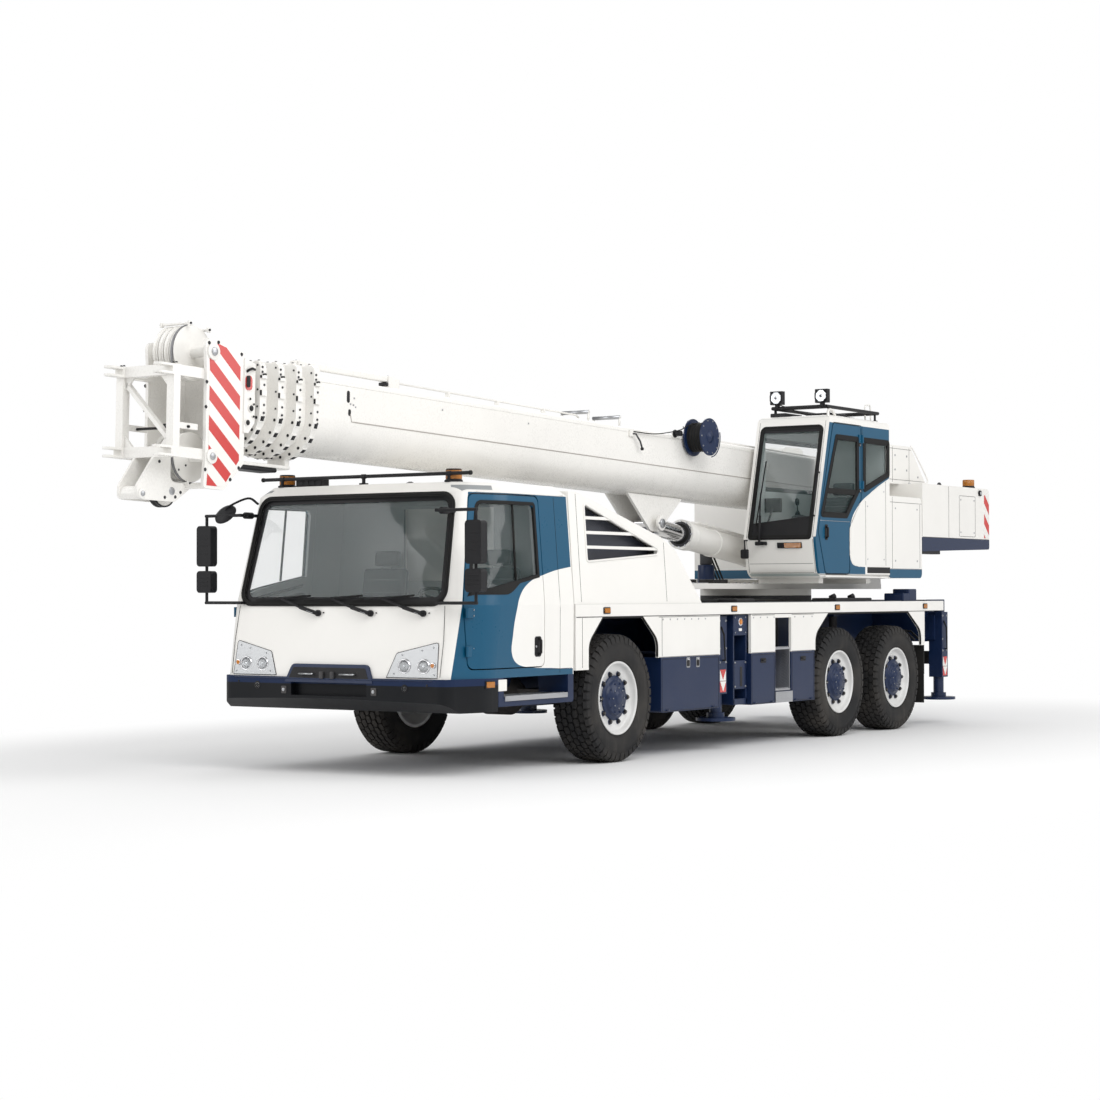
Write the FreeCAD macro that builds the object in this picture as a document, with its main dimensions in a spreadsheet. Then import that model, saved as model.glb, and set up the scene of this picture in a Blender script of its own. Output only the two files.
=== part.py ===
"""Three-axle all-terrain crane with a five-section telescopic boom.

Frame: +X is forward, +Y is the left side, +Z is up, and the ground is z = 0.
Every size below is one cell of the sheet. Lengths are in millimetres and angles in degrees.
"""
import FreeCAD, Part
import math
import os
import Sketcher

SIZES = (
    # alias, number: places along the carrier are measured from the front axle
    ("front_axle", 1942),
    ("axle_gap_front", 4630),
    ("axle_gap_rear", 1473),
    # wheels
    ("tyre_radius", 600),
    ("tyre_width", 385),
    ("tyre_shoulder", 40),
    ("tyre_corner", 22),
    ("tread_crown", 150),
    ("bead_radius", 330),
    ("bead_width", 300),
    ("sidewall_radius", 430),
    ("wheel_track", 2360),
    ("rim_lip_radius", 345),
    ("rim_lip", 12),
    ("rim_lip_gap", 10),
    ("rim_wall", 22),
    ("rim_disc", 18),
    ("rim_disc_inset", 55),
    ("hub_radius", 205),
    ("hub_depth", 90),
    ("hub_cap_radius", 120),
    ("hub_cap_depth", 40),
    ("hub_rise", 30),
    ("spindle_radius", 60),
    ("spindle_fit", 45),
    ("fit_gap", 0.3),
    ("free_gap", 6),
    # axles and steering knuckles
    ("kingpin_in", 180),
    ("kingpin_radius", 60),
    ("knuckle_height", 260),
    ("knuckle_depth", 130),
    ("fork_thick", 38),
    ("fork_radius", 70),
    ("axle_height", 130),
    ("axle_depth", 150),
    ("axle_end", 780),
    ("diff_radius", 190),
    ("diff_width", 300),
    ("diff_round", 60),
    ("strut_radius", 48),
    ("strut_track", 1080),
    ("strut_top", 1300),
    ("strut_cap", 150),
    ("hub_carrier_radius", 150),
    # carrier frame, with the two outrigger boxes
    ("frame_half", 430),
    ("frame_low", 850),
    ("frame_front", 2300),
    ("frame_nose_low", 700),
    ("frame_nose_rear", 380),
    ("frame_nose_ramp", 90),
    ("frame_step", 680),
    ("frame_rear", 7450),
    ("beam_width", 250),
    ("beam_height", 300),
    ("beam_low", 1010),
    ("beam_inner", 1150),
    ("beam_wall", 14),
    ("box_wall", 22),
    ("box_in", 245),
    ("channel_gap", 30),
    ("front_box_front", 1905),
    ("rear_box_front", 7400),
    ("rear_post_top", 1492),
    ("jack_in", 140),
    ("jack_housing_half", 85),
    ("jack_top", 1345),
    ("jack_low", 560),
    ("jack_radius", 62),
    ("jack_head", 1320),
    ("jack_pad_radius", 200),
    ("jack_pad", 32),
    ("jack_pad_low", 290),
    ("jack_ball_radius", 90),
    ("jack_ball", 50),
    # deck, side panels and boxes
    ("body_half", 1375),
    ("deck_top", 1480),
    ("deck_plate", 25),
    ("rail_low", 1360),
    ("rail_wall", 30),
    ("rail_front", 770),
    ("rail_rear", 7390),
    ("deck_hatch_half", 500),
    ("deck_hatch_front", 560),
    ("deck_hatch_rear", 1320),
    ("panel_low", 960),
    ("panel_front_low", 880),
    ("panel_rear", 6840),
    ("arch_knee", 1130),
    ("arch_front_top", 310),
    ("arch_front", 550),
    ("arch_rear_top", 410),
    ("arch_rear", 690),
    ("tandem_front_top", 4310),
    ("tandem_front", 4000),
    ("tandem_rear_top", 6380),
    ("tandem_rear", 6740),
    ("arch_round", 180),
    ("opening_front", 1900),
    ("opening_rear", 2550),
    ("box_low", 430),
    ("locker_front", 740),
    ("locker_rear", 1890),
    ("step_front", 3080),
    ("step_rear", 3440),
    ("step_depth", 300),
    ("step_top", 1320),
    ("step_tread", 550),
    ("locker_back", 3975),
    ("locker_round", 30),
    ("flap_thick", 12),
    ("flap_low", 280),
    ("flap_inner", 985),
    ("guard_place", 6805),
    ("guard_thick", 20),
    ("guard_low", 620),
    # slewing ring
    ("slew_back", 5200),
    ("ring_outer", 640),
    ("ring_inner", 520),
    ("ring_lower", 70),
    ("ring_upper", 74),
    # driver's cab
    ("cab_rear", 790),
    ("cab_front", 2560),
    ("cab_bulge", 60),
    ("cab_low", 850),
    ("cab_belt", 1480),
    ("cab_belt_front", 2460),
    ("cab_roof", 2550),
    ("cab_roof_front", 2225),
    ("cab_side_in", 13),
    ("cab_belt_in", 7),
    ("cab_roof_in", 85),
    ("cab_corner_in", 147),
    ("cab_corner_back", 420),
    ("cab_corner_round", 130),
    ("cab_side_round", 600),
    ("cab_bulge_round", 12000),
    ("cab_roof_round", 90),
    ("cab_wall", 50),
    ("cab_floor", 70),
    ("screen_low", 1500),
    ("screen_top", 2435),
    ("screen_low_half", 1130),
    ("screen_top_half", 1066),
    ("screen_round", 110),
    ("screen_glass", 8),
    ("door_rear", 1270),
    ("door_low", 935),
    ("door_front_low", 2330),
    ("door_front_belt", 2350),
    ("door_front_top", 2150),
    ("door_top", 2440),
    ("door_round", 60),
    ("door_gap", 10),
    ("hinge_place", 2355),
    ("hinge_in", 75),
    ("hinge_radius", 14),
    ("hinge_length", 90),
    ("hinge_leaf", 120),
    ("hinge_low", 1040),
    ("hinge_high", 1370),
    ("door_glass_low_front", 1580),
    ("door_glass_low_rear", 1740),
    ("door_glass_edge", 70),
    ("rear_glass_low", 1700),
    ("rear_glass_top", 2380),
    ("rear_glass_half", 520),
    ("sill_front", 1980),
    ("sill_low", 600),
    ("sill_depth", 320),
    ("sill_step_top", 680),
    ("sill_step_front", 1900),
    ("sill_step_rear", 880),
    ("bumper_low", 560),
    ("bumper_front_low", 690),
    ("bumper_chin", 2440),
    ("bumper_rear", 1985),
    ("bumper_grow", 25),
    ("bumper_recess_half", 420),
    ("bumper_recess", 90),
    ("seat_place", 1180),
    ("seat_side", 640),
    ("seat_width", 500),
    ("seat_length", 480),
    ("seat_height", 430),
    ("seat_cushion", 130),
    ("seat_back_height", 640),
    ("seat_back", 120),
    ("seat_lean", 77),
    ("dash_front", 2330),
    ("dash_rear", 2010),
    ("dash_top", 1430),
    ("console_back", 95),
    ("console_half", 120),
    ("dash_low", 1120),
    ("wheel_ring_place", 1800),
    ("wheel_ring_height", 1520),
    ("wheel_ring", 215),
    ("wheel_ring_pipe", 14),
    ("wheel_spoke", 11),
    ("wheel_tilt", 30),
    ("column_radius", 32),
    # mirrors and roof of the driver's cab
    ("mirror_front", 2560),
    ("mirror_back", 2470),
    ("mirror_gap", 45),
    ("mirror_width", 170),
    ("mirror_top", 2200),
    ("mirror_low", 1830),
    ("small_mirror_top", 1790),
    ("small_mirror_low", 1590),
    ("mirror_round", 35),
    ("mirror_arm", 14),
    ("mirror_arm_low", 1500),
    ("mirror_root_in", 275),
    ("mirror_arm_top", 2290),
    ("rack_front", 2120),
    ("rack_in", 195),
    ("rack_pipe", 16),
    ("rack_post", 940),
    ("rack_rise", 75),
    ("beacon_radius", 70),
    ("beacon_rise", 110),
    ("beacon_half", 940),
    ("beacon_place", 2050),
    # engine and the cover over it
    ("cover_front", 770),
    ("cover_top", 2510),
    ("cover_front_top", 640),
    ("cover_crease", 840),
    ("cover_crease_top", 2120),
    ("cover_knee", 1100),
    ("cover_knee_top", 2000),
    ("cover_rear", 1560),
    ("cover_side_in", 13),
    ("cover_top_in", 85),
    ("cover_round", 70),
    ("cover_wall", 40),
    ("vent_front", 520),
    ("vent_rear", 760),
    ("vent_top", 2410),
    ("vent_low", 1870),
    ("vent_tip_low", 1950),
    ("vent_tip_top", 2010),
    ("vent_round", 40),
    ("louvre", 28),
    ("engine_front", 380),
    ("engine_rear", 1000),
    ("engine_half", 400),
    ("engine_top", 1990),
    # turntable: places are measured from the slewing axis
    ("plate_thick", 60),
    ("plate_front", 2100),
    ("plate_rear", 2390),
    ("plate_half", 460),
    ("plate_nose_half", 380),
    ("arm_reach", 1150),
    ("arm_width", 110),
    ("arm_front", 560),
    ("arm_rear", 640),
    ("cheek_inner", 400),
    ("cheek_outer", 460),
    ("cheek_front", 900),
    ("cheek_rear", 2380),
    ("cheek_shoulder", 2300),
    ("cheek_top_front", 1480),
    ("cheek_top_rear", 1950),
    ("cheek_top", 3360),
    ("cheek_round", 120),
    ("cheek_brow", 2350),
    ("pivot_back", 1700),
    ("pivot_height", 3050),
    ("pivot_radius", 70),
    ("foot_back", 1000),
    ("foot_rise", 195.7),
    ("foot_radius", 55),
    # crane cab
    ("crane_cab_front", 1040),
    ("crane_cab_rear", 850),
    ("crane_cab_inner", 410),
    ("crane_cab_outer", 1300),
    ("crane_cab_low", 1740),
    ("crane_cab_top", 3550),
    ("crane_cab_sill_front", 950),
    ("crane_cab_front_low", 2170),
    ("crane_cab_top_front", 680),
    ("crane_cab_round", 110),
    ("crane_cab_toe_round", 160),
    ("crane_cab_wall", 45),
    ("crane_cab_side_round", 60),
    ("crane_glass_low", 2180),
    ("crane_glass_top", 3420),
    ("crane_glass_edge", 70),
    ("crane_glass_round", 40),
    ("crane_glass", 6),
    ("crane_door_rear", 100),
    ("crane_door_heel", 200),
    ("crane_door_heel_height", 2300),
    ("crane_door_waist", 2640),
    ("crane_door_front_top", 600),
    ("crane_door_front_mid", 975),
    ("crane_door_front_low", 800),
    ("crane_door_mid", 2260),
    ("crane_door_top", 3460),
    ("crane_door_low", 1790),
    ("crane_door_round", 60),
    ("crane_door_gap", 10),
    ("crane_hinge_back", 105),
    ("crane_hinge_out", 19),
    ("crane_hinge_leaf", 70),
    ("crane_hinge_thick", 12),
    ("crane_hinge_low", 2750),
    ("crane_hinge_high", 3270),
    ("crane_window_top", 3325),
    ("crane_window_low", 2420),
    ("crane_window_edge", 70),
    ("crane_rear_window_rear", 830),
    ("crane_rear_window_front", 160),
    ("crane_rear_window_low", 2720),
    ("crane_rear_window_corner", 2930),
    ("crane_seat_place", 330),
    ("console_width", 90),
    ("console_height", 260),
    ("housing_rear", 1740),
    ("housing_low", 1750),
    ("housing_top", 2700),
    ("housing_round", 60),
    # counterweight, hood and winch
    ("weight_front", 1760),
    ("weight_rear", 3785),
    ("weight_half", 1300),
    ("weight_low", 2070),
    ("weight_step", 2240),
    ("weight_top", 2880),
    ("weight_round", 70),
    ("weight_notch", 3260),
    ("weight_tail_low", 2120),
    ("hood_front", 1480),
    ("hood_rear", 2550),
    ("hood_outer", 1000),
    ("hood_top", 3340),
    ("hood_rear_top", 2080),
    ("hood_round", 60),
    ("winch_back", 2830),
    ("winch_height", 2660),
    ("winch_radius", 190),
    ("winch_flange", 270),
    ("winch_flange_thick", 20),
    ("winch_half", 330),
    ("roof_bar_front", 620),
    ("roof_bar_rear", 700),
    ("roof_bar_rise", 95),
    ("roof_bar_pipe", 20),
    ("lamp_size", 150),
    ("lamp_depth", 70),
    ("lamp_out", 1180),
    ("lamp_in", 620),
    # boom: u runs forward from the boom pivot and w stands above it
    ("boom_pitch", 1.6),
    ("boom_half", 340),
    ("boom_top", 100),
    ("boom_deep", 565),
    ("boom_flat", 30),
    ("boom_crown", 45),
    ("boom_wall", 12),
    ("boom_step", 27),
    ("boom_tail", 480),
    ("boom_front", 10210),
    ("boom_inner_tail", 250),
    ("boom_tail_step", 180),
    ("collar", 75),
    ("collar_grow", 62),
    ("collar_shrink", 12),
    ("collar_pitch", 215),
    ("head_start", 11000),
    ("head_front", 11460),
    ("head_plate", 30),
    ("head_half", 330),
    ("head_top", 180),
    ("head_low", 950),
    ("head_crown", 255),
    ("head_crown_back", 11300),
    ("head_crown_round", 60),
    ("head_toe_front", 11480),
    ("head_toe_back", 11230),
    ("sheave_high", 150),
    ("sheave_low", 690),
    ("sheave_place", 11390),
    ("sheave_radius", 225),
    ("sheave_low_radius", 200),
    ("sheave_width", 46),
    ("sheave_gap", 14),
    ("sheave_groove", 18),
    ("sheave_pin", 40),
    ("jib_place", 11740),
    ("jib_post", 75),
    ("jib_half", 310),
    ("jib_top", 10),
    ("jib_low", 720),
    ("jib_beam", 85),
    ("jib_brace", 50),
    ("jib_arm", 30),
    ("lug_reach", 120),
    ("lug_radius", 45),
    ("lug_round", 40),
    ("lug_thick", 18),
    ("lug_gap", 46),
    ("lug_bore", 20),
    ("lug_low_bore", 24),
    ("lug_foot", 16),
    ("nose_low", 1060),
    ("nose_front", 11990),
    ("nose_rear", 11560),
    ("nose_half", 110),
    ("nose_plate", 24),
    ("nose_round", 60),
    ("nose_bar", 48),
    ("nose_back", 11400),
    ("nose_neck", 11620),
    ("nose_shelf", 905),
    ("toe_bar", 25),
    ("toe_bar_place", 11430),
    ("aux_place", 11600),
    ("aux_height", 975),
    ("aux_radius", 125),
    ("aux_width", 60),
    ("reel_place", 3800),
    ("reel_height", 90),
    ("reel_radius", 200),
    ("reel_hub", 130),
    ("reel_width", 200),
    ("reel_flange", 16),
    # lift cylinder
    ("eye_place", 4180),
    ("eye_drop", 847),
    ("eye_half", 142),
    ("eye_radius", 85),
    ("eye_round", 76),
    ("eye_pin", 40),
    ("eye_plate", 32),
    ("barrel_radius", 148),
    ("barrel_bore", 100),
    ("barrel_length", 2750),
    ("barrel_head", 165),
    ("barrel_head_length", 120),
    ("rod_radius", 96),
    ("rod_tail", 500),
    ("rod_eye_radius", 110),
    ("rod_neck_length", 121),
    ("barrel_root", 77),
    ("rod_eye_width", 200),
    ("rod_neck", 80),
    ("pin_clear", 2),
)

doc = FreeCAD.newDocument("MobileCrane")
sheet = doc.addObject("Spreadsheet::Sheet", "Sizes")


class Size:
    """A number together with the sheet expression that it comes from."""

    def __init__(self, value, text):
        self.value = float(value)
        self.text = text

    def __add__(self, other):
        return Size(self.value + value_of(other), f"({self.text} + {text_of(other)})")

    def __sub__(self, other):
        return Size(self.value - value_of(other), f"({self.text} - {text_of(other)})")

    def __mul__(self, other):
        return Size(self.value * value_of(other), f"({self.text} * {text_of(other)})")

    def __truediv__(self, other):
        return Size(self.value / value_of(other), f"({self.text} / {text_of(other)})")

    def __neg__(self):
        return Size(-self.value, f"(-({self.text}))")

    def __radd__(self, other):
        return Size(other, repr(other)) + self

    def __rsub__(self, other):
        return Size(other, repr(other)) - self

    def __rmul__(self, other):
        return self * other


def value_of(size):
    """The number of a size, or of a plain number."""
    return size.value if isinstance(size, Size) else float(size)


def text_of(size):
    """The expression of a size, or of a plain number."""
    return size.text if isinstance(size, Size) else repr(size)


def cosine(angle):
    return Size(math.cos(math.radians(angle.value)), f"cos({angle.text})")


def sine(angle):
    return Size(math.sin(math.radians(angle.value)), f"sin({angle.text})")


def root(square):
    return Size(math.sqrt(square.value), f"sqrt({square.text})")


def arctangent(ratio):
    return Size(math.degrees(math.atan(ratio.value)), f"atan({ratio.text})")


class Names:
    """The sheet's sizes as attributes."""


s = Names()
for row, (alias, number) in enumerate(SIZES, start=1):
    sheet.set(f"A{row}", alias)
    sheet.set(f"B{row}", str(number))
    sheet.setAlias(f"B{row}", alias)
    setattr(s, alias, Size(number, f"Sizes.{alias}"))
doc.recompute()

AXES = {
    "X": FreeCAD.Vector(1, 0, 0),
    "Y": FreeCAD.Vector(0, 1, 0),
    "Z": FreeCAD.Vector(0, 0, 1),
}
# plane: the turn that lays a sketch in it, and the axis that its pads run along
PLANES = {
    "XY": (FreeCAD.Rotation(), "Z"),
    "XZ": (FreeCAD.Rotation(AXES["X"], 90), "Y"),
    "YZ": (FreeCAD.Rotation(FreeCAD.Vector(1, 1, 1), 120), "X"),
}
# axis: the turn that lays a cylinder along it
CYLINDER_TURNS = {
    "X": FreeCAD.Rotation(AXES["Y"], 90),
    "Y": FreeCAD.Rotation(AXES["X"], -90),
    "Z": FreeCAD.Rotation(),
}
NODES = []


def put(obj, x=None, y=None, z=None):
    """Tie an object's place to sizes."""
    for axis, size in (("x", x), ("y", y), ("z", z)):
        if size is not None:
            obj.setExpression(f".Placement.Base.{axis}", text_of(size))
    return obj


def box(name, x, y, z):
    """A block from its (low, high) bounds on each axis."""
    obj = doc.addObject("Part::Box", name)
    for side, (low, high) in (("Length", x), ("Width", y), ("Height", z)):
        obj.setExpression(side, text_of(high - low))
    return put(obj, x[0], y[0], z[0])


def rod(name, axis, centre, radius, low, high):
    """A cylinder along an axis; centre holds its three coordinates, the one on the axis unused."""
    obj = doc.addObject("Part::Cylinder", name)
    obj.Placement.Rotation = CYLINDER_TURNS[axis]
    obj.setExpression("Radius", text_of(radius))
    obj.setExpression("Height", text_of(high - low))
    place = dict(zip("xyz", centre))
    place[axis.lower()] = low
    return put(obj, **place)


def add_loop(sketch, corners):
    """Draw one closed loop of (u, v) or (u, v, radius) corners, each tied to its sizes."""
    points = [FreeCAD.Vector(value_of(corner[0]), value_of(corner[1]), 0) for corner in corners]
    count = len(points)
    radii = [corner[2] if len(corner) > 2 else None for corner in corners]
    arrive, leave, arcs = list(points), list(points), {}
    for i, radius in enumerate(radii):
        if radius is None:
            continue
        back = (points[i - 1] - points[i]).normalize()
        ahead = (points[(i + 1) % count] - points[i]).normalize()
        half = back.getAngle(ahead) / 2
        reach = value_of(radius) / math.tan(half)
        arrive[i] = points[i] + back * reach
        leave[i] = points[i] + ahead * reach
        middle = (back + ahead).normalize()
        centre = points[i] + middle * (value_of(radius) / math.sin(half))
        left_turn = back.cross(ahead).z < 0
        arcs[i] = (centre, left_turn)
    first = sketch.GeometryCount
    lines = [Part.LineSegment(leave[i], arrive[(i + 1) % count]) for i in range(count)]
    sketch.addGeometry(lines, False)
    rules, ties = [], []

    def tie(kind, *where, size):
        ties.append((len(rules), size))
        rules.append(Sketcher.Constraint(kind, *where, value_of(size)))

    for i, (u, v, *rest) in enumerate(corners):
        line, previous = first + i, first + (i - 1) % count
        if i not in arcs:
            rules.append(Sketcher.Constraint("Coincident", previous, 2, line, 1))
            tie("DistanceX", -1, 1, line, 1, size=u)
            tie("DistanceY", -1, 1, line, 1, size=v)
            continue
        centre, left_turn = arcs[i]
        start, end = (arrive[i], leave[i]) if left_turn else (leave[i], arrive[i])
        angles = [math.atan2(point.y - centre.y, point.x - centre.x) for point in (start, end)]
        circle = Part.Circle(centre, AXES["Z"], value_of(radii[i]))
        arc = sketch.addGeometry(Part.ArcOfCircle(circle, *angles), False)
        mark = sketch.addGeometry(Part.Point(points[i]), True)
        arrive_end, leave_end = (1, 2) if left_turn else (2, 1)
        rules.append(Sketcher.Constraint("Tangent", previous, 2, arc, arrive_end))
        rules.append(Sketcher.Constraint("Tangent", line, 1, arc, leave_end))
        tie("Radius", arc, size=radii[i])
        rules.append(Sketcher.Constraint("PointOnObject", mark, 1, previous))
        rules.append(Sketcher.Constraint("PointOnObject", mark, 1, line))
        tie("DistanceX", -1, 1, mark, 1, size=u)
        tie("DistanceY", -1, 1, mark, 1, size=v)
    base = sketch.ConstraintCount
    sketch.addConstraint(rules)
    for index, size in ties:
        if isinstance(size, Size):
            sketch.setExpression(f"Constraints[{base + index}]", size.text)


def add_ring(sketch, u, v, radius):
    """Draw one circle tied to its sizes."""
    centre = FreeCAD.Vector(value_of(u), value_of(v), 0)
    ring = sketch.addGeometry(Part.Circle(centre, AXES["Z"], value_of(radius)), False)
    base = sketch.ConstraintCount
    sketch.addConstraint([
        Sketcher.Constraint("DistanceX", -1, 1, ring, 3, value_of(u)),
        Sketcher.Constraint("DistanceY", -1, 1, ring, 3, value_of(v)),
        Sketcher.Constraint("Radius", ring, value_of(radius)),
    ])
    for index, size in enumerate((u, v, radius)):
        if isinstance(size, Size):
            sketch.setExpression(f"Constraints[{base + index}]", size.text)


def draw(name, plane, loops, rings=()):
    """A sketch of closed loops and circles; inner ones become holes."""
    sketch = doc.addObject("Sketcher::SketchObject", name)
    sketch.Placement.Rotation = PLANES[plane][0]
    for corners in loops:
        add_loop(sketch, corners)
    for ring in rings:
        add_ring(sketch, *ring)
    return sketch


def pad(name, plane, corners, low, high, holes=(), rings=()):
    """A profile drawn in a plane and run from low to high across it."""
    outlines = (corners, *holes) if corners else holes
    sketch = draw(name + "_sketch", plane, outlines, rings)
    axis = PLANES[plane][1]
    put(sketch, **{axis.lower(): low})
    obj = doc.addObject("Part::Extrusion", name)
    obj.Base = sketch
    obj.DirMode = "Custom"
    obj.Dir = AXES[axis]
    obj.setExpression("LengthFwd", text_of(high - low))
    obj.Solid = True
    obj.FaceMakerClass = "Part::FaceMakerBullseye"
    return obj


def turn(name, plane, corners, axis):
    """A profile turned once round an axis through the origin."""
    obj = doc.addObject("Part::Revolution", name)
    obj.Source = draw(name + "_sketch", plane, (corners,))
    obj.Axis = AXES[axis]
    obj.Angle = 360
    obj.Solid = True
    obj.FaceMakerClass = "Part::FaceMakerBullseye"
    return obj


def fuse(name, *pieces):
    """Pieces welded into one."""
    obj = doc.addObject("Part::MultiFuse", name)
    obj.Shapes = list(pieces)
    obj.Refine = True
    return obj


def cut(name, base, *tools):
    """A piece with tools taken out of it."""
    obj = doc.addObject("Part::Cut", name)
    obj.Base = base
    obj.Tool = tools[0] if len(tools) == 1 else fuse(name + "_tools", *tools)
    obj.Refine = True
    return obj


def common(name, *pieces):
    """What several pieces share."""
    obj = doc.addObject("Part::MultiCommon", name)
    obj.Shapes = list(pieces)
    obj.Refine = True
    return obj


def mirror(name, piece):
    """The same piece on the other side of the machine."""
    obj = doc.addObject("Part::Mirroring", name)
    obj.Source = piece
    obj.Normal = AXES["Y"]
    return obj


def both_sides(name, piece):
    """A piece and its mirror image."""
    return fuse(name, piece, mirror(name + "_right", piece))


def group(name, *pieces):
    """Pieces that lie apart but belong to one part."""
    obj = doc.addObject("Part::Compound", name)
    obj.Links = list(pieces)
    return obj


def copy_at(name, piece, x=0, y=0, z=0, half_turn=False):
    """A copy of a piece drawn about the origin, set in its place."""
    obj = group(name, piece)
    obj.Placement.Rotation = FreeCAD.Rotation(AXES["Z"], 180 if half_turn else 0)
    return put(obj, x, y, z)


def node(label, piece):
    """Name a finished part of the machine."""
    piece.Label = label
    NODES.append(piece)
    return piece


def mirrored(corners):
    """Close a half outline given from bottom to top by its mirror image in u."""
    return list(corners) + [(-corner[0], *corner[1:]) for corner in reversed(corners)]


def ahead(size):
    """A place in front of the front axle."""
    return s.front_axle + size


def behind(size):
    """A place behind the front axle."""
    return s.front_axle - size


SLEW = behind(s.slew_back)


def fore(size):
    """A place in front of the slewing axis."""
    return SLEW + size


def aft(size):
    """A place behind the slewing axis."""
    return SLEW - size


SIDES = (("left", 1), ("right", -1))
CAB_HALF = s.body_half - s.cab_side_in
CAB_BELT_HALF = s.body_half - s.cab_belt_in
CAB_ROOF_HALF = s.body_half - s.cab_roof_in
COVER_HALF = s.body_half - s.cover_side_in
MIRROR_IN = s.body_half + s.mirror_gap
MIRROR_OUT = MIRROR_IN + s.mirror_width
ZERO = Size(0, "0")
# name, axle place, steered
AXLES = (
    ("front", ahead(0), True),
    ("middle", behind(s.axle_gap_front), False),
    ("rear", behind(s.axle_gap_front + s.axle_gap_rear), True),
)


# wheels, knuckles and axles
def tyre_piece():
    """A tyre about the origin, with its axle along Y."""
    half, bead = s.tyre_width / 2, s.bead_width / 2
    shoulder = s.tyre_radius - s.tyre_shoulder
    return turn("tyre_ring", "YZ", (
        (-bead, s.bead_radius),
        (bead, s.bead_radius),
        (half, s.sidewall_radius),
        (half, shoulder - s.tyre_corner),
        (half - s.tyre_corner, shoulder),
        (s.tread_crown, s.tyre_radius),
        (-s.tread_crown, s.tyre_radius),
        (s.tyre_corner - half, shoulder),
        (-half, shoulder - s.tyre_corner),
        (-half, s.sidewall_radius),
    ), "Y")


RIM_EDGE = s.bead_width / 2 + s.rim_lip_gap + s.rim_lip
RIM_FACE = RIM_EDGE - s.rim_disc_inset
RIM_BACK = RIM_FACE - s.rim_disc
HUB_BACK = RIM_BACK - s.hub_depth
SPINDLE_END = HUB_BACK + s.spindle_fit
KINGPIN = -s.kingpin_in


def rim_piece():
    """A rim with its hub and cap about the origin; the outer side faces +Y."""
    outside = s.bead_radius - s.fit_gap
    inside = outside - s.rim_wall
    hub_face = RIM_FACE + s.hub_rise
    cap_face = hub_face + s.hub_cap_depth
    bore = s.spindle_radius + s.fit_gap
    return turn("rim_ring", "YZ", (
        (SPINDLE_END + s.fit_gap, 0),
        (cap_face, 0),
        (cap_face, s.hub_cap_radius),
        (hub_face, s.hub_cap_radius),
        (hub_face, s.hub_radius),
        (RIM_FACE, s.hub_radius),
        (RIM_FACE, inside),
        (RIM_EDGE, inside),
        (RIM_EDGE, s.rim_lip_radius),
        (RIM_EDGE - s.rim_lip, s.rim_lip_radius),
        (RIM_EDGE - s.rim_lip, outside),
        (s.rim_lip - RIM_EDGE, outside),
        (s.rim_lip - RIM_EDGE, s.rim_lip_radius),
        (-RIM_EDGE, s.rim_lip_radius),
        (-RIM_EDGE, inside),
        (RIM_BACK, inside),
        (RIM_BACK, s.hub_carrier_radius),
        (HUB_BACK, s.hub_carrier_radius),
        (HUB_BACK, bore),
        (SPINDLE_END + s.fit_gap, bore),
    ), "Y")


def knuckle_piece():
    """A steering knuckle about the wheel's centre: boss, carrier and spindle."""
    tall = s.knuckle_height / 2
    carrier_back = HUB_BACK - s.free_gap - s.knuckle_depth / 2
    return fuse(
        "knuckle_body",
        rod("knuckle_boss", "Z", (0, KINGPIN, 0), s.fork_radius, -tall, tall),
        rod("knuckle_neck", "Y", (0, 0, 0), s.kingpin_radius + s.knuckle_depth / 4,
            KINGPIN, carrier_back),
        rod("knuckle_carrier", "Y", (0, 0, 0), s.hub_carrier_radius, carrier_back, HUB_BACK - s.free_gap),
        rod("knuckle_spindle", "Y", (0, 0, 0), s.spindle_radius, carrier_back, SPINDLE_END),
    )


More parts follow.
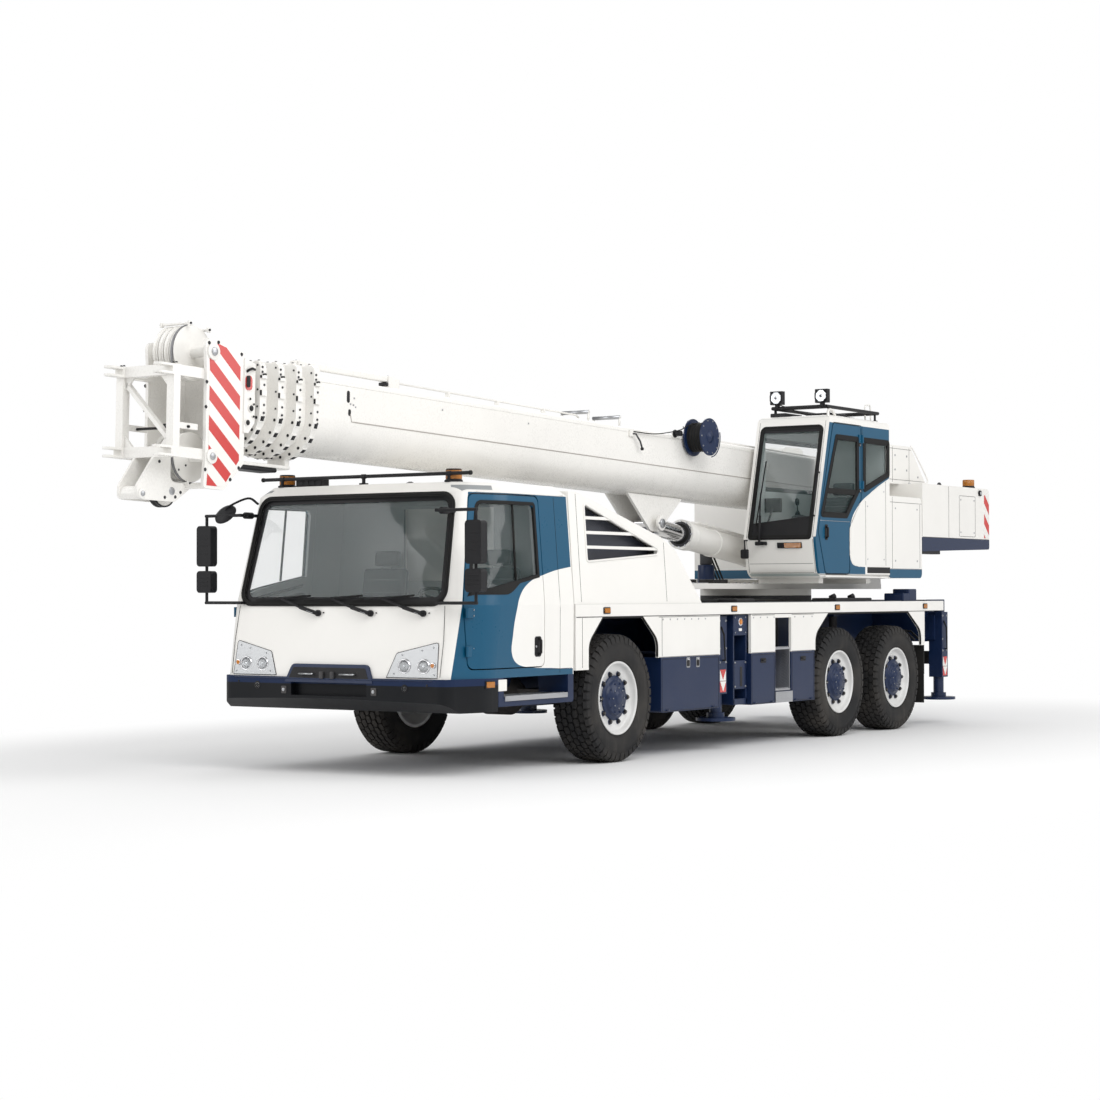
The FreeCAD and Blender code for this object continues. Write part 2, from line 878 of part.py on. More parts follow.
def axle_piece(name, steered):
    """An axle beam about its middle at wheel height, with its struts."""
    half_tall, half_deep = s.axle_height / 2, s.axle_depth / 2
    end = s.axle_end
    beam = box(f"{name}_beam", (-half_deep, half_deep), (-end, end), (-half_tall, half_tall))
    flare = s.diff_width
    housing = turn(f"{name}_housing", "YZ", (
        (-flare, 0),
        (flare, 0),
        (flare, half_tall),
        (flare / 2, s.diff_radius, s.diff_round),
        (-flare / 2, s.diff_radius, s.diff_round),
        (-flare, half_tall),
    ), "Y")
    strut_top = s.strut_top - s.tyre_radius
    strut = rod(f"{name}_strut", "Z", (0, s.strut_track / 2, 0), s.strut_radius, half_tall, strut_top)
    pieces = [beam, housing, both_sides(f"{name}_struts", strut)]
    if steered:
        clear = s.knuckle_height / 2 + s.fit_gap
        yoke = box(
            f"{name}_yoke",
            (-half_deep, half_deep),
            (end - s.fork_thick, end + s.fork_thick),
            (-clear - s.fork_thick, clear + s.fork_thick),
        )
        kingpin = s.wheel_track / 2 - s.kingpin_in
        arms = []
        for level, low in (("upper", clear), ("lower", -clear - s.fork_thick)):
            arms.append(box(
                f"{name}_{level}_arm",
                (-s.fork_radius, s.fork_radius),
                (end, kingpin),
                (low, low + s.fork_thick),
            ))
            arms.append(rod(
                f"{name}_{level}_eye", "Z", (0, kingpin, 0), s.fork_radius, low, low + s.fork_thick))
        pieces.append(both_sides(f"{name}_forks", fuse(f"{name}_fork", yoke, *arms)))
    else:
        wheel = s.wheel_track / 2
        carrier_face = wheel + HUB_BACK - s.free_gap
        pieces.append(both_sides(f"{name}_ends", fuse(
            f"{name}_end",
            rod(f"{name}_tube", "Y", (0, 0, 0), half_tall, end, carrier_face),
            rod(f"{name}_carrier", "Y", (0, 0, 0), s.hub_carrier_radius,
                carrier_face - s.knuckle_depth / 2, carrier_face),
            rod(f"{name}_spindle", "Y", (0, 0, 0), s.spindle_radius, carrier_face, wheel + SPINDLE_END),
        )))
    return fuse(f"{name}_welded", *pieces)


def running_gear():
    """Three axles, six wheels and the four knuckles of the steered ones."""
    tyre, rim, knuckle = tyre_piece(), rim_piece(), knuckle_piece()
    axles = []
    for name, x, steered in AXLES:
        axles.append(copy_at(
            f"{name}_axle_set", axle_piece(f"{name}_axle", steered), x, 0, s.tyre_radius))
        for side, sign in SIDES:
            y = s.wheel_track / 2 * sign
            sets = [("tyre", tyre), ("rim", rim)]
            if steered:
                sets.append(("knuckle", knuckle))
            for kind, piece in sets:
                placed = copy_at(f"{kind}_{name}_{side}_set", piece, x, y, s.tyre_radius, sign < 0)
                node(f"{kind}_{name}_{side}", placed)
    node("axles", group("axles_set", *axles))


# carrier frame and outriggers
DECK_UNDER = s.deck_top - s.deck_plate
BEAM_TOP = s.beam_low + s.beam_height
BOX_DEEP = 2 * s.beam_width + 2 * s.box_wall + s.channel_gap
# box name, place of its front face
OUTRIGGERS = (("front", behind(s.front_box_front)), ("rear", behind(s.rear_box_front)))


def channel_front(box_front, sign):
    """The front face of the left (front) or right (rear) beam channel of an outrigger box."""
    first = box_front - s.box_wall
    return first if sign > 0 else first - s.beam_width - s.channel_gap


def frame():
    """The carrier's box frame with its nose under the cab and its two outrigger boxes."""
    half = s.frame_half
    spine = pad("frame_spine", "XZ", (
        (behind(s.frame_rear), s.frame_low),
        (ahead(s.frame_nose_rear), s.frame_low),
        (ahead(s.frame_nose_rear + s.frame_nose_ramp), s.frame_nose_low),
        (ahead(s.frame_front), s.frame_nose_low),
        (ahead(s.frame_front), s.cab_low),
        (ahead(s.frame_step), s.cab_low),
        (ahead(s.frame_step), DECK_UNDER),
        (behind(s.frame_rear), DECK_UNDER),
    ), -half, half)
    boxes, channels = [], []
    for name, front in OUTRIGGERS:
        boxes.append(box(
            f"outrigger_box_{name}",
            (front - BOX_DEEP, front),
            (-(s.body_half - s.box_in), (s.body_half - s.box_in)),
            (s.beam_low - s.box_wall, BEAM_TOP + s.box_wall),
        ))
        for side, sign in SIDES:
            start = channel_front(front, sign)
            channels.append(box(
                f"channel_{name}_{side}",
                (start - s.beam_width, start),
                (-s.body_half, s.body_half),
                (s.beam_low, BEAM_TOP),
            ))
    rear_front = OUTRIGGERS[1][1]
    rear_wall = box(
        "outrigger_rear_wall",
        (rear_front - BOX_DEEP, behind(s.rail_rear) - s.free_gap),
        (-(s.body_half - s.box_in), (s.body_half - s.box_in)),
        (BEAM_TOP + s.box_wall, s.rear_post_top),
    )
    brackets = []
    for name, x, _ in AXLES:
        brackets.append(both_sides(f"{name}_brackets", box(
            f"{name}_bracket",
            (x - s.strut_cap / 2, x + s.strut_cap / 2),
            (half, s.strut_track / 2 + s.strut_radius),
            (s.strut_top, s.strut_top + s.strut_cap / 2),
        )))
    welded = fuse("frame_welded", spine, *boxes, rear_wall, *brackets)
    return node("chassis", cut("frame_open", welded, *channels))


def outrigger(name, front, side, sign):
    """One sliding beam with its jack housing, and the jack inside it."""
    start = channel_front(front, sign)
    play = s.fit_gap
    middle = start - s.beam_width / 2
    outer = (s.body_half - s.jack_in) + s.jack_housing_half
    tag = f"{name}_{side}"
    beam = box(
        f"beam_{tag}_box",
        (start - s.beam_width + play, start - play),
        (-s.beam_inner, (s.body_half - s.jack_in)),
        (s.beam_low + play, BEAM_TOP - play),
    )
    housing = box(
        f"beam_{tag}_housing",
        (middle - s.jack_housing_half, middle + s.jack_housing_half),
        ((s.body_half - s.jack_in) - s.jack_housing_half, outer),
        (s.jack_low, s.jack_top),
    )
    bore = rod(
        f"beam_{tag}_bore", "Z", (middle, (s.body_half - s.jack_in), 0),
        s.jack_radius + play, s.jack_low, s.jack_head)
    hollow = box(
        f"beam_{tag}_hollow",
        (start - s.beam_width + s.beam_wall, start - s.beam_wall),
        (-s.beam_inner, (s.body_half - s.jack_in) - s.jack_housing_half - s.beam_wall),
        (s.beam_low + s.beam_wall, BEAM_TOP - s.beam_wall),
    )
    whole = cut(f"beam_{tag}_cut", fuse(f"beam_{tag}_welded", beam, housing), bore, hollow)
    pad_top = s.jack_pad_low + s.jack_pad
    centre = (middle, (s.body_half - s.jack_in), 0)
    jack = fuse(
        f"jack_{tag}_welded",
        rod(f"jack_{tag}_rod", "Z", centre, s.jack_radius, pad_top, s.jack_head - s.free_gap),
        rod(f"jack_{tag}_ball", "Z", centre, s.jack_ball_radius, pad_top, pad_top + s.jack_ball),
        rod(f"jack_{tag}_pad", "Z", centre, s.jack_pad_radius, s.jack_pad_low, pad_top),
    )
    if sign < 0:
        whole = mirror(f"beam_{tag}_right", whole)
        jack = mirror(f"jack_{tag}_right", jack)
    node(f"outrigger_beam_{tag}", whole)
    node(f"outrigger_jack_{tag}", jack)


def slab(name, corners):
    """A side sheet of the body, drawn from the side and repeated on the right."""
    sheet_inner = s.body_half - s.rail_wall
    return both_sides(name, pad(name + "_left", "XZ", corners, sheet_inner, s.body_half))


def deck():
    """The deck plate with its side rails and the white sheets that hang from them."""
    rear, front = behind(s.rail_rear), ahead(s.rail_front)
    plate = box("deck_sheet", (rear, front), (-s.body_half, s.body_half), (DECK_UNDER, s.deck_top))
    rail = box("deck_rail", (rear, front), (s.body_half - s.rail_wall, s.body_half),
               (s.rail_low, s.deck_top))
    hatch = box(
        "deck_hatch",
        (behind(s.deck_hatch_rear), ahead(s.deck_hatch_front)),
        (-s.deck_hatch_half, s.deck_hatch_half),
        (DECK_UNDER, s.deck_top),
    )
    top, low, knee, bend = s.rail_low, s.panel_low, s.arch_knee, s.arch_round
    sheets = (
        ("sheet_cab", (
            (ahead(s.arch_front), s.panel_front_low),
            (front, s.panel_front_low),
            (front, top),
            (ahead(s.arch_front_top), top),
            (ahead(s.arch_front), knee, bend),
        )),
        ("sheet_front", (
            (behind(s.opening_front), low),
            (behind(s.arch_rear), low),
            (behind(s.arch_rear), knee, bend),
            (behind(s.arch_rear_top), top),
            (behind(s.opening_front), top),
        )),
        ("sheet_middle", (
            (behind(s.tandem_front), low),
            (behind(s.step_rear), low),
            (behind(s.step_rear), s.step_top),
            (behind(s.step_front), s.step_top),
            (behind(s.step_front), low),
            (behind(s.opening_rear), low),
            (behind(s.opening_rear), top),
            (behind(s.tandem_front_top), top),
            (behind(s.tandem_front), knee, bend),
        )),
        ("sheet_rear", (
            (behind(s.panel_rear), low),
            (behind(s.tandem_rear), low),
            (behind(s.tandem_rear), knee, bend),
            (behind(s.tandem_rear_top), top),
            (behind(s.panel_rear), top),
        )),
    )
    plate_open = cut("deck_plate_open", plate, hatch)
    pieces = [slab(name, corners) for name, corners in sheets]
    return node("deck", fuse("deck_welded", plate_open, both_sides("deck_rails", rail), *pieces))


def lockers():
    """The navy boxes between the wheels and the sills beside the cab."""
    inner, outer = s.frame_half, s.body_half
    bend = s.locker_round
    front = pad("locker_front_box", "XZ", (
        (behind(s.locker_rear), s.box_low, bend),
        (behind(s.locker_front), s.box_low, bend),
        (behind(s.locker_front), s.panel_low),
        (behind(s.locker_rear), s.panel_low),
    ), inner, outer)
    back = pad("locker_back_box", "XZ", (
        (behind(s.locker_back), s.box_low),
        (behind(s.opening_rear), s.box_low),
        (behind(s.opening_rear), s.panel_low),
        (behind(s.locker_back), s.panel_low),
    ), inner, outer)
    recess = box(
        "locker_recess",
        (behind(s.step_rear), behind(s.step_front)),
        (outer - s.step_depth, outer),
        (s.step_tread, s.panel_low),
    )
    sill = pad("sill_box", "XZ", (
        (ahead(s.cab_rear), s.sill_low, bend),
        (ahead(s.sill_front), s.sill_low),
        (ahead(s.sill_front), s.cab_low),
        (ahead(s.sill_step_front), s.cab_low),
        (ahead(s.sill_step_front), s.sill_step_top),
        (ahead(s.sill_step_rear), s.sill_step_top),
        (ahead(s.sill_step_rear), s.cab_low),
        (ahead(s.cab_rear), s.cab_low),
    ), CAB_HALF - s.sill_depth, CAB_HALF)
    left = group("lockers_left", front, cut("locker_back_open", back, recess), sill)
    return node("lockers", group("lockers_all", left, mirror("lockers_right", left)))


def mudguards():
    """The rear splash plates with their rubber flaps."""
    place = behind(s.guard_place)
    plate = box(
        "guard_plate",
        (place - s.guard_thick, place),
        (s.flap_inner, s.body_half),
        (s.guard_low, s.panel_low),
    )
    flap = box(
        "guard_flap",
        (place - s.flap_thick, place),
        (s.flap_inner, s.body_half),
        (s.flap_low, s.guard_low),
    )
    return node("mudguards", both_sides("mudguard_pair", fuse("mudguard", plate, flap)))


def slewing_ring():
    """The lower race of the slewing ring, bolted to the deck."""
    race = pad("lower_race", "XY", (), s.deck_top, s.deck_top + s.ring_lower,
               rings=((SLEW, 0, s.ring_outer), (SLEW, 0, s.ring_inner)))
    return node("slewing_ring", race)


# driver's cab
def cab_block(name, inset, floor):
    """The cab's body as a loft of plan outlines; inset shrinks it on every side."""
    roof_edge = s.cab_roof - s.cab_roof_round
    shrink = s.cab_roof_round
    # height, front face, half width, extra shrink of the roof's edge
    rows = (
        (s.cab_low + floor, s.cab_front, CAB_HALF, 0),
        (s.cab_belt, s.cab_belt_front, CAB_BELT_HALF, 0),
        (roof_edge - inset, s.cab_roof_front, CAB_ROOF_HALF, 0),
        (s.cab_roof - inset, s.cab_roof_front, CAB_ROOF_HALF, shrink),
    )
    sections = []
    for step, (height, front, half, extra) in enumerate(rows):
        tip = ahead(front) - inset - extra
        side = half - inset - extra
        back = ahead(s.cab_rear) + inset + extra
        corner = side - s.cab_corner_in
        shoulder = tip - s.cab_corner_back
        section = draw(f"{name}_section_{step}", "XY", ((
            (back, -side),
            (shoulder, -side, s.cab_side_round),
            (tip, -corner, s.cab_corner_round),
            (tip + s.cab_bulge, 0, s.cab_bulge_round),
            (tip, corner, s.cab_corner_round),
            (shoulder, side, s.cab_side_round),
            (back, side),
        ),))
        sections.append(put(section, z=height))
    obj = doc.addObject("Part::Loft", name)
    obj.Sections = sections
    obj.Solid = True
    obj.Ruled = True
    return obj


def door_outline(grow):
    """The side outline of the cab door; grow widens it into its opening."""
    rear, low, top = ahead(s.door_rear) - grow, s.door_low - grow, s.door_top + grow
    return (
        (rear, low, s.door_round),
        (ahead(s.door_front_low) + grow, low, s.door_round),
        (ahead(s.door_front_belt) + grow, s.cab_belt),
        (ahead(s.door_front_top) + grow, top, s.door_round),
        (rear, top, s.door_round),
    )


def driver_cab():
    """The hollow cab with its openings, its glass and its two doors."""
    outer = cab_block("cab_outer", ZERO, ZERO)
    inner = cab_block("cab_inner", s.cab_wall, s.cab_floor)
    walls = cut("cab_walls", outer, inner)
    reach_in, reach_out = CAB_ROOF_HALF - s.cab_corner_in - s.cab_wall, s.body_half + s.cab_wall
    opening = both_sides("door_openings", pad(
        "door_opening", "XZ", door_outline(s.door_gap), reach_in, reach_out))
    screen = pad("screen_opening", "YZ", mirrored((
        (s.screen_low_half, s.screen_low, s.screen_round),
        (s.screen_top_half, s.screen_top, s.screen_round),
    )), ahead(s.door_rear), ahead(s.cab_front + s.cab_bulge))
    rear_window = box(
        "rear_window_opening",
        (ahead(s.cab_rear) - s.cab_wall, ahead(s.cab_rear) + s.cab_roof_round + s.cab_wall),
        (-s.rear_glass_half, s.rear_glass_half),
        (s.rear_glass_low, s.rear_glass_top),
    )
    node("driver_cab", cut("cab_open", walls, opening, screen, rear_window))
    half_wall = s.cab_wall / 2
    glass_outer = cab_block("cab_glass_outer", half_wall - s.screen_glass / 2, s.cab_floor)
    glass_inner = cab_block("cab_glass_inner", half_wall + s.screen_glass / 2, s.cab_floor)
    panes = common(
        "cab_panes",
        cut("cab_glass_shell", glass_outer, glass_inner),
        fuse("cab_glass_openings", screen, rear_window),
    )
    node("cab_glass", panes)
    edge = s.door_glass_edge
    window = pad("door_window", "XZ", (
        (ahead(s.door_rear) + edge, s.door_glass_low_rear),
        (ahead(s.door_front_belt) - edge, s.door_glass_low_front),
        (ahead(s.door_front_top) - edge, s.door_top - edge, s.door_round),
        (ahead(s.door_rear) + edge, s.door_top - edge, s.door_round),
    ), reach_in, reach_out)
    leaf = common("door_leaf", walls, pad(
        "door_prism", "XZ", door_outline(ZERO), reach_in, reach_out))
    hinge_x, hinge_y = ahead(s.hinge_place), s.body_half - s.hinge_in
    hinges = []
    for level, low in (("low", s.hinge_low), ("high", s.hinge_high)):
        high = low + s.hinge_length
        hinges.append(rod(f"door_hinge_{level}", "Z", (hinge_x, hinge_y, 0), s.hinge_radius, low, high))
        hinges.append(box(f"door_hinge_leaf_{level}", (hinge_x - s.hinge_leaf, hinge_x),
                          (hinge_y - s.hinge_radius, hinge_y), (low, high)))
    left = fuse("door_hung", cut("door_cut", leaf, window), *hinges)
    node("driver_door_left", left)
    node("driver_door_right", mirror("door_hung_right", left))
    return outer


def seat(name, x, y, floor):
    """A seat on its pedestal: cushion, leaning back and headrest in one."""
    half = s.seat_width / 2
    front, back = x + s.seat_length / 2, x - s.seat_length / 2
    cushion_low = floor + s.seat_height - s.seat_cushion
    cushion_top = floor + s.seat_height
    bend = s.seat_cushion / 3
    profile = (
        (back, cushion_low, bend),
        (front, cushion_low, bend),
        (front, cushion_top, bend),
        (back + s.seat_back, cushion_top),
        (back + s.seat_back - s.seat_lean, cushion_top + s.seat_back_height, bend),
        (back - s.seat_lean, cushion_top + s.seat_back_height, bend),
    )
    upholstery = pad(f"{name}_upholstery", "XZ", profile, y - half, y + half)
    base = box(
        f"{name}_base",
        (back + s.seat_back, front - s.seat_back),
        (y - half / 2, y + half / 2),
        (floor, cushion_low),
    )
    return fuse(f"{name}_whole", upholstery, base)


def cab_interior():
    """Two seats, the dashboard on its console and the steering wheel."""
    floor = s.cab_low + s.cab_floor
    seats = [
        seat(f"cab_seat_{side}", ahead(s.seat_place), sign * s.seat_side, floor)
        for side, sign in SIDES
    ]
    half = s.seat_side + s.seat_width / 2
    dash = pad("dash_top", "XZ", (
        (ahead(s.dash_rear), s.dash_low),
        (ahead(s.dash_front), s.dash_low),
        (ahead(s.dash_front), s.dash_top, s.mirror_round),
        (ahead(s.dash_rear) + s.mirror_round, s.dash_top, s.mirror_round),
    ), -half, half)
    console = box(
        "dash_console",
        (ahead(s.dash_rear) + s.console_back, ahead(s.dash_front) - s.mirror_round),
        (-s.console_half, s.console_half),
        (floor, s.dash_low),
    )
    ring = doc.addObject("Part::Torus", "wheel_ring_torus")
    ring.setExpression("Radius1", s.wheel_ring.text)
    ring.setExpression("Radius2", s.wheel_ring_pipe.text)
    spoke = rod("wheel_spoke", "Y", (0, 0, 0), s.wheel_spoke, -s.wheel_ring, s.wheel_ring)
    drop = (s.wheel_ring_height - s.dash_low) / cosine(s.wheel_tilt)
    column = rod("wheel_column", "Z", (0, 0, 0), s.column_radius, -drop, s.wheel_ring_pipe)
    steering = group("steering_wheel", fuse("steering_whole", ring, spoke, column))
    steering.Placement.Rotation = FreeCAD.Rotation(FreeCAD.Vector(0, -1, 0), s.wheel_tilt.value)
    steering.setExpression(".Placement.Rotation.Angle", s.wheel_tilt.text)
    put(steering, ahead(s.wheel_ring_place), s.seat_side, s.wheel_ring_height)
    node("cab_interior", fuse("cab_furniture", *seats, dash, console, steering))


def bumper():
    """The black bumper tray that wraps the cab's lower front corners."""
    grow = s.bumper_grow
    tip = ahead(s.cab_front) + grow
    side = CAB_HALF
    corner = side - s.cab_corner_in + grow
    shoulder = tip - s.cab_corner_back
    rear = ahead(s.bumper_rear)
    plan = pad("bumper_plan", "XY", (
        (rear, -side),
        (shoulder, -side, s.cab_side_round),
        (tip, -corner, s.cab_corner_round),
        (tip + s.cab_bulge, 0, s.cab_bulge_round),
        (tip, corner, s.cab_corner_round),
        (shoulder, side, s.cab_side_round),
        (rear, side),
    ), s.bumper_low, s.cab_low)
    front = tip + s.cab_bulge + grow
    profile = pad("bumper_side", "XZ", (
        (rear, s.bumper_low),
        (ahead(s.bumper_chin), s.bumper_low),
        (front, s.bumper_front_low),
        (front, s.cab_low),
        (rear, s.cab_low),
    ), -side, side)
    recess = box(
        "bumper_recess_block",
        (tip + s.cab_bulge - s.bumper_recess, front),
        (-s.bumper_recess_half, s.bumper_recess_half),
        (s.bumper_front_low, s.cab_low),
    )
    nose = box(
        "bumper_frame_slot",
        (rear, ahead(s.frame_front)),
        (-s.frame_half, s.frame_half),
        (s.frame_nose_low, s.cab_low),
    )
    node("bumper", cut("bumper_cut", common("bumper_block", plan, profile), recess, nose))


def cab_fittings(cab):
    """Mirrors on their arms, the roof bar and the two flashing lamps."""
    x = ahead((s.mirror_front + s.mirror_back) / 2)
    y = (MIRROR_IN + MIRROR_OUT) / 2
    pipe = s.mirror_arm
    glasses = []
    for size, low, high in (
        ("large", s.mirror_low, s.mirror_top),
        ("small", s.small_mirror_low, s.small_mirror_top),
    ):
        glasses.append(pad(f"mirror_{size}", "YZ", (
            (MIRROR_IN, low, s.mirror_round),
            (MIRROR_OUT, low, s.mirror_round),
            (MIRROR_OUT, high, s.mirror_round),
            (MIRROR_IN, high, s.mirror_round),
        ), ahead(s.mirror_back), ahead(s.mirror_front)))
    arms = [rod("mirror_post", "Z", (x, y, 0), pipe, s.mirror_arm_low, s.mirror_arm_top)]
    inner = s.body_half - s.mirror_root_in
    for level, height in (("upper", s.mirror_arm_top), ("lower", s.mirror_arm_low)):
        arms.append(rod(f"mirror_{level}_arm", "Y", (x, 0, height), pipe, inner, y + pipe))
        arms.append(box(
            f"mirror_{level}_root",
            (ahead(s.door_front_top), x + pipe),
            (inner - pipe, inner + pipe),
            (height - pipe, height + pipe),
        ))
    whole = both_sides("mirror_pair", fuse("mirror_whole", *glasses, *arms))
    bar_height = s.cab_roof + s.rack_rise
    bar_place = ahead(s.rack_front)
    bar_end = s.body_half - s.rack_in
    bar = [rod("roof_bar", "Y", (bar_place, 0, bar_height), s.rack_pipe, -bar_end, bar_end)]
    for post in (-1, 0, 1):
        bar.append(rod(f"roof_bar_post_{post + 1}", "Z", (bar_place, s.rack_post * post, 0),
                       s.rack_pipe, s.cab_roof, bar_height))
    lamp = rod("cab_beacon", "Z", (ahead(s.beacon_place), s.beacon_half, 0),
               s.beacon_radius, s.cab_roof, s.cab_roof + s.beacon_rise)
    node("cab_fittings", group(
        "cab_fittings_all",
        cut("mirrors_trimmed", whole, cab),
        fuse("roof_bar_whole", *bar),
        both_sides("cab_beacons", lamp),
    ))


# engine and its cover
def cover_block(name, inset):
    """The cover's body: its side profile narrowed towards the top."""
    outline = pad(f"{name}_side", "XZ", (
        (behind(s.cover_rear) + inset, s.deck_top),
        (ahead(s.cover_front) - inset, s.deck_top),
        (ahead(s.cover_front) - inset, s.cover_top - inset),
        (ahead(s.cover_front_top) - inset, s.cover_top - inset),
        (behind(s.cover_crease) + inset / 2, s.cover_crease_top - inset),
        (behind(s.cover_knee) + inset, s.cover_knee_top - inset / 2, s.cover_round),
    ), -COVER_HALF, COVER_HALF)
    across = pad(f"{name}_front", "YZ", mirrored((
        (COVER_HALF - inset, s.deck_top),
        ((s.body_half - s.cover_top_in) - inset, s.cover_top),
    )), behind(s.cover_rear), ahead(s.cover_front))
    return common(name, outline, across)


def engine_cover():
    """The white cover behind the cab with its louvred vents, and the engine under it."""
    shell = cut("cover_shell", cover_block("cover_outer", ZERO),
                cover_block("cover_inner", s.cover_wall))
    vent = pad("vent", "XZ", (
        (behind(s.vent_rear), s.vent_tip_low, s.vent_round / 2),
        (ahead(s.vent_front), s.vent_low, s.vent_round),
        (ahead(s.vent_front), s.vent_top, s.vent_round),
        (behind(s.vent_rear), s.vent_tip_top, s.vent_round / 2),
    ), -COVER_HALF, COVER_HALF)
    pitch = (s.vent_top - s.vent_low) / 4
    bars = []
    for step in (1, 2, 3):
        low = s.vent_low + pitch * step - s.louvre / 2
        bars.append(box(
            f"louvre_{step}",
            (behind(s.vent_rear), ahead(s.vent_front)),
            (-COVER_HALF, COVER_HALF),
            (low, low + s.louvre),
        ))
    node("engine_cover", cut("cover_open", shell, cut("vent_open", vent, *bars)))
    node("engine", box(
        "engine_block",
        (behind(s.engine_rear), ahead(s.engine_front)),
        (-s.engine_half, s.engine_half),
        (DECK_UNDER, s.engine_top),
    ))


# turntable
PLATE_LOW = s.deck_top + s.ring_lower + s.fit_gap + s.ring_upper
PLATE_TOP = PLATE_LOW + s.plate_thick
PIVOT = (aft(s.pivot_back), s.pivot_height)
FOOT = (aft(s.foot_back), PLATE_TOP + s.foot_rise)


def turntable():
    """The rotating frame: upper race, base plate, cab arms and the two boom cheeks."""
    race_low = s.deck_top + s.ring_lower + s.fit_gap
    race = pad("upper_race", "XY", (), race_low, PLATE_LOW,
               rings=((SLEW, 0, s.ring_outer), (SLEW, 0, s.ring_inner)))
    plate = pad("base_plate", "XY", (
        (aft(s.plate_rear), -s.plate_half),
        (SLEW, -s.plate_half),
        (fore(s.plate_front), -s.plate_nose_half),
        (fore(s.plate_front), s.plate_nose_half),
        (SLEW, s.plate_half),
        (aft(s.plate_rear), s.plate_half),
    ), PLATE_LOW, PLATE_TOP)
    rib = box(
        "base_rib",
        (aft(s.cheek_front), SLEW),
        (s.cheek_inner, s.cheek_outer),
        (PLATE_TOP, s.crane_cab_low),
    )
    arms = [
        box(f"cab_arm_{name}", (x, x + s.arm_width), (s.cheek_inner, s.arm_reach),
            (PLATE_TOP, s.crane_cab_low))
        for name, x in (("front", fore(s.arm_front)), ("rear", aft(s.arm_rear)))
    ]
    cheek = pad("cheek", "XZ", (
        (aft(s.cheek_rear), PLATE_TOP),
        (aft(s.cheek_front), PLATE_TOP),
        (aft(s.cheek_front), s.cheek_brow, s.cheek_round),
        (aft(s.cheek_top_front), s.cheek_top, s.cheek_round),
        (aft(s.cheek_top_rear), s.cheek_top, s.cheek_round),
        (aft(s.cheek_shoulder), s.weight_top, s.cheek_round),
    ), s.cheek_inner, s.cheek_outer, rings=((*PIVOT, s.pivot_radius + s.fit_gap),))
    pin = rod("foot_pin", "Y", (FOOT[0], 0, FOOT[1]), s.foot_radius, -s.cheek_inner, s.cheek_inner)
    wall = box(
        "cheek_wall",
        (aft(s.cheek_rear), aft(s.cheek_rear) + s.plate_thick),
        (-s.cheek_inner, s.cheek_inner),
        (PLATE_TOP, s.weight_step),
    )
    node("turntable", fuse(
        "turntable_welded", race, plate, wall, pin,
        both_sides("cheeks", fuse("cheek_side", cheek, rib, *arms)),
    ))


def crane_cab_block(name, inset):
    """The crane cab's body: its side profile narrowed by rounded roof and sill edges."""
    low, top = s.crane_cab_low + inset, s.crane_cab_top - inset
    inner, outer = s.crane_cab_inner + inset, s.crane_cab_outer - inset
    rear = aft(s.crane_cab_rear) + inset
    outline = pad(f"{name}_side", "XZ", (
        (rear, low, s.crane_cab_side_round),
        (fore(s.crane_cab_sill_front) - inset, low, s.crane_cab_toe_round),
        (fore(s.crane_cab_front) - inset, s.crane_cab_front_low, s.crane_cab_round),
        (fore(s.crane_cab_top_front) - inset, top, s.crane_cab_round),
        (rear, top, s.crane_cab_side_round),
    ), inner, outer)
    across = pad(f"{name}_front", "YZ", (
        (inner, low),
        (outer, low, s.crane_cab_side_round),
        (outer, top, s.crane_cab_side_round),
        (inner, top, s.crane_cab_side_round),
    ), rear, fore(s.crane_cab_front))
    return common(name, outline, across)


def crane_door_outline(grow):
    """The side outline of the crane cab's door; grow widens it into its opening."""
    rear, heel = aft(s.crane_door_rear) - grow, fore(s.crane_door_heel) - grow
    low, top = s.crane_door_low - grow, s.crane_door_top + grow
    bend = s.crane_door_round
    return (
        (heel, low, bend),
        (fore(s.crane_door_front_low) + grow, low, bend),
        (fore(s.crane_door_front_mid) + grow, s.crane_door_mid, bend),
        (fore(s.crane_door_front_top) + grow, top, bend),
        (rear, top),
        (rear, s.crane_door_waist - grow),
        (heel, s.crane_door_heel_height, bend),
    )


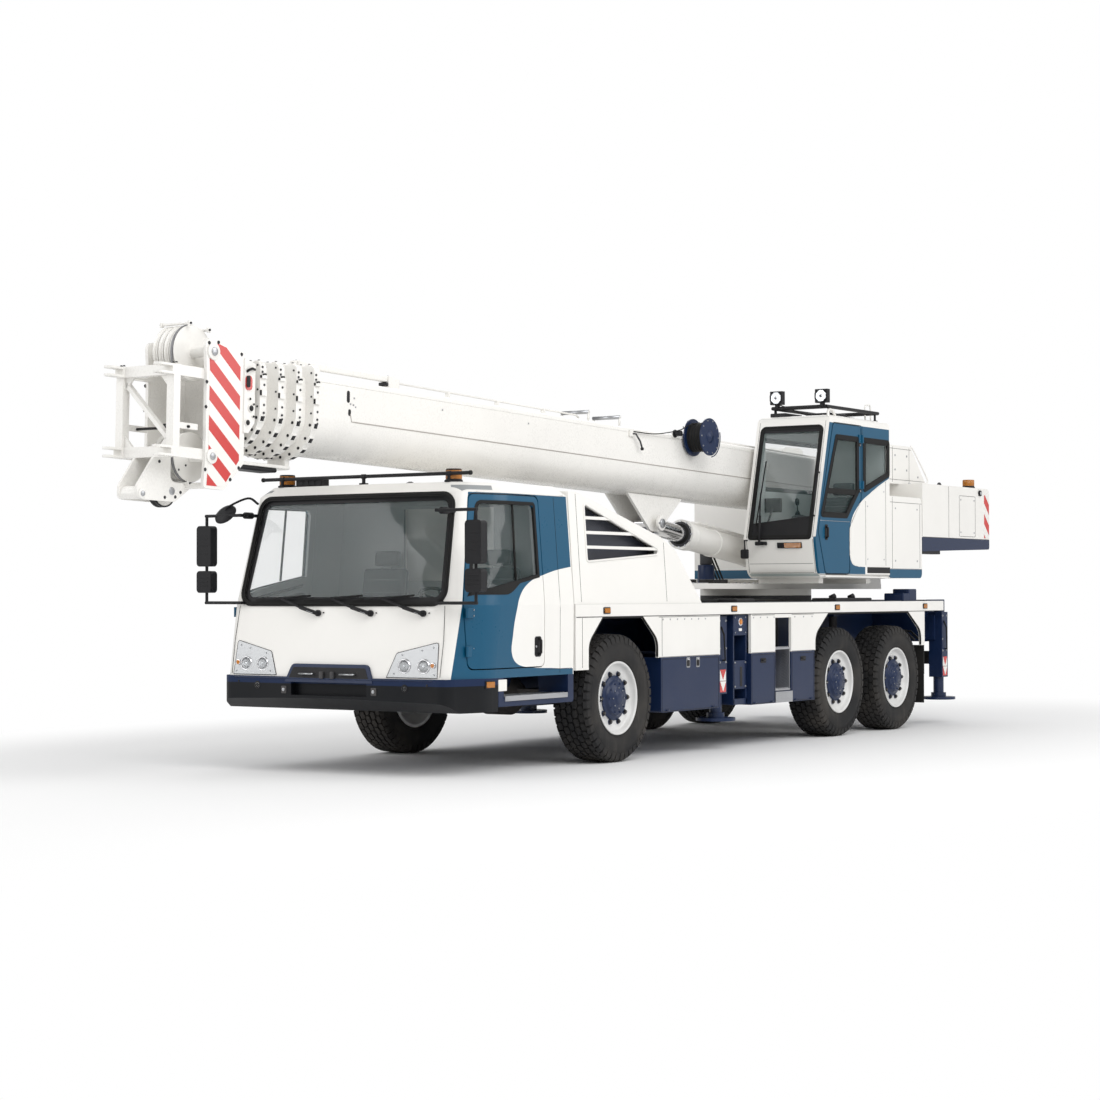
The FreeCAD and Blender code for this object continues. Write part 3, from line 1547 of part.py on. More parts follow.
def crane_cab():
    """The crane operator's cab with its openings, glass, door and seat."""
    outer = crane_cab_block("crane_outer", ZERO)
    inner = crane_cab_block("crane_inner", s.crane_cab_wall)
    walls = cut("crane_walls", outer, inner)
    wall_in, wall_out = s.crane_cab_outer - s.crane_cab_wall, s.crane_cab_outer
    opening = pad("crane_door_opening", "XZ", crane_door_outline(s.crane_door_gap), wall_in, wall_out)
    edge, bend = s.crane_glass_edge, s.crane_glass_round
    screen = pad("crane_screen", "YZ", (
        (s.crane_cab_inner + edge, s.crane_glass_low, bend),
        (s.crane_cab_outer - edge, s.crane_glass_low, bend),
        (s.crane_cab_outer - edge, s.crane_glass_top, bend),
        (s.crane_cab_inner + edge, s.crane_glass_top, bend),
    ), fore(s.crane_door_front_top), fore(s.crane_cab_front))
    side = pad("crane_side_window", "XZ", (
        (aft(s.crane_rear_window_rear), s.crane_rear_window_corner),
        (aft(s.crane_rear_window_front), s.crane_rear_window_low),
        (aft(s.crane_rear_window_front), s.crane_window_top),
        (aft(s.crane_rear_window_rear), s.crane_window_top),
    ), wall_in, wall_out)
    boom_side = pad("crane_boom_window", "XZ", (
        (aft(s.crane_rear_window_rear), s.crane_rear_window_low),
        (fore(s.crane_door_front_top), s.crane_rear_window_low),
        (fore(s.crane_door_front_top), s.crane_window_top),
        (aft(s.crane_rear_window_rear), s.crane_window_top),
    ), s.crane_cab_inner, s.crane_cab_inner + s.crane_cab_wall)
    windows = fuse("crane_windows", screen, side, boom_side)
    node("crane_cab", cut("crane_open", walls, opening, windows))
    half_wall, half_pane = s.crane_cab_wall / 2, s.crane_glass / 2
    shell = cut("crane_glass_shell", crane_cab_block("crane_glass_outer", half_wall - half_pane),
                crane_cab_block("crane_glass_inner", half_wall + half_pane))
    node("crane_cab_glass", common("crane_panes", shell, windows))
    frame_edge = s.crane_window_edge
    window = pad("crane_door_window", "XZ", (
        (fore(s.crane_door_heel) + frame_edge, s.crane_window_low),
        (fore(s.crane_door_front_mid) - frame_edge, s.crane_window_low),
        (fore(s.crane_door_front_top) - frame_edge, s.crane_window_top),
        (aft(s.crane_door_rear) + frame_edge, s.crane_window_top),
        (aft(s.crane_door_rear) + frame_edge, s.crane_door_waist + frame_edge),
    ), wall_in, wall_out)
    leaf = common("crane_door_leaf", walls, pad(
        "crane_door_prism", "XZ", crane_door_outline(ZERO), wall_in, wall_out))
    hinge_x, hinge_y = aft(s.crane_hinge_back), s.crane_cab_outer + s.crane_hinge_out
    hinges = []
    for level, low in (("low", s.crane_hinge_low), ("high", s.crane_hinge_high)):
        high = low + s.hinge_length
        hinges.append(rod(f"crane_hinge_{level}", "Z", (hinge_x, hinge_y, 0), s.hinge_radius, low, high))
        hinges.append(box(f"crane_hinge_leaf_{level}", (hinge_x, hinge_x + s.crane_hinge_leaf),
                          (s.crane_cab_outer, s.crane_cab_outer + s.crane_hinge_thick), (low, high)))
    node("crane_cab_door", fuse("crane_door_hung", cut("crane_door_cut", leaf, window), *hinges))
    floor = s.crane_cab_low + s.crane_cab_wall
    middle = (s.crane_cab_inner + s.crane_cab_outer) / 2
    chair = seat("crane_seat", aft(s.crane_seat_place), middle, floor)
    half = s.seat_width / 2
    consoles = [
        box(
            f"crane_console_{side}",
            (aft(s.crane_seat_place), aft(s.crane_seat_place) + s.seat_length),
            (low, low + s.console_width),
            (floor, floor + s.seat_height + s.console_height),
        )
        for side, low in (("left", middle + half), ("right", middle - half - s.console_width))
    ]
    node("crane_cab_seat", fuse("crane_furniture", chair, *consoles))


def housings():
    """The closed housings behind the cab and across from it, and the two hoods above them."""
    bend = s.housing_round
    side = pad("side_housing", "XZ", (
        (aft(s.housing_rear), s.housing_low, bend),
        (aft(s.crane_cab_rear), s.housing_low),
        (aft(s.crane_cab_rear), s.housing_top),
        (aft(s.housing_rear), s.housing_top, bend),
    ), s.cheek_outer, s.crane_cab_outer)
    hood = pad("rear_hood", "XZ", (
        (aft(s.hood_rear), s.weight_top),
        (aft(s.hood_front), s.weight_top),
        (aft(s.hood_front), s.hood_top, s.hood_round),
        (aft(s.hood_rear_top), s.hood_top, s.hood_round),
    ), s.cheek_outer, s.hood_outer)
    left = group("housings_left", side, hood)
    node("housings", group("housings_all", left, mirror("housings_right", left)))


def counterweight():
    """The counterweight slab, open in the middle for the boom's foot and the winch."""
    bend = s.weight_round
    slab_piece = pad("weight_block", "XZ", (
        (aft(s.weight_rear), s.weight_tail_low, bend / 2),
        (aft(s.weight_front), s.weight_low),
        (aft(s.weight_front), s.weight_top),
        (aft(s.weight_rear), s.weight_top, bend),
    ), -s.weight_half, s.weight_half)
    notch = box(
        "weight_notch_block",
        (aft(s.weight_notch), aft(s.weight_front)),
        (-s.cheek_outer, s.cheek_outer),
        (s.weight_low, s.weight_top),
    )
    node("counterweight", cut("weight_cut", slab_piece, notch))


def winch():
    """The hoist winch between the arms of the counterweight."""
    place = (aft(s.winch_back), 0, s.winch_height)
    half, flange = s.winch_half, s.winch_flange_thick
    drum = rod("winch_drum", "Y", place, s.winch_radius, -half, half)
    cheeks = both_sides("winch_flanges", rod(
        "winch_flange_left", "Y", place, s.winch_flange, half, half + flange))
    shaft = rod("winch_shaft", "Y", place, s.pivot_radius, -s.cheek_outer, s.cheek_outer)
    node("winch", fuse("winch_whole", drum, cheeks, shaft))


def upper_fittings():
    """The guard bars and work lamps over the crane cab, and the lamp on the tail."""
    height = s.crane_cab_top + s.roof_bar_rise
    pipe = s.roof_bar_pipe
    front, rear = fore(s.roof_bar_front), aft(s.roof_bar_rear)
    inner, outer = s.crane_cab_inner + s.lamp_size, s.crane_cab_outer - s.lamp_size / 2
    bars, ends = [], []
    for side, y in (("inner", inner), ("outer", outer)):
        bars.append(rod(f"roof_bar_{side}", "X", (0, y, height), pipe, rear, front))
        for end, x in (("front", front - pipe * 4), ("rear", rear + pipe * 4)):
            bars.append(rod(f"roof_post_{side}_{end}", "Z", (x, y, 0), pipe / 2, s.crane_cab_top, height))
    for end, x in (("front", front), ("rear", rear)):
        ends.append(rod(f"roof_cross_{end}", "Y", (x, 0, height), pipe, inner, outer))
    lamps = []
    for side, y in (("inner", s.lamp_in), ("outer", s.lamp_out)):
        stem_top = height + pipe * 2
        lamps.append(rod(f"lamp_stem_{side}", "Z", (front, y, 0), pipe / 2, height, stem_top))
        lamps.append(box(
            f"lamp_{side}",
            (front - s.lamp_depth / 2, front + s.lamp_depth / 2),
            (y - s.lamp_size / 2, y + s.lamp_size / 2),
            (stem_top, stem_top + s.lamp_size),
        ))
    tail = rod("tail_beacon", "Z", (aft(s.weight_rear) + s.lamp_size * 2, s.weight_half - s.lamp_size, 0),
               s.beacon_radius, s.weight_top, s.weight_top + s.beacon_rise)
    node("upper_fittings", group(
        "upper_fittings_all", fuse("roof_guard", *bars, *ends, *lamps), tail))


# boom, drawn along X with its pivot at the origin
def on_boom(label, piece):
    """Set a piece that is drawn about the boom's pivot in its resting place."""
    placed = group(f"{label}_set", piece)
    placed.Placement.Rotation = FreeCAD.Rotation(FreeCAD.Vector(0, -1, 0), s.boom_pitch.value)
    placed.setExpression(".Placement.Rotation.Angle", s.boom_pitch.text)
    return node(label, put(placed, PIVOT[0], 0, PIVOT[1]))


def boom_outline(half, top, deep):
    """A boom section: flat top and sides over a rounded trough."""
    trough = half - s.boom_flat
    return (
        (-half, -deep, trough),
        (half, -deep, trough),
        (half, top, s.boom_crown),
        (-half, top, s.boom_crown),
    )


def section_outline(step, inset):
    """The outline of telescopic section number step, shrunk by inset."""
    less = s.boom_step * step + inset
    return boom_outline(s.boom_half - less, s.boom_top - less, s.boom_deep - less)


def collar_piece(step, face):
    """The collar on the front of a section, close round the section that slides in it."""
    less = s.collar_shrink * step
    grow = s.collar_grow - less
    outline = boom_outline(s.boom_half + grow, s.boom_top + grow, s.boom_deep + grow)
    bore = section_outline(step + 1, -s.fit_gap)
    ring = pad(f"collar_{step}_ring", "YZ", outline, face - s.collar, face, holes=(bore,))
    return ring


def boom_sections():
    """The base section and the four that slide out of it, each with its collar."""
    for step in range(5):
        last = step == 4
        tail = s.boom_inner_tail + s.boom_tail_step * step if step else -s.boom_tail
        face = s.head_start if last else s.boom_front + s.collar_pitch * step
        tube = pad(
            f"section_{step}_tube", "YZ", section_outline(step, 0),
            tail, face if last else face - s.collar,
            holes=(section_outline(step, s.boom_wall),),
        )
        if last:
            bulkhead = pad("section_bulkhead", "YZ", section_outline(step, s.boom_wall),
                           tail, tail + s.boom_wall)
            on_boom(f"boom_section_{step}", fuse(f"section_{step}_welded", tube, bulkhead))
            continue
        collar = collar_piece(step, face)
        if step:
            on_boom(f"boom_section_{step}", fuse(f"section_{step}_welded", tube, collar))
            continue
        wedge = pad("tail_wedge", "XZ", (
            (tail, -s.boom_deep),
            (tail / 3, -s.boom_deep),
            (tail, -s.boom_deep / 2),
        ), -s.boom_half, s.boom_half)
        trimmed = cut("section_0_trimmed", tube, wedge)
        on_boom("boom_base", fuse("boom_base_welded", trimmed, collar, *boom_foot()))


def boom_foot():
    """The pivot pin with its bosses, and the lift cylinder's bracket with its pin."""
    pin = rod("pivot_pin", "Y", (0, 0, 0), s.pivot_radius, -s.cheek_outer, s.cheek_outer)
    boss = rod("pivot_boss", "Y", (0, 0, 0), s.pivot_radius * 2, s.boom_half,
               s.cheek_inner - s.free_gap)
    centre = (s.eye_place, 0, -s.eye_drop)
    drop = s.eye_drop - s.boom_deep
    plate = pad("eye_bracket", "XZ", (
        (s.eye_place - s.eye_radius, -s.eye_drop - s.eye_radius, s.eye_round),
        (s.eye_place + s.eye_radius, -s.eye_drop - s.eye_radius, s.eye_round),
        (s.eye_place + drop * 2, s.boom_wall - s.boom_deep),
        (s.eye_place - drop * 2, s.boom_wall - s.boom_deep),
    ), s.eye_half - s.eye_plate, s.eye_half)
    eye_pin = rod("eye_pin", "Y", centre, s.eye_pin, -s.eye_half, s.eye_half)
    return [pin, both_sides("pivot_bosses", boss), both_sides("eye_brackets", plate), eye_pin]


def boom_head():
    """The head's side plates on the last section, and the nose with its rope sheave."""
    half = s.head_half
    base = pad("head_base", "YZ", (
        (-half, -s.jib_low),
        (half, -s.jib_low),
        (half, s.head_top),
        (-half, s.head_top),
    ), s.head_start, s.head_start + s.head_plate)
    pins = tuple(
        (s.sheave_place, height, s.sheave_pin + s.fit_gap) for height in (s.sheave_high, -s.sheave_low))
    side = pad("head_side", "XZ", (
        (s.head_start, -s.jib_low),
        (s.head_toe_back, -s.head_low, s.sheave_pin),
        (s.head_toe_front, -s.head_low, s.sheave_pin),
        (s.head_front, -s.jib_low),
        (s.head_front, s.jib_top),
        (s.head_toe_front, s.head_crown, s.head_crown_round),
        (s.head_crown_back, s.head_crown, s.head_crown_round),
        (s.head_start, s.head_top),
    ), half - s.head_plate, half, rings=pins)
    web = pad("nose_web", "XZ", (
        (s.nose_back, -s.head_low),
        (s.nose_rear, -s.nose_low, s.nose_round),
        (s.nose_front, -s.nose_low, s.nose_round),
        (s.nose_front, -s.nose_low + s.nose_half, s.nose_round / 2),
        (JIB_FACE, -s.jib_low),
        (s.nose_neck, -s.jib_low),
        (s.nose_neck, -s.nose_shelf, s.nose_round),
        (s.nose_back, -s.nose_shelf),
    ), s.nose_half - s.nose_plate, s.nose_half,
        rings=((s.aux_place, -s.aux_height, s.sheave_pin / 2 + s.fit_gap),))
    toe_bar = rod("toe_bar", "Y", (s.toe_bar_place, 0, s.toe_bar - s.head_low), s.toe_bar, -half, half)
    nose_bar = rod("nose_bar", "Y", (s.nose_front - s.nose_round, 0, s.nose_round - s.nose_low),
                   s.nose_bar, -s.nose_half, s.nose_half)
    top_plate = box("nose_top", (s.nose_neck, s.jib_place), (-s.nose_half, s.nose_half),
                    (-s.jib_low, s.nose_plate - s.jib_low))
    on_boom("boom_head", fuse(
        "head_welded", base, both_sides("head_sides", side),
        both_sides("nose_webs", web), toe_bar, nose_bar, top_plate,
    ))


# each level of the jib frame: name, underside of its beam, bore of its lugs
JIB_LEVELS = (
    ("upper", s.jib_top - s.jib_beam, s.lug_bore),
    ("lower", -s.jib_low, s.lug_low_bore),
)
JIB_FACE = s.jib_place + s.jib_post


def jib_frame():
    """The welded frame in front of the head that carries the folding jib's lugs."""
    post = box("jib_post_left", (s.jib_place, JIB_FACE), (s.jib_half - s.jib_post, s.jib_half),
               (-s.jib_low, s.jib_top))
    brace = pad("jib_brace_bar", "YZ", (
        (-s.jib_half, s.jib_top - s.jib_beam),
        (-s.jib_half + s.jib_brace, s.jib_top - s.jib_beam),
        (s.jib_half, s.jib_beam - s.jib_low),
        (s.jib_half - s.jib_brace, s.jib_beam - s.jib_low),
    ), s.jib_place, s.jib_place + s.jib_brace)
    beams, arms = [], []
    inner = s.head_half - s.head_plate
    for level, low, _bore in JIB_LEVELS:
        high = low + s.jib_beam
        beams.append(box(
            f"jib_beam_{level}", (s.jib_place, JIB_FACE), (-s.jib_half, s.jib_half), (low, high)))
        arms.append(box(
            f"jib_arm_{level}",
            (s.head_front - s.nose_plate, s.jib_place),
            (inner - s.jib_arm, inner),
            (low, high),
        ))
    on_boom("jib_frame", fuse(
        "jib_frame_welded", *beams, brace, both_sides("jib_sides", fuse("jib_left", post, *arms))))


def jib_lugs():
    """The four forked lugs on the corners of the jib frame, bored for upright pins."""
    middle_y = s.jib_half - s.lug_radius
    right, left = middle_y - s.lug_radius, middle_y + s.lug_radius
    tip = JIB_FACE + s.lug_reach
    lugs = []
    for level, low, bore in JIB_LEVELS:
        middle = low + s.jib_beam / 2
        reach = s.lug_gap / 2 + s.lug_thick
        pieces = [box(f"lug_{level}_foot", (JIB_FACE, JIB_FACE + s.lug_foot), (right, left),
                      (middle - reach, middle + reach))]
        for leaf, start in (("high", middle + s.lug_gap / 2), ("low", middle - reach)):
            pieces.append(pad(f"lug_{level}_{leaf}", "XY", (
                (JIB_FACE, right),
                (tip + s.lug_radius, right, s.lug_round),
                (tip + s.lug_radius, left, s.lug_round),
                (JIB_FACE, left),
            ), start, start + s.lug_thick, rings=((tip, middle_y, bore),)))
        lugs.append(both_sides(f"lugs_{level}", fuse(f"lug_{level}", *pieces)))
    on_boom("jib_lugs", group("jib_lug_set", *lugs))


def sheave(name, place, height, y, radius, width):
    """A grooved rope sheave centred on its pin."""
    groove = s.sheave_groove
    half = width / 2
    wheel = turn(f"{name}_turned", "YZ", (
        (-half, 0),
        (half, 0),
        (half, radius),
        (half - groove / 3, radius),
        (groove / 6, radius - groove),
        (-groove / 6, radius - groove),
        (groove / 3 - half, radius),
        (-half, radius),
    ), "Y")
    return copy_at(name, wheel, place, y, height)


def head_sheaves():
    """The upper and lower rows of rope sheaves on their pins, and the nose sheave."""
    pitch = s.sheave_width + s.sheave_gap
    rows = []
    for level, height, radius in (
        ("upper", s.sheave_high, s.sheave_radius),
        ("lower", -s.sheave_low, s.sheave_low_radius),
    ):
        pieces = [rod(f"sheave_pin_{level}", "Y", (s.sheave_place, 0, height), s.sheave_pin,
                      -s.head_half, s.head_half)]
        for index in range(4):
            pieces.append(sheave(
                f"sheave_{level}_{index}", s.sheave_place, height, pitch * (index - 1.5),
                radius, s.sheave_width))
        rows.append(fuse(f"sheaves_{level}", *pieces))
    height = -s.aux_height
    nose = fuse(
        "nose_sheave",
        rod("nose_pin", "Y", (s.aux_place, 0, height), s.sheave_pin / 2, -s.nose_half, s.nose_half),
        sheave("aux_sheave", s.aux_place, height, 0, s.aux_radius, s.aux_width),
    )
    on_boom("head_sheaves", group("head_sheave_rows", *rows, nose))


def cable_reel():
    """The flanged cable reel on the left side of the boom."""
    start = s.boom_half
    flange, width = s.reel_flange, s.reel_width
    place = (s.reel_place, 0, s.reel_height)
    foot = start + flange * 2
    on_boom("cable_reel", fuse(
        "reel_whole",
        rod("reel_hub", "Y", place, s.reel_hub / 2, start, foot),
        rod("reel_drum", "Y", place, s.reel_hub, foot, foot + width),
        rod("reel_flange_inner", "Y", place, s.reel_radius, foot, foot + flange),
        rod("reel_flange_outer", "Y", place, s.reel_radius, foot + width, foot + width + flange),
    ))


# lift cylinder, drawn along X with its foot pin at the origin
def lift_cylinder():
    """The barrel on the turntable and the rod under the boom, short of the rod's pin."""
    run = (
        s.eye_place * cosine(s.boom_pitch) + s.eye_drop * sine(s.boom_pitch)
        + PIVOT[0] - FOOT[0]
    )
    rise = (
        s.eye_place * sine(s.boom_pitch) - s.eye_drop * cosine(s.boom_pitch)
        + PIVOT[1] - FOOT[1]
    )
    reach = root(run * run + rise * rise)
    slope = arctangent(rise / run)

    def on_cylinder(label, piece):
        placed = group(f"{label}_set", piece)
        placed.Placement.Rotation = FreeCAD.Rotation(FreeCAD.Vector(0, -1, 0), slope.value)
        placed.setExpression(".Placement.Rotation.Angle", slope.text)
        node(label, put(placed, FOOT[0], 0, FOOT[1]))

    end = s.barrel_length
    half = s.rod_eye_width / 2
    gland = s.barrel_head_length / 2
    barrel = fuse(
        "barrel_whole",
        rod("barrel_eye", "Y", (0, 0, 0), s.rod_eye_radius, -half, half),
        rod("barrel_tube", "X", (0, 0, 0), s.barrel_radius, s.barrel_root, end),
        rod("barrel_collar", "X", (0, 0, 0), s.barrel_head, end - s.barrel_head_length, end),
    )
    hollow = cut(
        "barrel_cut", barrel,
        rod("barrel_pin_bore", "Y", (0, 0, 0), s.foot_radius + s.fit_gap, -half, half),
        rod("barrel_bore_tool", "X", (0, 0, 0), s.barrel_bore, s.rod_tail - gland, end - gland),
        rod("gland_bore_tool", "X", (0, 0, 0), s.rod_radius + s.fit_gap, end - gland, end),
    )
    on_cylinder("lift_barrel", hollow)
    clear = s.eye_pin + s.pin_clear
    cup = rod("rod_cup", "Y", (reach, 0, 0), s.rod_eye_radius, -half, half)
    shank = rod("rod_shank", "X", (0, 0, 0), s.rod_radius, s.rod_tail, reach - s.rod_neck_length)
    neck = rod("rod_neck", "X", (0, 0, 0), s.rod_neck, s.rod_tail, reach)
    open_top = box(
        "rod_cup_mouth",
        (reach - clear, reach + s.rod_eye_radius),
        (-half, half),
        (ZERO, s.rod_eye_radius),
    )
    bore = rod("rod_pin_bore", "Y", (reach, 0, 0), clear, -half, half)
    on_cylinder("lift_rod", cut("rod_cut", fuse("rod_whole", cup, shank, neck), open_top, bore))


running_gear()
frame()
for box_name, front_face in OUTRIGGERS:
    for side_name, side_sign in SIDES:
        outrigger(box_name, front_face, side_name, side_sign)
deck()
lockers()
mudguards()
slewing_ring()
cab_body = driver_cab()
cab_interior()
bumper()
cab_fittings(cab_body)
engine_cover()
turntable()
crane_cab()
housings()
counterweight()
winch()
upper_fittings()
boom_sections()
boom_head()
jib_frame()
jib_lugs()
head_sheaves()
cable_reel()
lift_cylinder()

doc.recompute()
failed = [obj.Name for obj in doc.Objects if "Invalid" in obj.State or "Error" in obj.State]
if failed:
    raise RuntimeError(f"features that did not build: {failed}")
os.makedirs("parts", exist_ok=True)
for part in NODES:
    shape = part.Shape
    if shape.isNull() or not shape.isValid() or not shape.Solids:
        raise RuntimeError(f"{part.Label} has no valid solid")
for part in NODES:
    part.Shape.exportStep(f"parts/{part.Label}.step")
print(f"{len(NODES)} parts written")
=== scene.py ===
"""Looks of a three-axle road crane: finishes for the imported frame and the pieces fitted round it.

Frame: +X is forward, +Y is the left side, +Z is up, in metres. Places along the carrier are
counted from the front axle and places on the upper works from the slewing axis.
"""
import logging
import math
from dataclasses import dataclass, field
from enum import Enum
from typing import Callable, Iterable, Sequence

import bmesh
import bpy
from mathutils import Matrix, Vector
from mathutils.geometry import interpolate_bezier


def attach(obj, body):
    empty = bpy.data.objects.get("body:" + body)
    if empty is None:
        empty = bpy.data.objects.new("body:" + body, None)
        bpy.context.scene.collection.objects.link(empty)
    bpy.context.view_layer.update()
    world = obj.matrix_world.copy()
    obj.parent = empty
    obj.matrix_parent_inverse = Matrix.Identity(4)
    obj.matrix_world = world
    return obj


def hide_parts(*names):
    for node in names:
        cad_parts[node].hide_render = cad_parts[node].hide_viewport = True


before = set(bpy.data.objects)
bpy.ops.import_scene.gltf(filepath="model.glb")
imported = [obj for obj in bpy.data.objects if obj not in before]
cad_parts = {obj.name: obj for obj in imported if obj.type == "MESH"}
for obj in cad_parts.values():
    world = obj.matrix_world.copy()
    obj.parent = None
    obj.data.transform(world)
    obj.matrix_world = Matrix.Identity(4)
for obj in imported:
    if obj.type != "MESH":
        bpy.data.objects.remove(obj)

LOG = logging.getLogger("crane")
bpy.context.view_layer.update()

FRONT_AXLE = 1.942
MIDDLE_AXLE = FRONT_AXLE - 4.630
REAR_AXLE = FRONT_AXLE - 6.103
SLEW = FRONT_AXLE - 5.200
PIVOT = Vector((SLEW - 1.700, 0.0, 3.050))
PITCH = math.radians(1.6)
WHEEL_HEIGHT = 0.600
WHEEL_TRACK = 1.180
AXLE_PLACES = {"front": FRONT_AXLE, "middle": MIDDLE_AXLE, "rear": REAR_AXLE}
SIDE_SIGNS = {"left": 1.0, "right": -1.0}

Point = Sequence[float]


class Plane(Enum):
    """The plane that an outline is drawn in: its two axes, then the one it is run along."""

    SIDE = (0, 2, 1)
    FRONT = (1, 2, 0)
    PLAN = (0, 1, 2)


class Along(Enum):
    """The axis that a turned piece stands on."""

    X = Vector((1.0, 0.0, 0.0))
    Y = Vector((0.0, 1.0, 0.0))
    Z = Vector((0.0, 0.0, 1.0))


def on_boom(u: float, w: float, y: float = 0.0) -> Vector:
    """A place on the boom at rest.

    Args:
        u: distance forward of the boom's pivot, along the boom.
        w: height over the pivot, square to the boom.
        y: distance to the left.

    Returns:
        The place in the row frame.
    """
    return PIVOT + Vector((
        u * math.cos(PITCH) - w * math.sin(PITCH), y, u * math.sin(PITCH) + w * math.cos(PITCH)))


BOOM_TURN = Matrix.Translation(PIVOT) @ Matrix.Rotation(-PITCH, 4, "Y")


# finishes
class Nodes:
    """Short calls for building a shader tree."""

    def __init__(self, tree: bpy.types.NodeTree) -> None:
        """Keep the tree that the calls build in."""
        self.tree = tree

    def add(self, kind: str, values: dict | None = None, **settings) -> bpy.types.Node:
        """Add a node.

        Args:
            kind: the node's type without its ShaderNode prefix.
            values: input name or index to a value, or to the socket that feeds it.
            settings: the node's own settings.

        Returns:
            The node.
        """
        node = self.tree.nodes.new("ShaderNode" + kind)
        for name, value in settings.items():
            setattr(node, name, value)
        for name, value in (values or {}).items():
            if isinstance(value, bpy.types.NodeSocket):
                self.tree.links.new(value, node.inputs[name])
            else:
                node.inputs[name].default_value = value
        return node

    def math(self, operation: str, *inputs, clamp: bool = False) -> bpy.types.NodeSocket:
        """A Math node's result for inputs that are numbers or sockets."""
        node = self.add("Math", dict(enumerate(inputs)), operation=operation, use_clamp=clamp)
        return node.outputs[0]

    def mix(self, factor, first, second) -> bpy.types.NodeSocket:
        """A colour mixed from two others by a factor."""
        node = self.add("Mix", data_type="RGBA", blend_type="MIX")
        for index, value in ((0, factor), (6, first), (7, second)):
            if isinstance(value, bpy.types.NodeSocket):
                self.tree.links.new(value, node.inputs[index])
            else:
                node.inputs[index].default_value = value
        return node.outputs[2]

    def ramp(self, factor, low: float, high: float) -> bpy.types.NodeSocket:
        """A value that rises smoothly from 0 at low to 1 at high."""
        node = self.add("MapRange", {0: factor, 1: low, 2: high, 3: 0.0, 4: 1.0},
                        interpolation_type="SMOOTHSTEP")
        return node.outputs[0]

    def group(self, tree: bpy.types.NodeTree, values: dict) -> bpy.types.Node:
        """A placed node group with its inputs set."""
        node = self.add("Group")
        node.node_tree = tree
        for name, value in values.items():
            if isinstance(value, bpy.types.NodeSocket):
                self.tree.links.new(value, node.inputs[name])
            else:
                node.inputs[name].default_value = value
        return node


def new_group(name: str, inputs: dict, outputs: dict) -> tuple[bpy.types.NodeTree, Nodes, dict, dict]:
    """Start a shader node group.

    Args:
        name: the group's name.
        inputs: socket name to its default value.
        outputs: socket name to its socket type.

    Returns:
        The tree, its short calls, its input sockets and the sockets to feed.
    """
    tree = bpy.data.node_groups.new(name, "ShaderNodeTree")
    for label, value in inputs.items():
        kind = "NodeSocketColor" if isinstance(value, tuple) else "NodeSocketFloat"
        socket = tree.interface.new_socket(name=label, in_out="INPUT", socket_type=kind)
        socket.default_value = value
    for label, kind in outputs.items():
        tree.interface.new_socket(name=label, in_out="OUTPUT", socket_type=kind)
    calls = Nodes(tree)
    entry, leave = tree.nodes.new("NodeGroupInput"), tree.nodes.new("NodeGroupOutput")
    return tree, calls, {k: entry.outputs[k] for k in inputs}, {k: leave.inputs[k] for k in outputs}


def make_grime() -> bpy.types.NodeTree:
    """Road dust that thickens towards the ground, with blotches and faint runs."""
    tree, n, given, out = new_group(
        "road_grime", {"Amount": 0.3, "Height": 1.6}, {"Mask": "NodeSocketFloat"})
    place = n.add("TexCoord").outputs["Object"]
    height = n.add("SeparateXYZ", {0: place}).outputs[2]
    rise = n.math("SUBTRACT", 1.0, n.math("DIVIDE", height, given["Height"]), clamp=True)
    cloud = n.add("TexNoise", {"Vector": place, "Scale": 2.3, "Detail": 3.0, "Roughness": 0.5})
    stretch = n.add("Mapping", {"Vector": place, "Scale": (14.0, 14.0, 0.8)})
    runs = n.add("TexNoise", {"Vector": stretch.outputs[0], "Scale": 1.0, "Detail": 3.0})
    patches = n.ramp(cloud.outputs[0], 0.35, 0.75)
    streaks = n.ramp(runs.outputs[0], 0.52, 0.8)
    both = n.math("ADD", n.math("MULTIPLY", patches, 0.7), n.math("MULTIPLY", streaks, 0.3))
    low = n.math("ADD", 0.12, n.math("MULTIPLY", rise, 0.88))
    mask = n.math("MULTIPLY", n.math("MULTIPLY", both, low), given["Amount"], clamp=True)
    tree.links.new(mask, out["Mask"])
    return tree


def make_wear() -> bpy.types.NodeTree:
    """Where edges are rubbed: the surface's own turn seen over a small radius."""
    tree, n, given, out = new_group(
        "edge_wear", {"Radius": 0.006, "Amount": 0.5}, {"Mask": "NodeSocketFloat"})
    soft = n.add("Bevel", {"Radius": given["Radius"]}, samples=4)
    flat = n.add("NewGeometry").outputs["Normal"]
    same = n.add("VectorMath", {0: soft.outputs[0], 1: flat}, operation="DOT_PRODUCT")
    edge = n.ramp(n.math("SUBTRACT", 1.0, same.outputs["Value"]), 0.02, 0.2)
    place = n.add("TexCoord").outputs["Object"]
    chips = n.add("TexNoise", {"Vector": place, "Scale": 38.0, "Detail": 4.0})
    broken = n.math("MULTIPLY", edge, n.ramp(chips.outputs[0], 0.45, 0.62))
    tree.links.new(n.math("MULTIPLY", broken, given["Amount"], clamp=True), out["Mask"])
    return tree


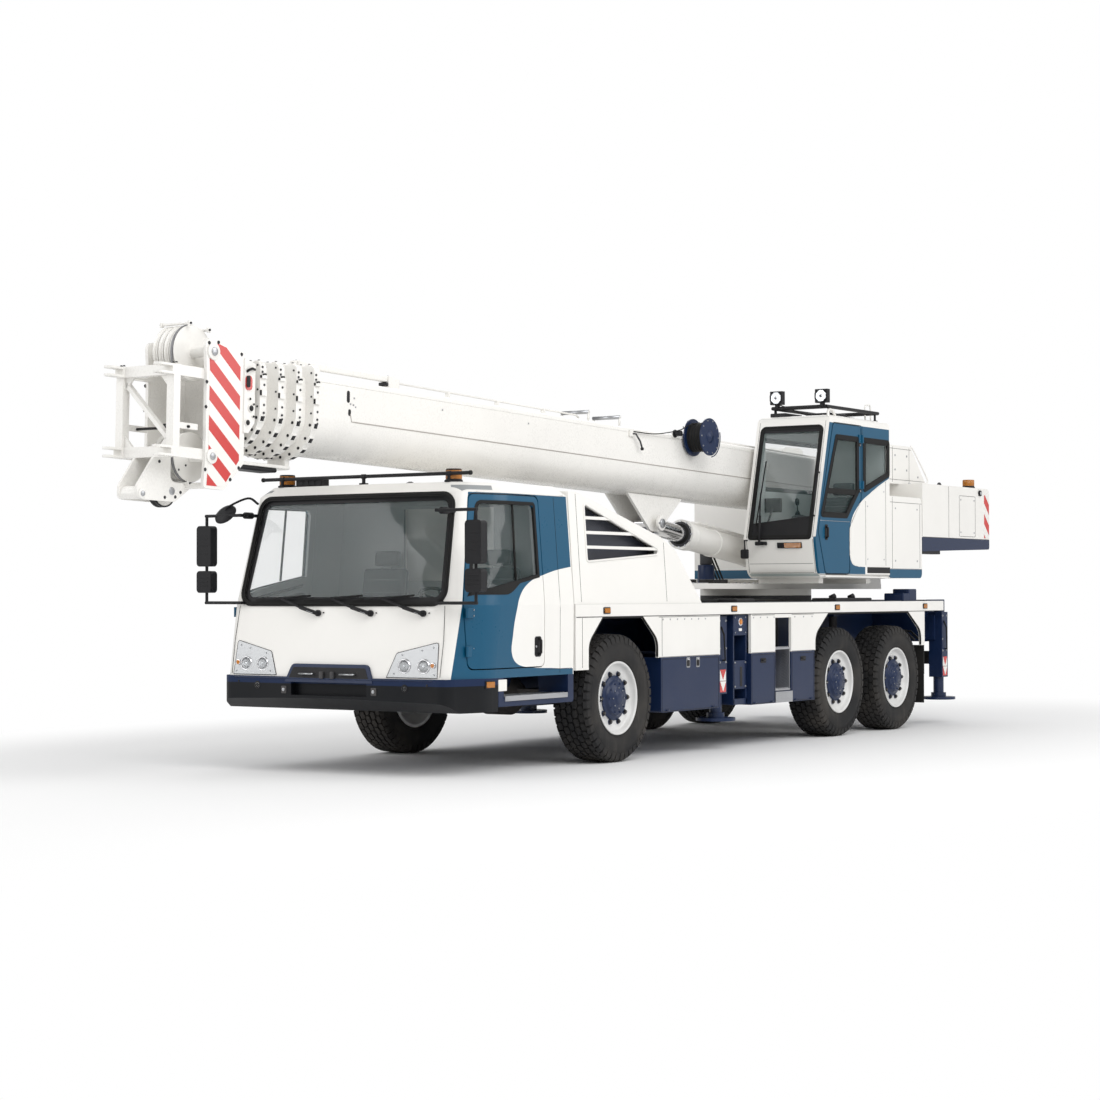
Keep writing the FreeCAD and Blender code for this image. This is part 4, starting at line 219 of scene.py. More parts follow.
def make_grain() -> bpy.types.NodeTree:
    """Fine unevenness for bumps and gloss: a coarse wave, a fine grain and their mix."""
    tree, n, given, out = new_group(
        "surface_grain", {"Scale": 60.0, "Coarse": 0.5}, {"Value": "NodeSocketFloat"})
    place = n.add("TexCoord").outputs["Object"]
    fine = n.add("TexNoise", {"Vector": place, "Scale": given["Scale"], "Detail": 3.0})
    wide = n.add("TexNoise", {
        "Vector": place, "Scale": n.math("MULTIPLY", given["Scale"], 0.08), "Detail": 2.0})
    mixed = n.add("Mix", {0: given["Coarse"], 2: fine.outputs[0], 3: wide.outputs[0]}, data_type="FLOAT")
    tree.links.new(mixed.outputs[0], out["Value"])
    return tree


Mask = Callable[[Nodes, bpy.types.NodeSocket], bpy.types.NodeSocket]
Colour = tuple[float, float, float]


def grey(value: float) -> Colour:
    """A neutral colour of one brightness."""
    return (value, value, value)


def past(axis: int, edge: float, width: float = 0.003) -> Mask:
    """A mask that is 1 beyond an edge on one axis (0, 1 or 2), or short of it if width is negative."""
    def build(n: Nodes, place: bpy.types.NodeSocket) -> bpy.types.NodeSocket:
        """Compare one coordinate with the edge."""
        value = n.add("SeparateXYZ", {0: place}).outputs[axis]
        return n.ramp(value, edge - width, edge + width)
    return build


def both(*masks: Mask) -> Mask:
    """A mask where all of several masks hold."""
    def build(n: Nodes, place: bpy.types.NodeSocket) -> bpy.types.NodeSocket:
        """Multiply the masks."""
        result = masks[0](n, place)
        for mask in masks[1:]:
            result = n.math("MULTIPLY", result, mask(n, place))
        return result
    return build


def stripes(first: int, second: int, pitch: float, slope: float) -> Mask:
    """Slanted warning stripes over two axes, half of each pitch filled."""
    def build(n: Nodes, place: bpy.types.NodeSocket) -> bpy.types.NodeSocket:
        """Cut the slanted distance into equal runs."""
        parts = n.add("SeparateXYZ", {0: place}).outputs
        across = n.math("ADD", parts[first], n.math("MULTIPLY", parts[second], slope))
        return n.math("GREATER_THAN", n.math("FRACT", n.math("DIVIDE", across, pitch)), 0.5)
    return build


def beyond(points: Sequence[Point]) -> Mask:
    """A mask that is 1 forward of a curve.

    Args:
        points: (height, place) of the curve, upwards.

    Returns:
        The mask.
    """
    low, high = points[0][0], points[-1][0]
    near, far = min(p[1] for p in points), max(p[1] for p in points)

    def build(n: Nodes, place: bpy.types.NodeSocket) -> bpy.types.NodeSocket:
        """Compare the place with the curve's at the same height."""
        parts = n.add("SeparateXYZ", {0: place}).outputs
        share = n.math("DIVIDE", n.math("SUBTRACT", parts[2], low), high - low, clamp=True)
        node = n.add("FloatCurve", {"Value": share})
        curve = node.mapping.curves[0]
        spots = [((z - low) / (high - low), (x - near) / (far - near)) for z, x in points]
        curve.points[0].location, curve.points[1].location = spots[0], spots[-1]
        for spot in spots[1:-1]:
            curve.points.new(*spot)
        node.mapping.update()
        edge = n.math("ADD", near, n.math("MULTIPLY", node.outputs[0], far - near))
        return n.ramp(n.math("SUBTRACT", parts[0], edge), -0.002, 0.002)
    return build


def within(*planes: tuple[float, float, float, float]) -> Mask:
    """A mask inside flat faces, each (a, b, c, d) for a*x + b*|y| + c*z < d."""
    def build(n: Nodes, place: bpy.types.NodeSocket) -> bpy.types.NodeSocket:
        """Multiply the comparisons."""
        parts = n.add("SeparateXYZ", {0: place}).outputs
        across = n.math("ABSOLUTE", parts[1])
        result = None
        for a, b, c, d in planes:
            total = n.math("MULTIPLY", parts[0], a)
            total = n.math("MULTIPLY_ADD", across, b, total)
            total = n.math("MULTIPLY_ADD", parts[2], c, total)
            held = n.math("LESS_THAN", total, d)
            result = held if result is None else n.math("MULTIPLY", result, held)
        return result
    return build


@dataclass(frozen=True)
class Finish:
    """A paint, metal, rubber or moulding, with its grain, dust and worn edges."""

    name: str
    colour: Colour
    roughness: float = 0.35
    metallic: float = 0.0
    coat: float = 0.0
    blotch: float = 0.06
    grain: float = 60.0
    bump: float = 0.02
    dust: float = 0.25
    dust_height: float = 1.6
    wear: float = 0.0
    bare: Colour = (0.32, 0.33, 0.34)
    zones: tuple[tuple[Mask, Colour], ...] = ()
    relief: Mask | None = None
    relief_depth: float = 0.0
    shine: float = 0.5

    def build(self) -> bpy.types.Material:
        """Make the finish.

        Returns:
            The material, with its nodes.
        """
        material = bpy.data.materials.new(self.name)
        material.use_nodes = True
        n = Nodes(material.node_tree)
        shader = material.node_tree.nodes["Principled BSDF"]
        place = n.add("TexCoord").outputs["Object"]
        tint = (*self.colour, 1.0)
        colour = n.mix(0.0, tint, tint)
        for mask, paint in self.zones:
            colour = n.mix(mask(n, place), colour, (*paint, 1.0))
        cloud = n.add("TexNoise", {"Vector": place, "Scale": 1.7, "Detail": 5.0}).outputs[0]
        dark = n.add("HueSaturation", {"Color": colour, "Value": 1.0 - self.blotch * 2}).outputs[0]
        colour = n.mix(n.ramp(cloud, 0.3, 0.8), colour, dark)
        grain = n.group(GRAIN, {"Scale": self.grain, "Coarse": 0.35}).outputs[0]
        rough = n.math("ADD", self.roughness, n.math("MULTIPLY", n.math("SUBTRACT", grain, 0.5), 0.16))
        if self.wear:
            worn = n.group(WEAR, {"Amount": self.wear}).outputs[0]
            colour = n.mix(worn, colour, (*self.bare, 1.0))
            rough = n.math("ADD", rough, n.math("MULTIPLY", worn, 0.2))
        if self.dust:
            grime = n.group(GRIME, {"Amount": self.dust, "Height": self.dust_height}).outputs[0]
            colour = n.mix(grime, colour, (*ROAD_DUST, 1.0))
            rough = n.math("ADD", rough, n.math("MULTIPLY", grime, 0.5), clamp=True)
        n.tree.links.new(colour, shader.inputs["Base Color"])
        n.tree.links.new(rough, shader.inputs["Roughness"])
        height = n.math("MULTIPLY", grain, self.bump * 0.01)
        if self.relief:
            raised = n.math("MULTIPLY", self.relief(n, place), self.relief_depth)
            height = n.math("ADD", height, raised)
        bump = n.add("Bump", {"Height": height, "Distance": 1.0, "Strength": 1.0})
        n.tree.links.new(bump.outputs[0], shader.inputs["Normal"])
        shader.inputs["Metallic"].default_value = self.metallic
        shader.inputs["Specular IOR Level"].default_value = self.shine
        shader.inputs["Coat Weight"].default_value = self.coat
        shader.inputs["Coat Roughness"].default_value = 0.08
        return material


@dataclass(frozen=True)
class Glass:
    """Window glass or a clear or coloured lens."""

    name: str
    colour: Colour
    roughness: float = 0.02
    alpha: float = 1.0
    glow: float = 0.0
    ribs: float = 0.0
    body: float = 1.0

    def build(self) -> bpy.types.Material:
        """Make the glass.

        Returns:
            The material, with its nodes.
        """
        material = bpy.data.materials.new(self.name)
        material.use_nodes = True
        n = Nodes(material.node_tree)
        shader = material.node_tree.nodes["Principled BSDF"]
        place = n.add("TexCoord").outputs["Object"]
        film = n.add("TexNoise", {"Vector": place, "Scale": 2.3, "Detail": 4.0}).outputs[0]
        pale = tuple(1.0 - (1.0 - part) * 0.85 for part in self.colour)
        colour = n.mix(n.ramp(film, 0.3, 0.8), (*self.colour, 1.0), (*pale, 1.0))
        n.tree.links.new(colour, shader.inputs["Base Color"])
        n.tree.links.new(n.math("ADD", self.roughness, n.math("MULTIPLY", film, 0.02)),
                         shader.inputs["Roughness"])
        if self.ribs:
            wave = n.add("TexWave", {"Vector": place, "Scale": self.ribs}, bands_direction="Y").outputs[1]
            bump = n.add("Bump", {"Height": wave, "Distance": 0.0015, "Strength": 1.0})
            n.tree.links.new(bump.outputs[0], shader.inputs["Normal"])
        shader.inputs["Transmission Weight"].default_value = self.alpha
        shader.inputs["IOR"].default_value = 1.45 if self.body == 1.0 else 3.2
        shader.inputs["Alpha"].default_value = self.body
        if self.glow:
            shader.inputs["Emission Color"].default_value = (*self.colour, 1.0)
            shader.inputs["Emission Strength"].default_value = self.glow
        return material


def diamonds(n: Nodes, place: bpy.types.NodeSocket) -> bpy.types.NodeSocket:
    """The raised lozenges of tread plate, seen on flat, front and side faces alike."""
    parts = n.add("SeparateXYZ", {0: place}).outputs
    first = n.math("ADD", parts[0], n.math("MULTIPLY", parts[1], 0.37))
    second = n.math("ADD", parts[2], parts[1])
    cell = 0.032
    u = n.math("DIVIDE", n.math("ADD", first, second), cell)
    v = n.math("DIVIDE", n.math("SUBTRACT", first, second), cell)
    turn = n.math("FLOORED_MODULO", n.math("ADD", n.math("FLOOR", u), n.math("FLOOR", v)), 2.0)
    du = n.math("ABSOLUTE", n.math("SUBTRACT", n.math("FRACT", u), 0.5))
    dv = n.math("ABSOLUTE", n.math("SUBTRACT", n.math("FRACT", v), 0.5))
    flat = n.math("ADD", du, n.math("MULTIPLY", dv, 3.2))
    tall = n.math("ADD", dv, n.math("MULTIPLY", du, 3.2))
    pick = n.add("Mix", {0: turn, 2: flat, 3: tall}, data_type="FLOAT").outputs[0]
    return n.math("SUBTRACT", 1.0, n.ramp(pick, 0.38, 0.5))


def weave(n: Nodes, place: bpy.types.NodeSocket) -> bpy.types.NodeSocket:
    """The crossed threads of seat cloth."""
    parts = n.add("SeparateXYZ", {0: place}).outputs
    pitch = 1400.0
    warp = n.math("SINE", n.math("MULTIPLY", n.math("ADD", parts[0], parts[2]), pitch))
    weft = n.math("SINE", n.math("MULTIPLY", n.math("SUBTRACT", parts[1], parts[2]), pitch))
    return n.math("MULTIPLY", n.math("ADD", warp, weft), 0.5)


ROAD_DUST: Colour = (0.33, 0.29, 0.24)
WARM_WHITE: Colour = (0.86, 0.845, 0.81)
DEEP_NAVY: Colour = (0.007, 0.019, 0.062)
DEEP_TEAL: Colour = (0.003, 0.080, 0.160)
SIGNAL_RED: Colour = (0.60, 0.035, 0.030)
SOOT: Colour = (0.012, 0.012, 0.014)
GRAIN = make_grain()
WEAR = make_wear()
GRIME = make_grime()


CAB_TEAL = both(
    beyond(((0.90, 2.700), (0.912, 3.052), (0.96, 3.622), (1.04, 3.712), (1.22, 3.702), (1.42, 3.650),
            (1.55, 3.592), (1.66, 3.462), (1.75, 3.172), (1.82, 2.742))),
    within((0.0, -1.0, 0.0, -1.10), (0.0, 0.0, 1.0, 2.458), (-1.0, 0.0, 0.0, -2.742), (1.0, 0.0, 0.216, 4.628)))
CAB_INSIDE = within(
    (0.0, 1.0, 0.0, 1.338), (0.0, 1.0, 0.0796, 1.461), (0.35, 1.0, 0.1635, 2.979), (0.35, 1.0, 0.0556, 2.805),
    (1.0, 0.05, 0.2398, 4.782), (1.0, 0.05, 0.1588, 4.662), (-1.0, 0.0, 0.0, -2.757), (0.0, 0.0, 1.0, 2.522),
    (0.0, 1.0, 1.0, 3.715), (1.0, 0.0, 1.0, 6.632), (-1.0, 0.0, 1.0, -0.307), (0.0, 0.0, -1.0, -0.88))
CRANE_TEAL = both(
    beyond(((1.870, -3.458), (1.872, -3.298), (1.91, -3.118), (2.07, -3.058), (2.37, -3.098), (2.54, -3.258),
            (2.73, -3.638), (2.90, -4.100))),
    within((0.0, -1.0, 0.0, -1.270), (0.0, 0.0, 1.0, 3.462), (0.0, 0.0, -1.0, -1.788), (-1.0, 0.0, 0.0, 4.100),
           (1.0, 0.0, 0.270, -1.632), (1.0, 0.0, -0.36, -2.912)))
CRANE_INSIDE = within(
    (0.0, 1.0, 0.0, 1.278), (0.0, -1.0, 0.0, -0.432), (0.0, 0.0, 1.0, 3.528), (0.0, 0.0, -1.0, -1.762),
    (-1.0, 0.0, 0.0, 4.086), (1.0, 0.0, 0.2609, -1.674), (1.0, 0.0, -0.209, -2.694))
LINING: Colour = (0.290, 0.305, 0.310)
CRANE_LINING: Colour = (0.420, 0.470, 0.460)


class Kind(Enum):
    """Every finish on the crane."""

    CAB = Finish("driver_cab_paint", WARM_WHITE, 0.30, coat=0.12, shine=0.35, blotch=0.012, bump=0.012, dust=0.04,
                 zones=((CAB_TEAL, DEEP_TEAL), (CAB_INSIDE, LINING)))
    CRANE_CAB = Finish("crane_cab_paint", WARM_WHITE, 0.30, coat=0.12, shine=0.35, blotch=0.012, bump=0.012, dust=0.03,
                       zones=((CRANE_TEAL, DEEP_TEAL), (CRANE_INSIDE, CRANE_LINING)))
    HOUSING = Finish("housing_paint", WARM_WHITE, 0.30, coat=0.12, shine=0.35, blotch=0.012, bump=0.012, dust=0.04,
                     zones=((past(2, 1.852, -0.001), DEEP_TEAL),))
    BALLAST = Finish("counterweight_paint", WARM_WHITE, 0.30, coat=0.12, shine=0.35, blotch=0.02, bump=0.05, dust=0.08,
                     zones=((past(2, 2.240, -0.001), DEEP_NAVY),))
    DECK = Finish("deck_paint", WARM_WHITE, 0.32, coat=0.1, shine=0.35, blotch=0.02, bump=0.02, dust=0.16,
                  zones=((past(2, 1.4785, 0.0005), (0.50, 0.50, 0.48)),))

    WHITE = Finish("white_paint", WARM_WHITE, 0.30, coat=0.12, shine=0.35, blotch=0.012, bump=0.012, dust=0.05)
    BOOM = Finish("boom_paint", WARM_WHITE, 0.28, coat=0.14, shine=0.35, blotch=0.02, bump=0.012, dust=0.0, wear=0.05)
    NAVY = Finish("navy_paint", DEEP_NAVY, 0.34, coat=0.08, shine=0.3, blotch=0.02, bump=0.02, dust=0.04, wear=0.05)
    # Below z 0.790 the bumper's navy is painted near black: painted shade under its lip.
    BUMPER = Finish("bumper_paint_shaded_low", DEEP_NAVY, 0.42, coat=0.02, shine=0.2, blotch=0.02, bump=0.02, dust=0.02,
                    zones=((past(2, 0.790, -0.004), (0.004, 0.005, 0.007)),))
    TEAL = Finish("teal_paint", DEEP_TEAL, 0.28, coat=0.12, shine=0.3, blotch=0.012, bump=0.012, dust=0.01)
    GREY = Finish("grey_paint", grey(0.20), 0.42, bump=0.03, dust=0.2, wear=0.3)
    RIM = Finish("rim_paint", (0.74, 0.74, 0.73), 0.30, coat=0.2, bump=0.02, dust=0.35, dust_height=1.2, wear=0.2)
    BLACK = Finish("black_paint", SOOT, 0.40, shine=0.25, bump=0.03, dust=0.15, wear=0.2)
    PLASTIC = Finish("moulded_plastic", (0.014, 0.014, 0.016), 0.50, shine=0.25, grain=420.0, bump=0.08, dust=0.08)
    RUBBER = Finish("black_rubber", (0.012, 0.012, 0.012), 0.70, shine=0.25, grain=240.0, bump=0.1, dust=0.08)
    TYRE = Finish("tyre_rubber", (0.016, 0.016, 0.017), 0.76, shine=0.3, grain=180.0, bump=0.12, dust=0.22, dust_height=1.5)
    STEEL = Finish("machined_steel", (0.50, 0.51, 0.53), 0.33, 1.0, grain=150.0, bump=0.03, dust=0.15)
    CHROME = Finish("hard_chrome", (0.80, 0.80, 0.82), 0.10, 1.0, grain=300.0, bump=0.004, dust=0.0)
    CASTING = Finish("rough_casting", (0.045, 0.046, 0.052), 0.62, 0.2, grain=110.0, bump=0.25, dust=0.5)
    TREAD = Finish("tread_plate", (0.52, 0.53, 0.55), 0.36, 0.9, bump=0.02, dust=0.25,
                   relief=diamonds, relief_depth=0.0022)
    DARK_TREAD = Finish("dark_tread_plate", (0.05, 0.055, 0.075), 0.45, bump=0.02, dust=0.3,
                        relief=diamonds, relief_depth=0.0022)
    CLOTH = Finish("seat_cloth", (0.030, 0.034, 0.038), 0.9, grain=300.0, bump=0.02, dust=0.0,
                   relief=weave, relief_depth=0.00006)
    REFLECTOR = Finish("red_reflector", SIGNAL_RED, 0.22, coat=0.6, bump=0.01, dust=0.05)
    SILVER = Finish("mirror_silver", (0.86, 0.88, 0.90), 0.04, 1.0, bump=0.0, dust=0.0)
    ROPE = Finish("steel_rope", (0.30, 0.30, 0.31), 0.5, 0.8, grain=700.0, bump=0.3, dust=0.0)
    LAMP_COVER = Finish("lamp_cover", (0.42, 0.43, 0.44), 0.22, 0.55, coat=0.8, dust=0.04)
    TRIM = Finish("cab_lining", (0.10, 0.10, 0.105), 0.8, grain=380.0, bump=0.12, dust=0.0)
    PIPING = Finish("seat_piping", (0.16, 0.17, 0.18), 0.6, grain=300.0, bump=0.05, dust=0.0)
    # A real weld bead whose brown grey colour is painted shade: the shadow line along the weld.
    SEAM_SHADE = Finish("weld_seam_shade", (0.42, 0.39, 0.36), 0.5, bump=0.2, dust=0.1)
    WARNING = Finish("warning_stripes", WARM_WHITE, 0.30, coat=0.3, blotch=0.02, dust=0.04,
                     zones=((stripes(2, 0, 0.243, -0.84), SIGNAL_RED),))
    CHEVRON = Finish("warning_chevrons", WARM_WHITE, 0.30, coat=0.3, blotch=0.02, dust=0.04,
                     zones=((stripes(2, 0, 0.26, -0.95), SIGNAL_RED),))
    REAR_CHEVRON = Finish("rear_chevrons", WARM_WHITE, 0.30, coat=0.3, blotch=0.02, dust=0.04,
                          zones=((stripes(2, 1, 0.26, 0.95), SIGNAL_RED),))
    PANE = Glass("window_glass", (0.10, 0.20, 0.20), alpha=0.0, body=0.09)
    LENS = Glass("clear_lens", (0.95, 0.96, 0.97), ribs=40.0)
    AMBER = Glass("amber_lens", (0.95, 0.33, 0.02), 0.12, alpha=0.55, ribs=60.0)
    RED_LENS = Glass("red_lens", (0.65, 0.015, 0.012), 0.12, alpha=0.4, ribs=60.0)


@dataclass
class Shop:
    """Hands out each finish's material, made once."""

    made: dict[str, bpy.types.Material] = field(default_factory=dict)

    def __call__(self, finish: Kind | Finish) -> bpy.types.Material:
        """The material of a finish."""
        recipe = finish.value if isinstance(finish, Kind) else finish
        if recipe.name not in self.made:
            self.made[recipe.name] = recipe.build()
        return self.made[recipe.name]


SHOP = Shop()


# modelling
def flowing(points: Sequence[Vector], steps: int = 6) -> list[Vector]:
    """A smooth line through points."""
    last = len(points) - 1
    leads = [(points[min(last, i + 1)] - points[max(0, i - 1)]) / (2.0 if 0 < i < last else 1.0)
             for i in range(last + 1)]
    made = [points[0]]
    for i in range(last):
        run = interpolate_bezier(points[i], points[i] + leads[i] / 3, points[i + 1] - leads[i + 1] / 3,
                                 points[i + 1], steps + 1)
        made += run[1:]
    return made


class Piece:
    """One mesh built up from bmesh shapes, each with its own finish."""

    def __init__(self, name: str) -> None:
        """Start an empty piece with a name."""
        self.name = name
        self.mesh = bmesh.new()
        self.finishes: list[Kind | Finish] = []

    def _index(self, finish: Kind | Finish) -> int:
        """The slot number of a finish, added when it is new."""
        if finish not in self.finishes:
            self.finishes.append(finish)
        return self.finishes.index(finish)

    def _take(self, part: bmesh.types.BMesh, finish: Kind | Finish, bevel: float = 0.0, smooth: bool = False,
              turn: Matrix | None = None) -> "Piece":
        """Soften a part's edges, lay it and move it into the piece.

        Args:
            part: the part, which is used up.
            finish: its finish.
            bevel: its edges' bevel width, or 0.
            smooth: whether its faces are shaded smooth.
            turn: a matrix laid on it.

        Returns:
            The piece.
        """
        if bevel > 0:
            edges = [e for e in part.edges if len(e.link_faces) == 2 and e.calc_face_angle(0.0) > 0.5]
            bmesh.ops.bevel(part, geom=edges, offset=bevel, offset_type="OFFSET", affect="EDGES",
                            segments=2, profile=0.5, material=-1, clamp_overlap=True)
        if turn is not None:
            bmesh.ops.transform(part, matrix=turn, verts=list(part.verts))
        index = self._index(finish)
        for face in part.faces:
            face.material_index = index
            face.smooth = smooth
        data = bpy.data.meshes.new("part")
        part.to_mesh(data)
        part.free()
        self.mesh.from_mesh(data)
        bpy.data.meshes.remove(data)
        return self

    def box(self, low: Point, high: Point, finish: Kind | Finish, bevel: float = 0.004,
            turn: Matrix | None = None) -> "Piece":
        """Add a block.

        Args:
            low: its lowest corner.
            high: its highest corner.
            finish: its finish.
            bevel: the bevel of its edges.
            turn: a matrix laid on it at the end.

        Returns:
            The piece.
        """
        part = bmesh.new()
        low, high = Vector(low), Vector(high)
        size = [abs(side) for side in high - low]
        place = Matrix.Translation((low + high) / 2) @ Matrix.Diagonal((*size, 1.0))
        bmesh.ops.create_cube(part, size=1.0, matrix=place)
        return self._take(part, finish, min(bevel, 0.45 * min(size)), turn=turn)

    def rod(self, start: Point, end: Point, radius: float, finish: Kind | Finish, sides: int = 20,
            bevel: float = 0.0, tip: float | None = None, turn: Matrix | None = None) -> "Piece":
        """Add a cylinder or cone between two places.

        Args:
            start: the middle of its first end.
            end: the middle of its other end.
            radius: its radius.
            finish: its finish.
            sides: how many faces go round it.
            bevel: the bevel of its rims.
            tip: the radius at its other end, where that differs.
            turn: a matrix laid on it at the end.

        Returns:
            The piece.
        """
        part = bmesh.new()
        start, end = Vector(start), Vector(end)
        way = end - start
        lie = way.to_track_quat("Z", "Y").to_matrix().to_4x4()
        place = Matrix.Translation((start + end) / 2) @ lie
        bmesh.ops.create_cone(part, cap_ends=True, segments=sides, radius1=radius,
                              radius2=radius if tip is None else tip, depth=way.length, matrix=place)
        if bevel:
            rims = list({e for f in part.faces if len(f.verts) > 4 for e in f.edges})
            bmesh.ops.bevel(part, geom=rims, offset=min(bevel, 0.4 * way.length), offset_type="OFFSET",
                            affect="EDGES", segments=2, profile=0.5, material=-1, clamp_overlap=True)
        return self._take(part, finish, smooth=sides > 8, turn=turn)

    def panel(self, plane: Plane, outline: Iterable[Point], low: float, high: float,
              finish: Kind | Finish, bevel: float = 0.003, turn: Matrix | None = None,
              round_by: float = 0.0) -> "Piece":
        """Add a flat outline run from one depth to another.

        Args:
            plane: the plane that it is drawn in.
            outline: its corners in that plane.
            low: the first depth.
            high: the other depth.
            finish: its finish.
            bevel: the bevel of its edges.
            turn: a matrix laid on it at the end.
            round_by: a radius for its upright corners.

        Returns:
            The piece.
        """
        part = bmesh.new()
        first, second, deep = plane.value
        verts = []
        for u, v in outline:
            spot = [0.0, 0.0, 0.0]
            spot[first], spot[second], spot[deep] = u, v, low
            verts.append(part.verts.new(spot))
        face = part.faces.new(verts)
        shift = Vector((0.0, 0.0, 0.0))
        shift[deep] = high - low
        made = bmesh.ops.extrude_face_region(part, geom=[face], use_keep_orig=True)
        moved = [item for item in made["geom"] if isinstance(item, bmesh.types.BMVert)]
        bmesh.ops.translate(part, vec=shift, verts=moved)
        bmesh.ops.recalc_face_normals(part, faces=list(part.faces))
        if round_by:
            posts = [e for e in part.edges if abs((e.verts[0].co - e.verts[1].co)[deep]) > 1e-6]
            bmesh.ops.bevel(part, geom=posts, offset=round_by, offset_type="OFFSET",
                            affect="EDGES", segments=4, profile=0.5, material=-1, clamp_overlap=True)
        return self._take(part, finish, min(bevel, 0.45 * abs(high - low)), turn=turn)

    def spun(self, profile: Iterable[Point], centre: Point, axis: Along, finish: Kind | Finish,
             sides: int = 48, sign: float = 1.0, smooth: bool = True, turn: Matrix | None = None) -> "Piece":
        """Add a profile spun a full turn.

        Args:
            profile: (distance along the axis, radius) for each corner.
            centre: a place on the axis.
            axis: the axis.
            finish: its finish.
            sides: how many steps the turn has.
            sign: -1 to point the profile the other way along the axis.
            smooth: whether its faces are shaded smooth.
            turn: a matrix laid on it at the end.

        Returns:
            The piece.
        """
        part = bmesh.new()
        main = axis.value * sign
        out = Along.Z.value if axis is not Along.Z else Along.X.value
        centre = Vector(centre)
        verts = [part.verts.new(centre + main * a + out * r) for a, r in profile]
        edges = [part.edges.new(pair) for pair in zip(verts, verts[1:])]
        bmesh.ops.spin(part, geom=verts + edges, cent=centre, axis=axis.value,
                       angle=math.tau, steps=sides, use_merge=True, use_duplicate=False)
        bmesh.ops.remove_doubles(part, verts=list(part.verts), dist=1e-5)
        bmesh.ops.recalc_face_normals(part, faces=list(part.faces))
        return self._take(part, finish, smooth=smooth, turn=turn)

    def tube(self, path: Iterable[Point], radius: float, finish: Kind | Finish, sides: int = 10,
             bend: float = 0.0, turn: Matrix | None = None) -> "Piece":
        """Add a round bar or hose along a path.

        Args:
            path: the places that it goes through.
            radius: its radius.
            finish: its finish.
            sides: how many faces go round it.
            bend: above 0 for a flowing line instead of straight runs.
            turn: a matrix laid on it at the end.

        Returns:
            The piece.
        """
        curve = bpy.data.curves.new("path", "CURVE")
        curve.dimensions = "3D"
        curve.bevel_depth = radius
        curve.bevel_resolution = max(1, sides // 4 - 1)
        curve.use_fill_caps = True
        points = [Vector(p) for p in path]
        if bend:
            points = flowing(points)
        spline = curve.splines.new("POLY")
        spline.points.add(len(points) - 1)
        for spot, point in zip(spline.points, points):
            spot.co = (*point, 1.0)
        holder = bpy.data.objects.new("path", curve)
        mesh = bpy.data.meshes.new_from_object(holder)
        part = bmesh.new()
        part.from_mesh(mesh)
        bpy.data.objects.remove(holder)
        bpy.data.curves.remove(curve)
        bpy.data.meshes.remove(mesh)
        bmesh.ops.remove_doubles(part, verts=list(part.verts), dist=1e-6)
        return self._take(part, finish, smooth=True, turn=turn)

    def bolts(self, places: Iterable[Point], axis: Along, radius: float, rise: float,
              finish: Kind | Finish, sign: float = 1.0, turn: Matrix | None = None) -> "Piece":
        """Add six-sided bolt heads on washers, standing up along an axis."""
        for place in places:
            base = Vector(place)
            up = axis.value * sign
            self.rod(base, base + up * rise * 0.25, radius * 1.5, finish, 12, turn=turn)
            self.rod(base, base + up * rise, radius, finish, 6, turn=turn)
        return self

    def mirrored(self) -> "Piece":
        """Add the mirror image on the other side of the machine."""
        made = bmesh.ops.duplicate(self.mesh, geom=list(self.mesh.verts) + list(self.mesh.edges)
                                   + list(self.mesh.faces))["geom"]
        verts = [item for item in made if isinstance(item, bmesh.types.BMVert)]
        faces = [item for item in made if isinstance(item, bmesh.types.BMFace)]
        bmesh.ops.transform(self.mesh, matrix=Matrix.Diagonal((1.0, -1.0, 1.0, 1.0)), verts=verts)
        bmesh.ops.reverse_faces(self.mesh, faces=faces)
        return self

    def done_as(self, name: str, body: str, slot: str, replaces: Sequence[str] = ()) -> bpy.types.Object:
        """Make the object under another name; the rest is as for done."""
        self.name = name
        return self.done(body, slot, replaces)

    def done(self, body: str, slot: str, replaces: Sequence[str] = ()) -> bpy.types.Object:
        """Make the object and put it on its body.

        Args:
            body: the body that it rides on.
            slot: not used.
            replaces: nodes that it stands for.

        Returns:
            The object.
        """
        data = bpy.data.meshes.new(self.name)
        self.mesh.normal_update()
        self.mesh.to_mesh(data)
        self.mesh.free()
        for finish in self.finishes:
            data.materials.append(SHOP(finish))
        made = bpy.data.objects.new(self.name, data)
        bpy.context.scene.collection.objects.link(made)
        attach(made, body)
        if replaces:
            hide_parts(*replaces)
        LOG.info("%s: %d faces on %s", self.name, len(data.polygons), body)
        return made


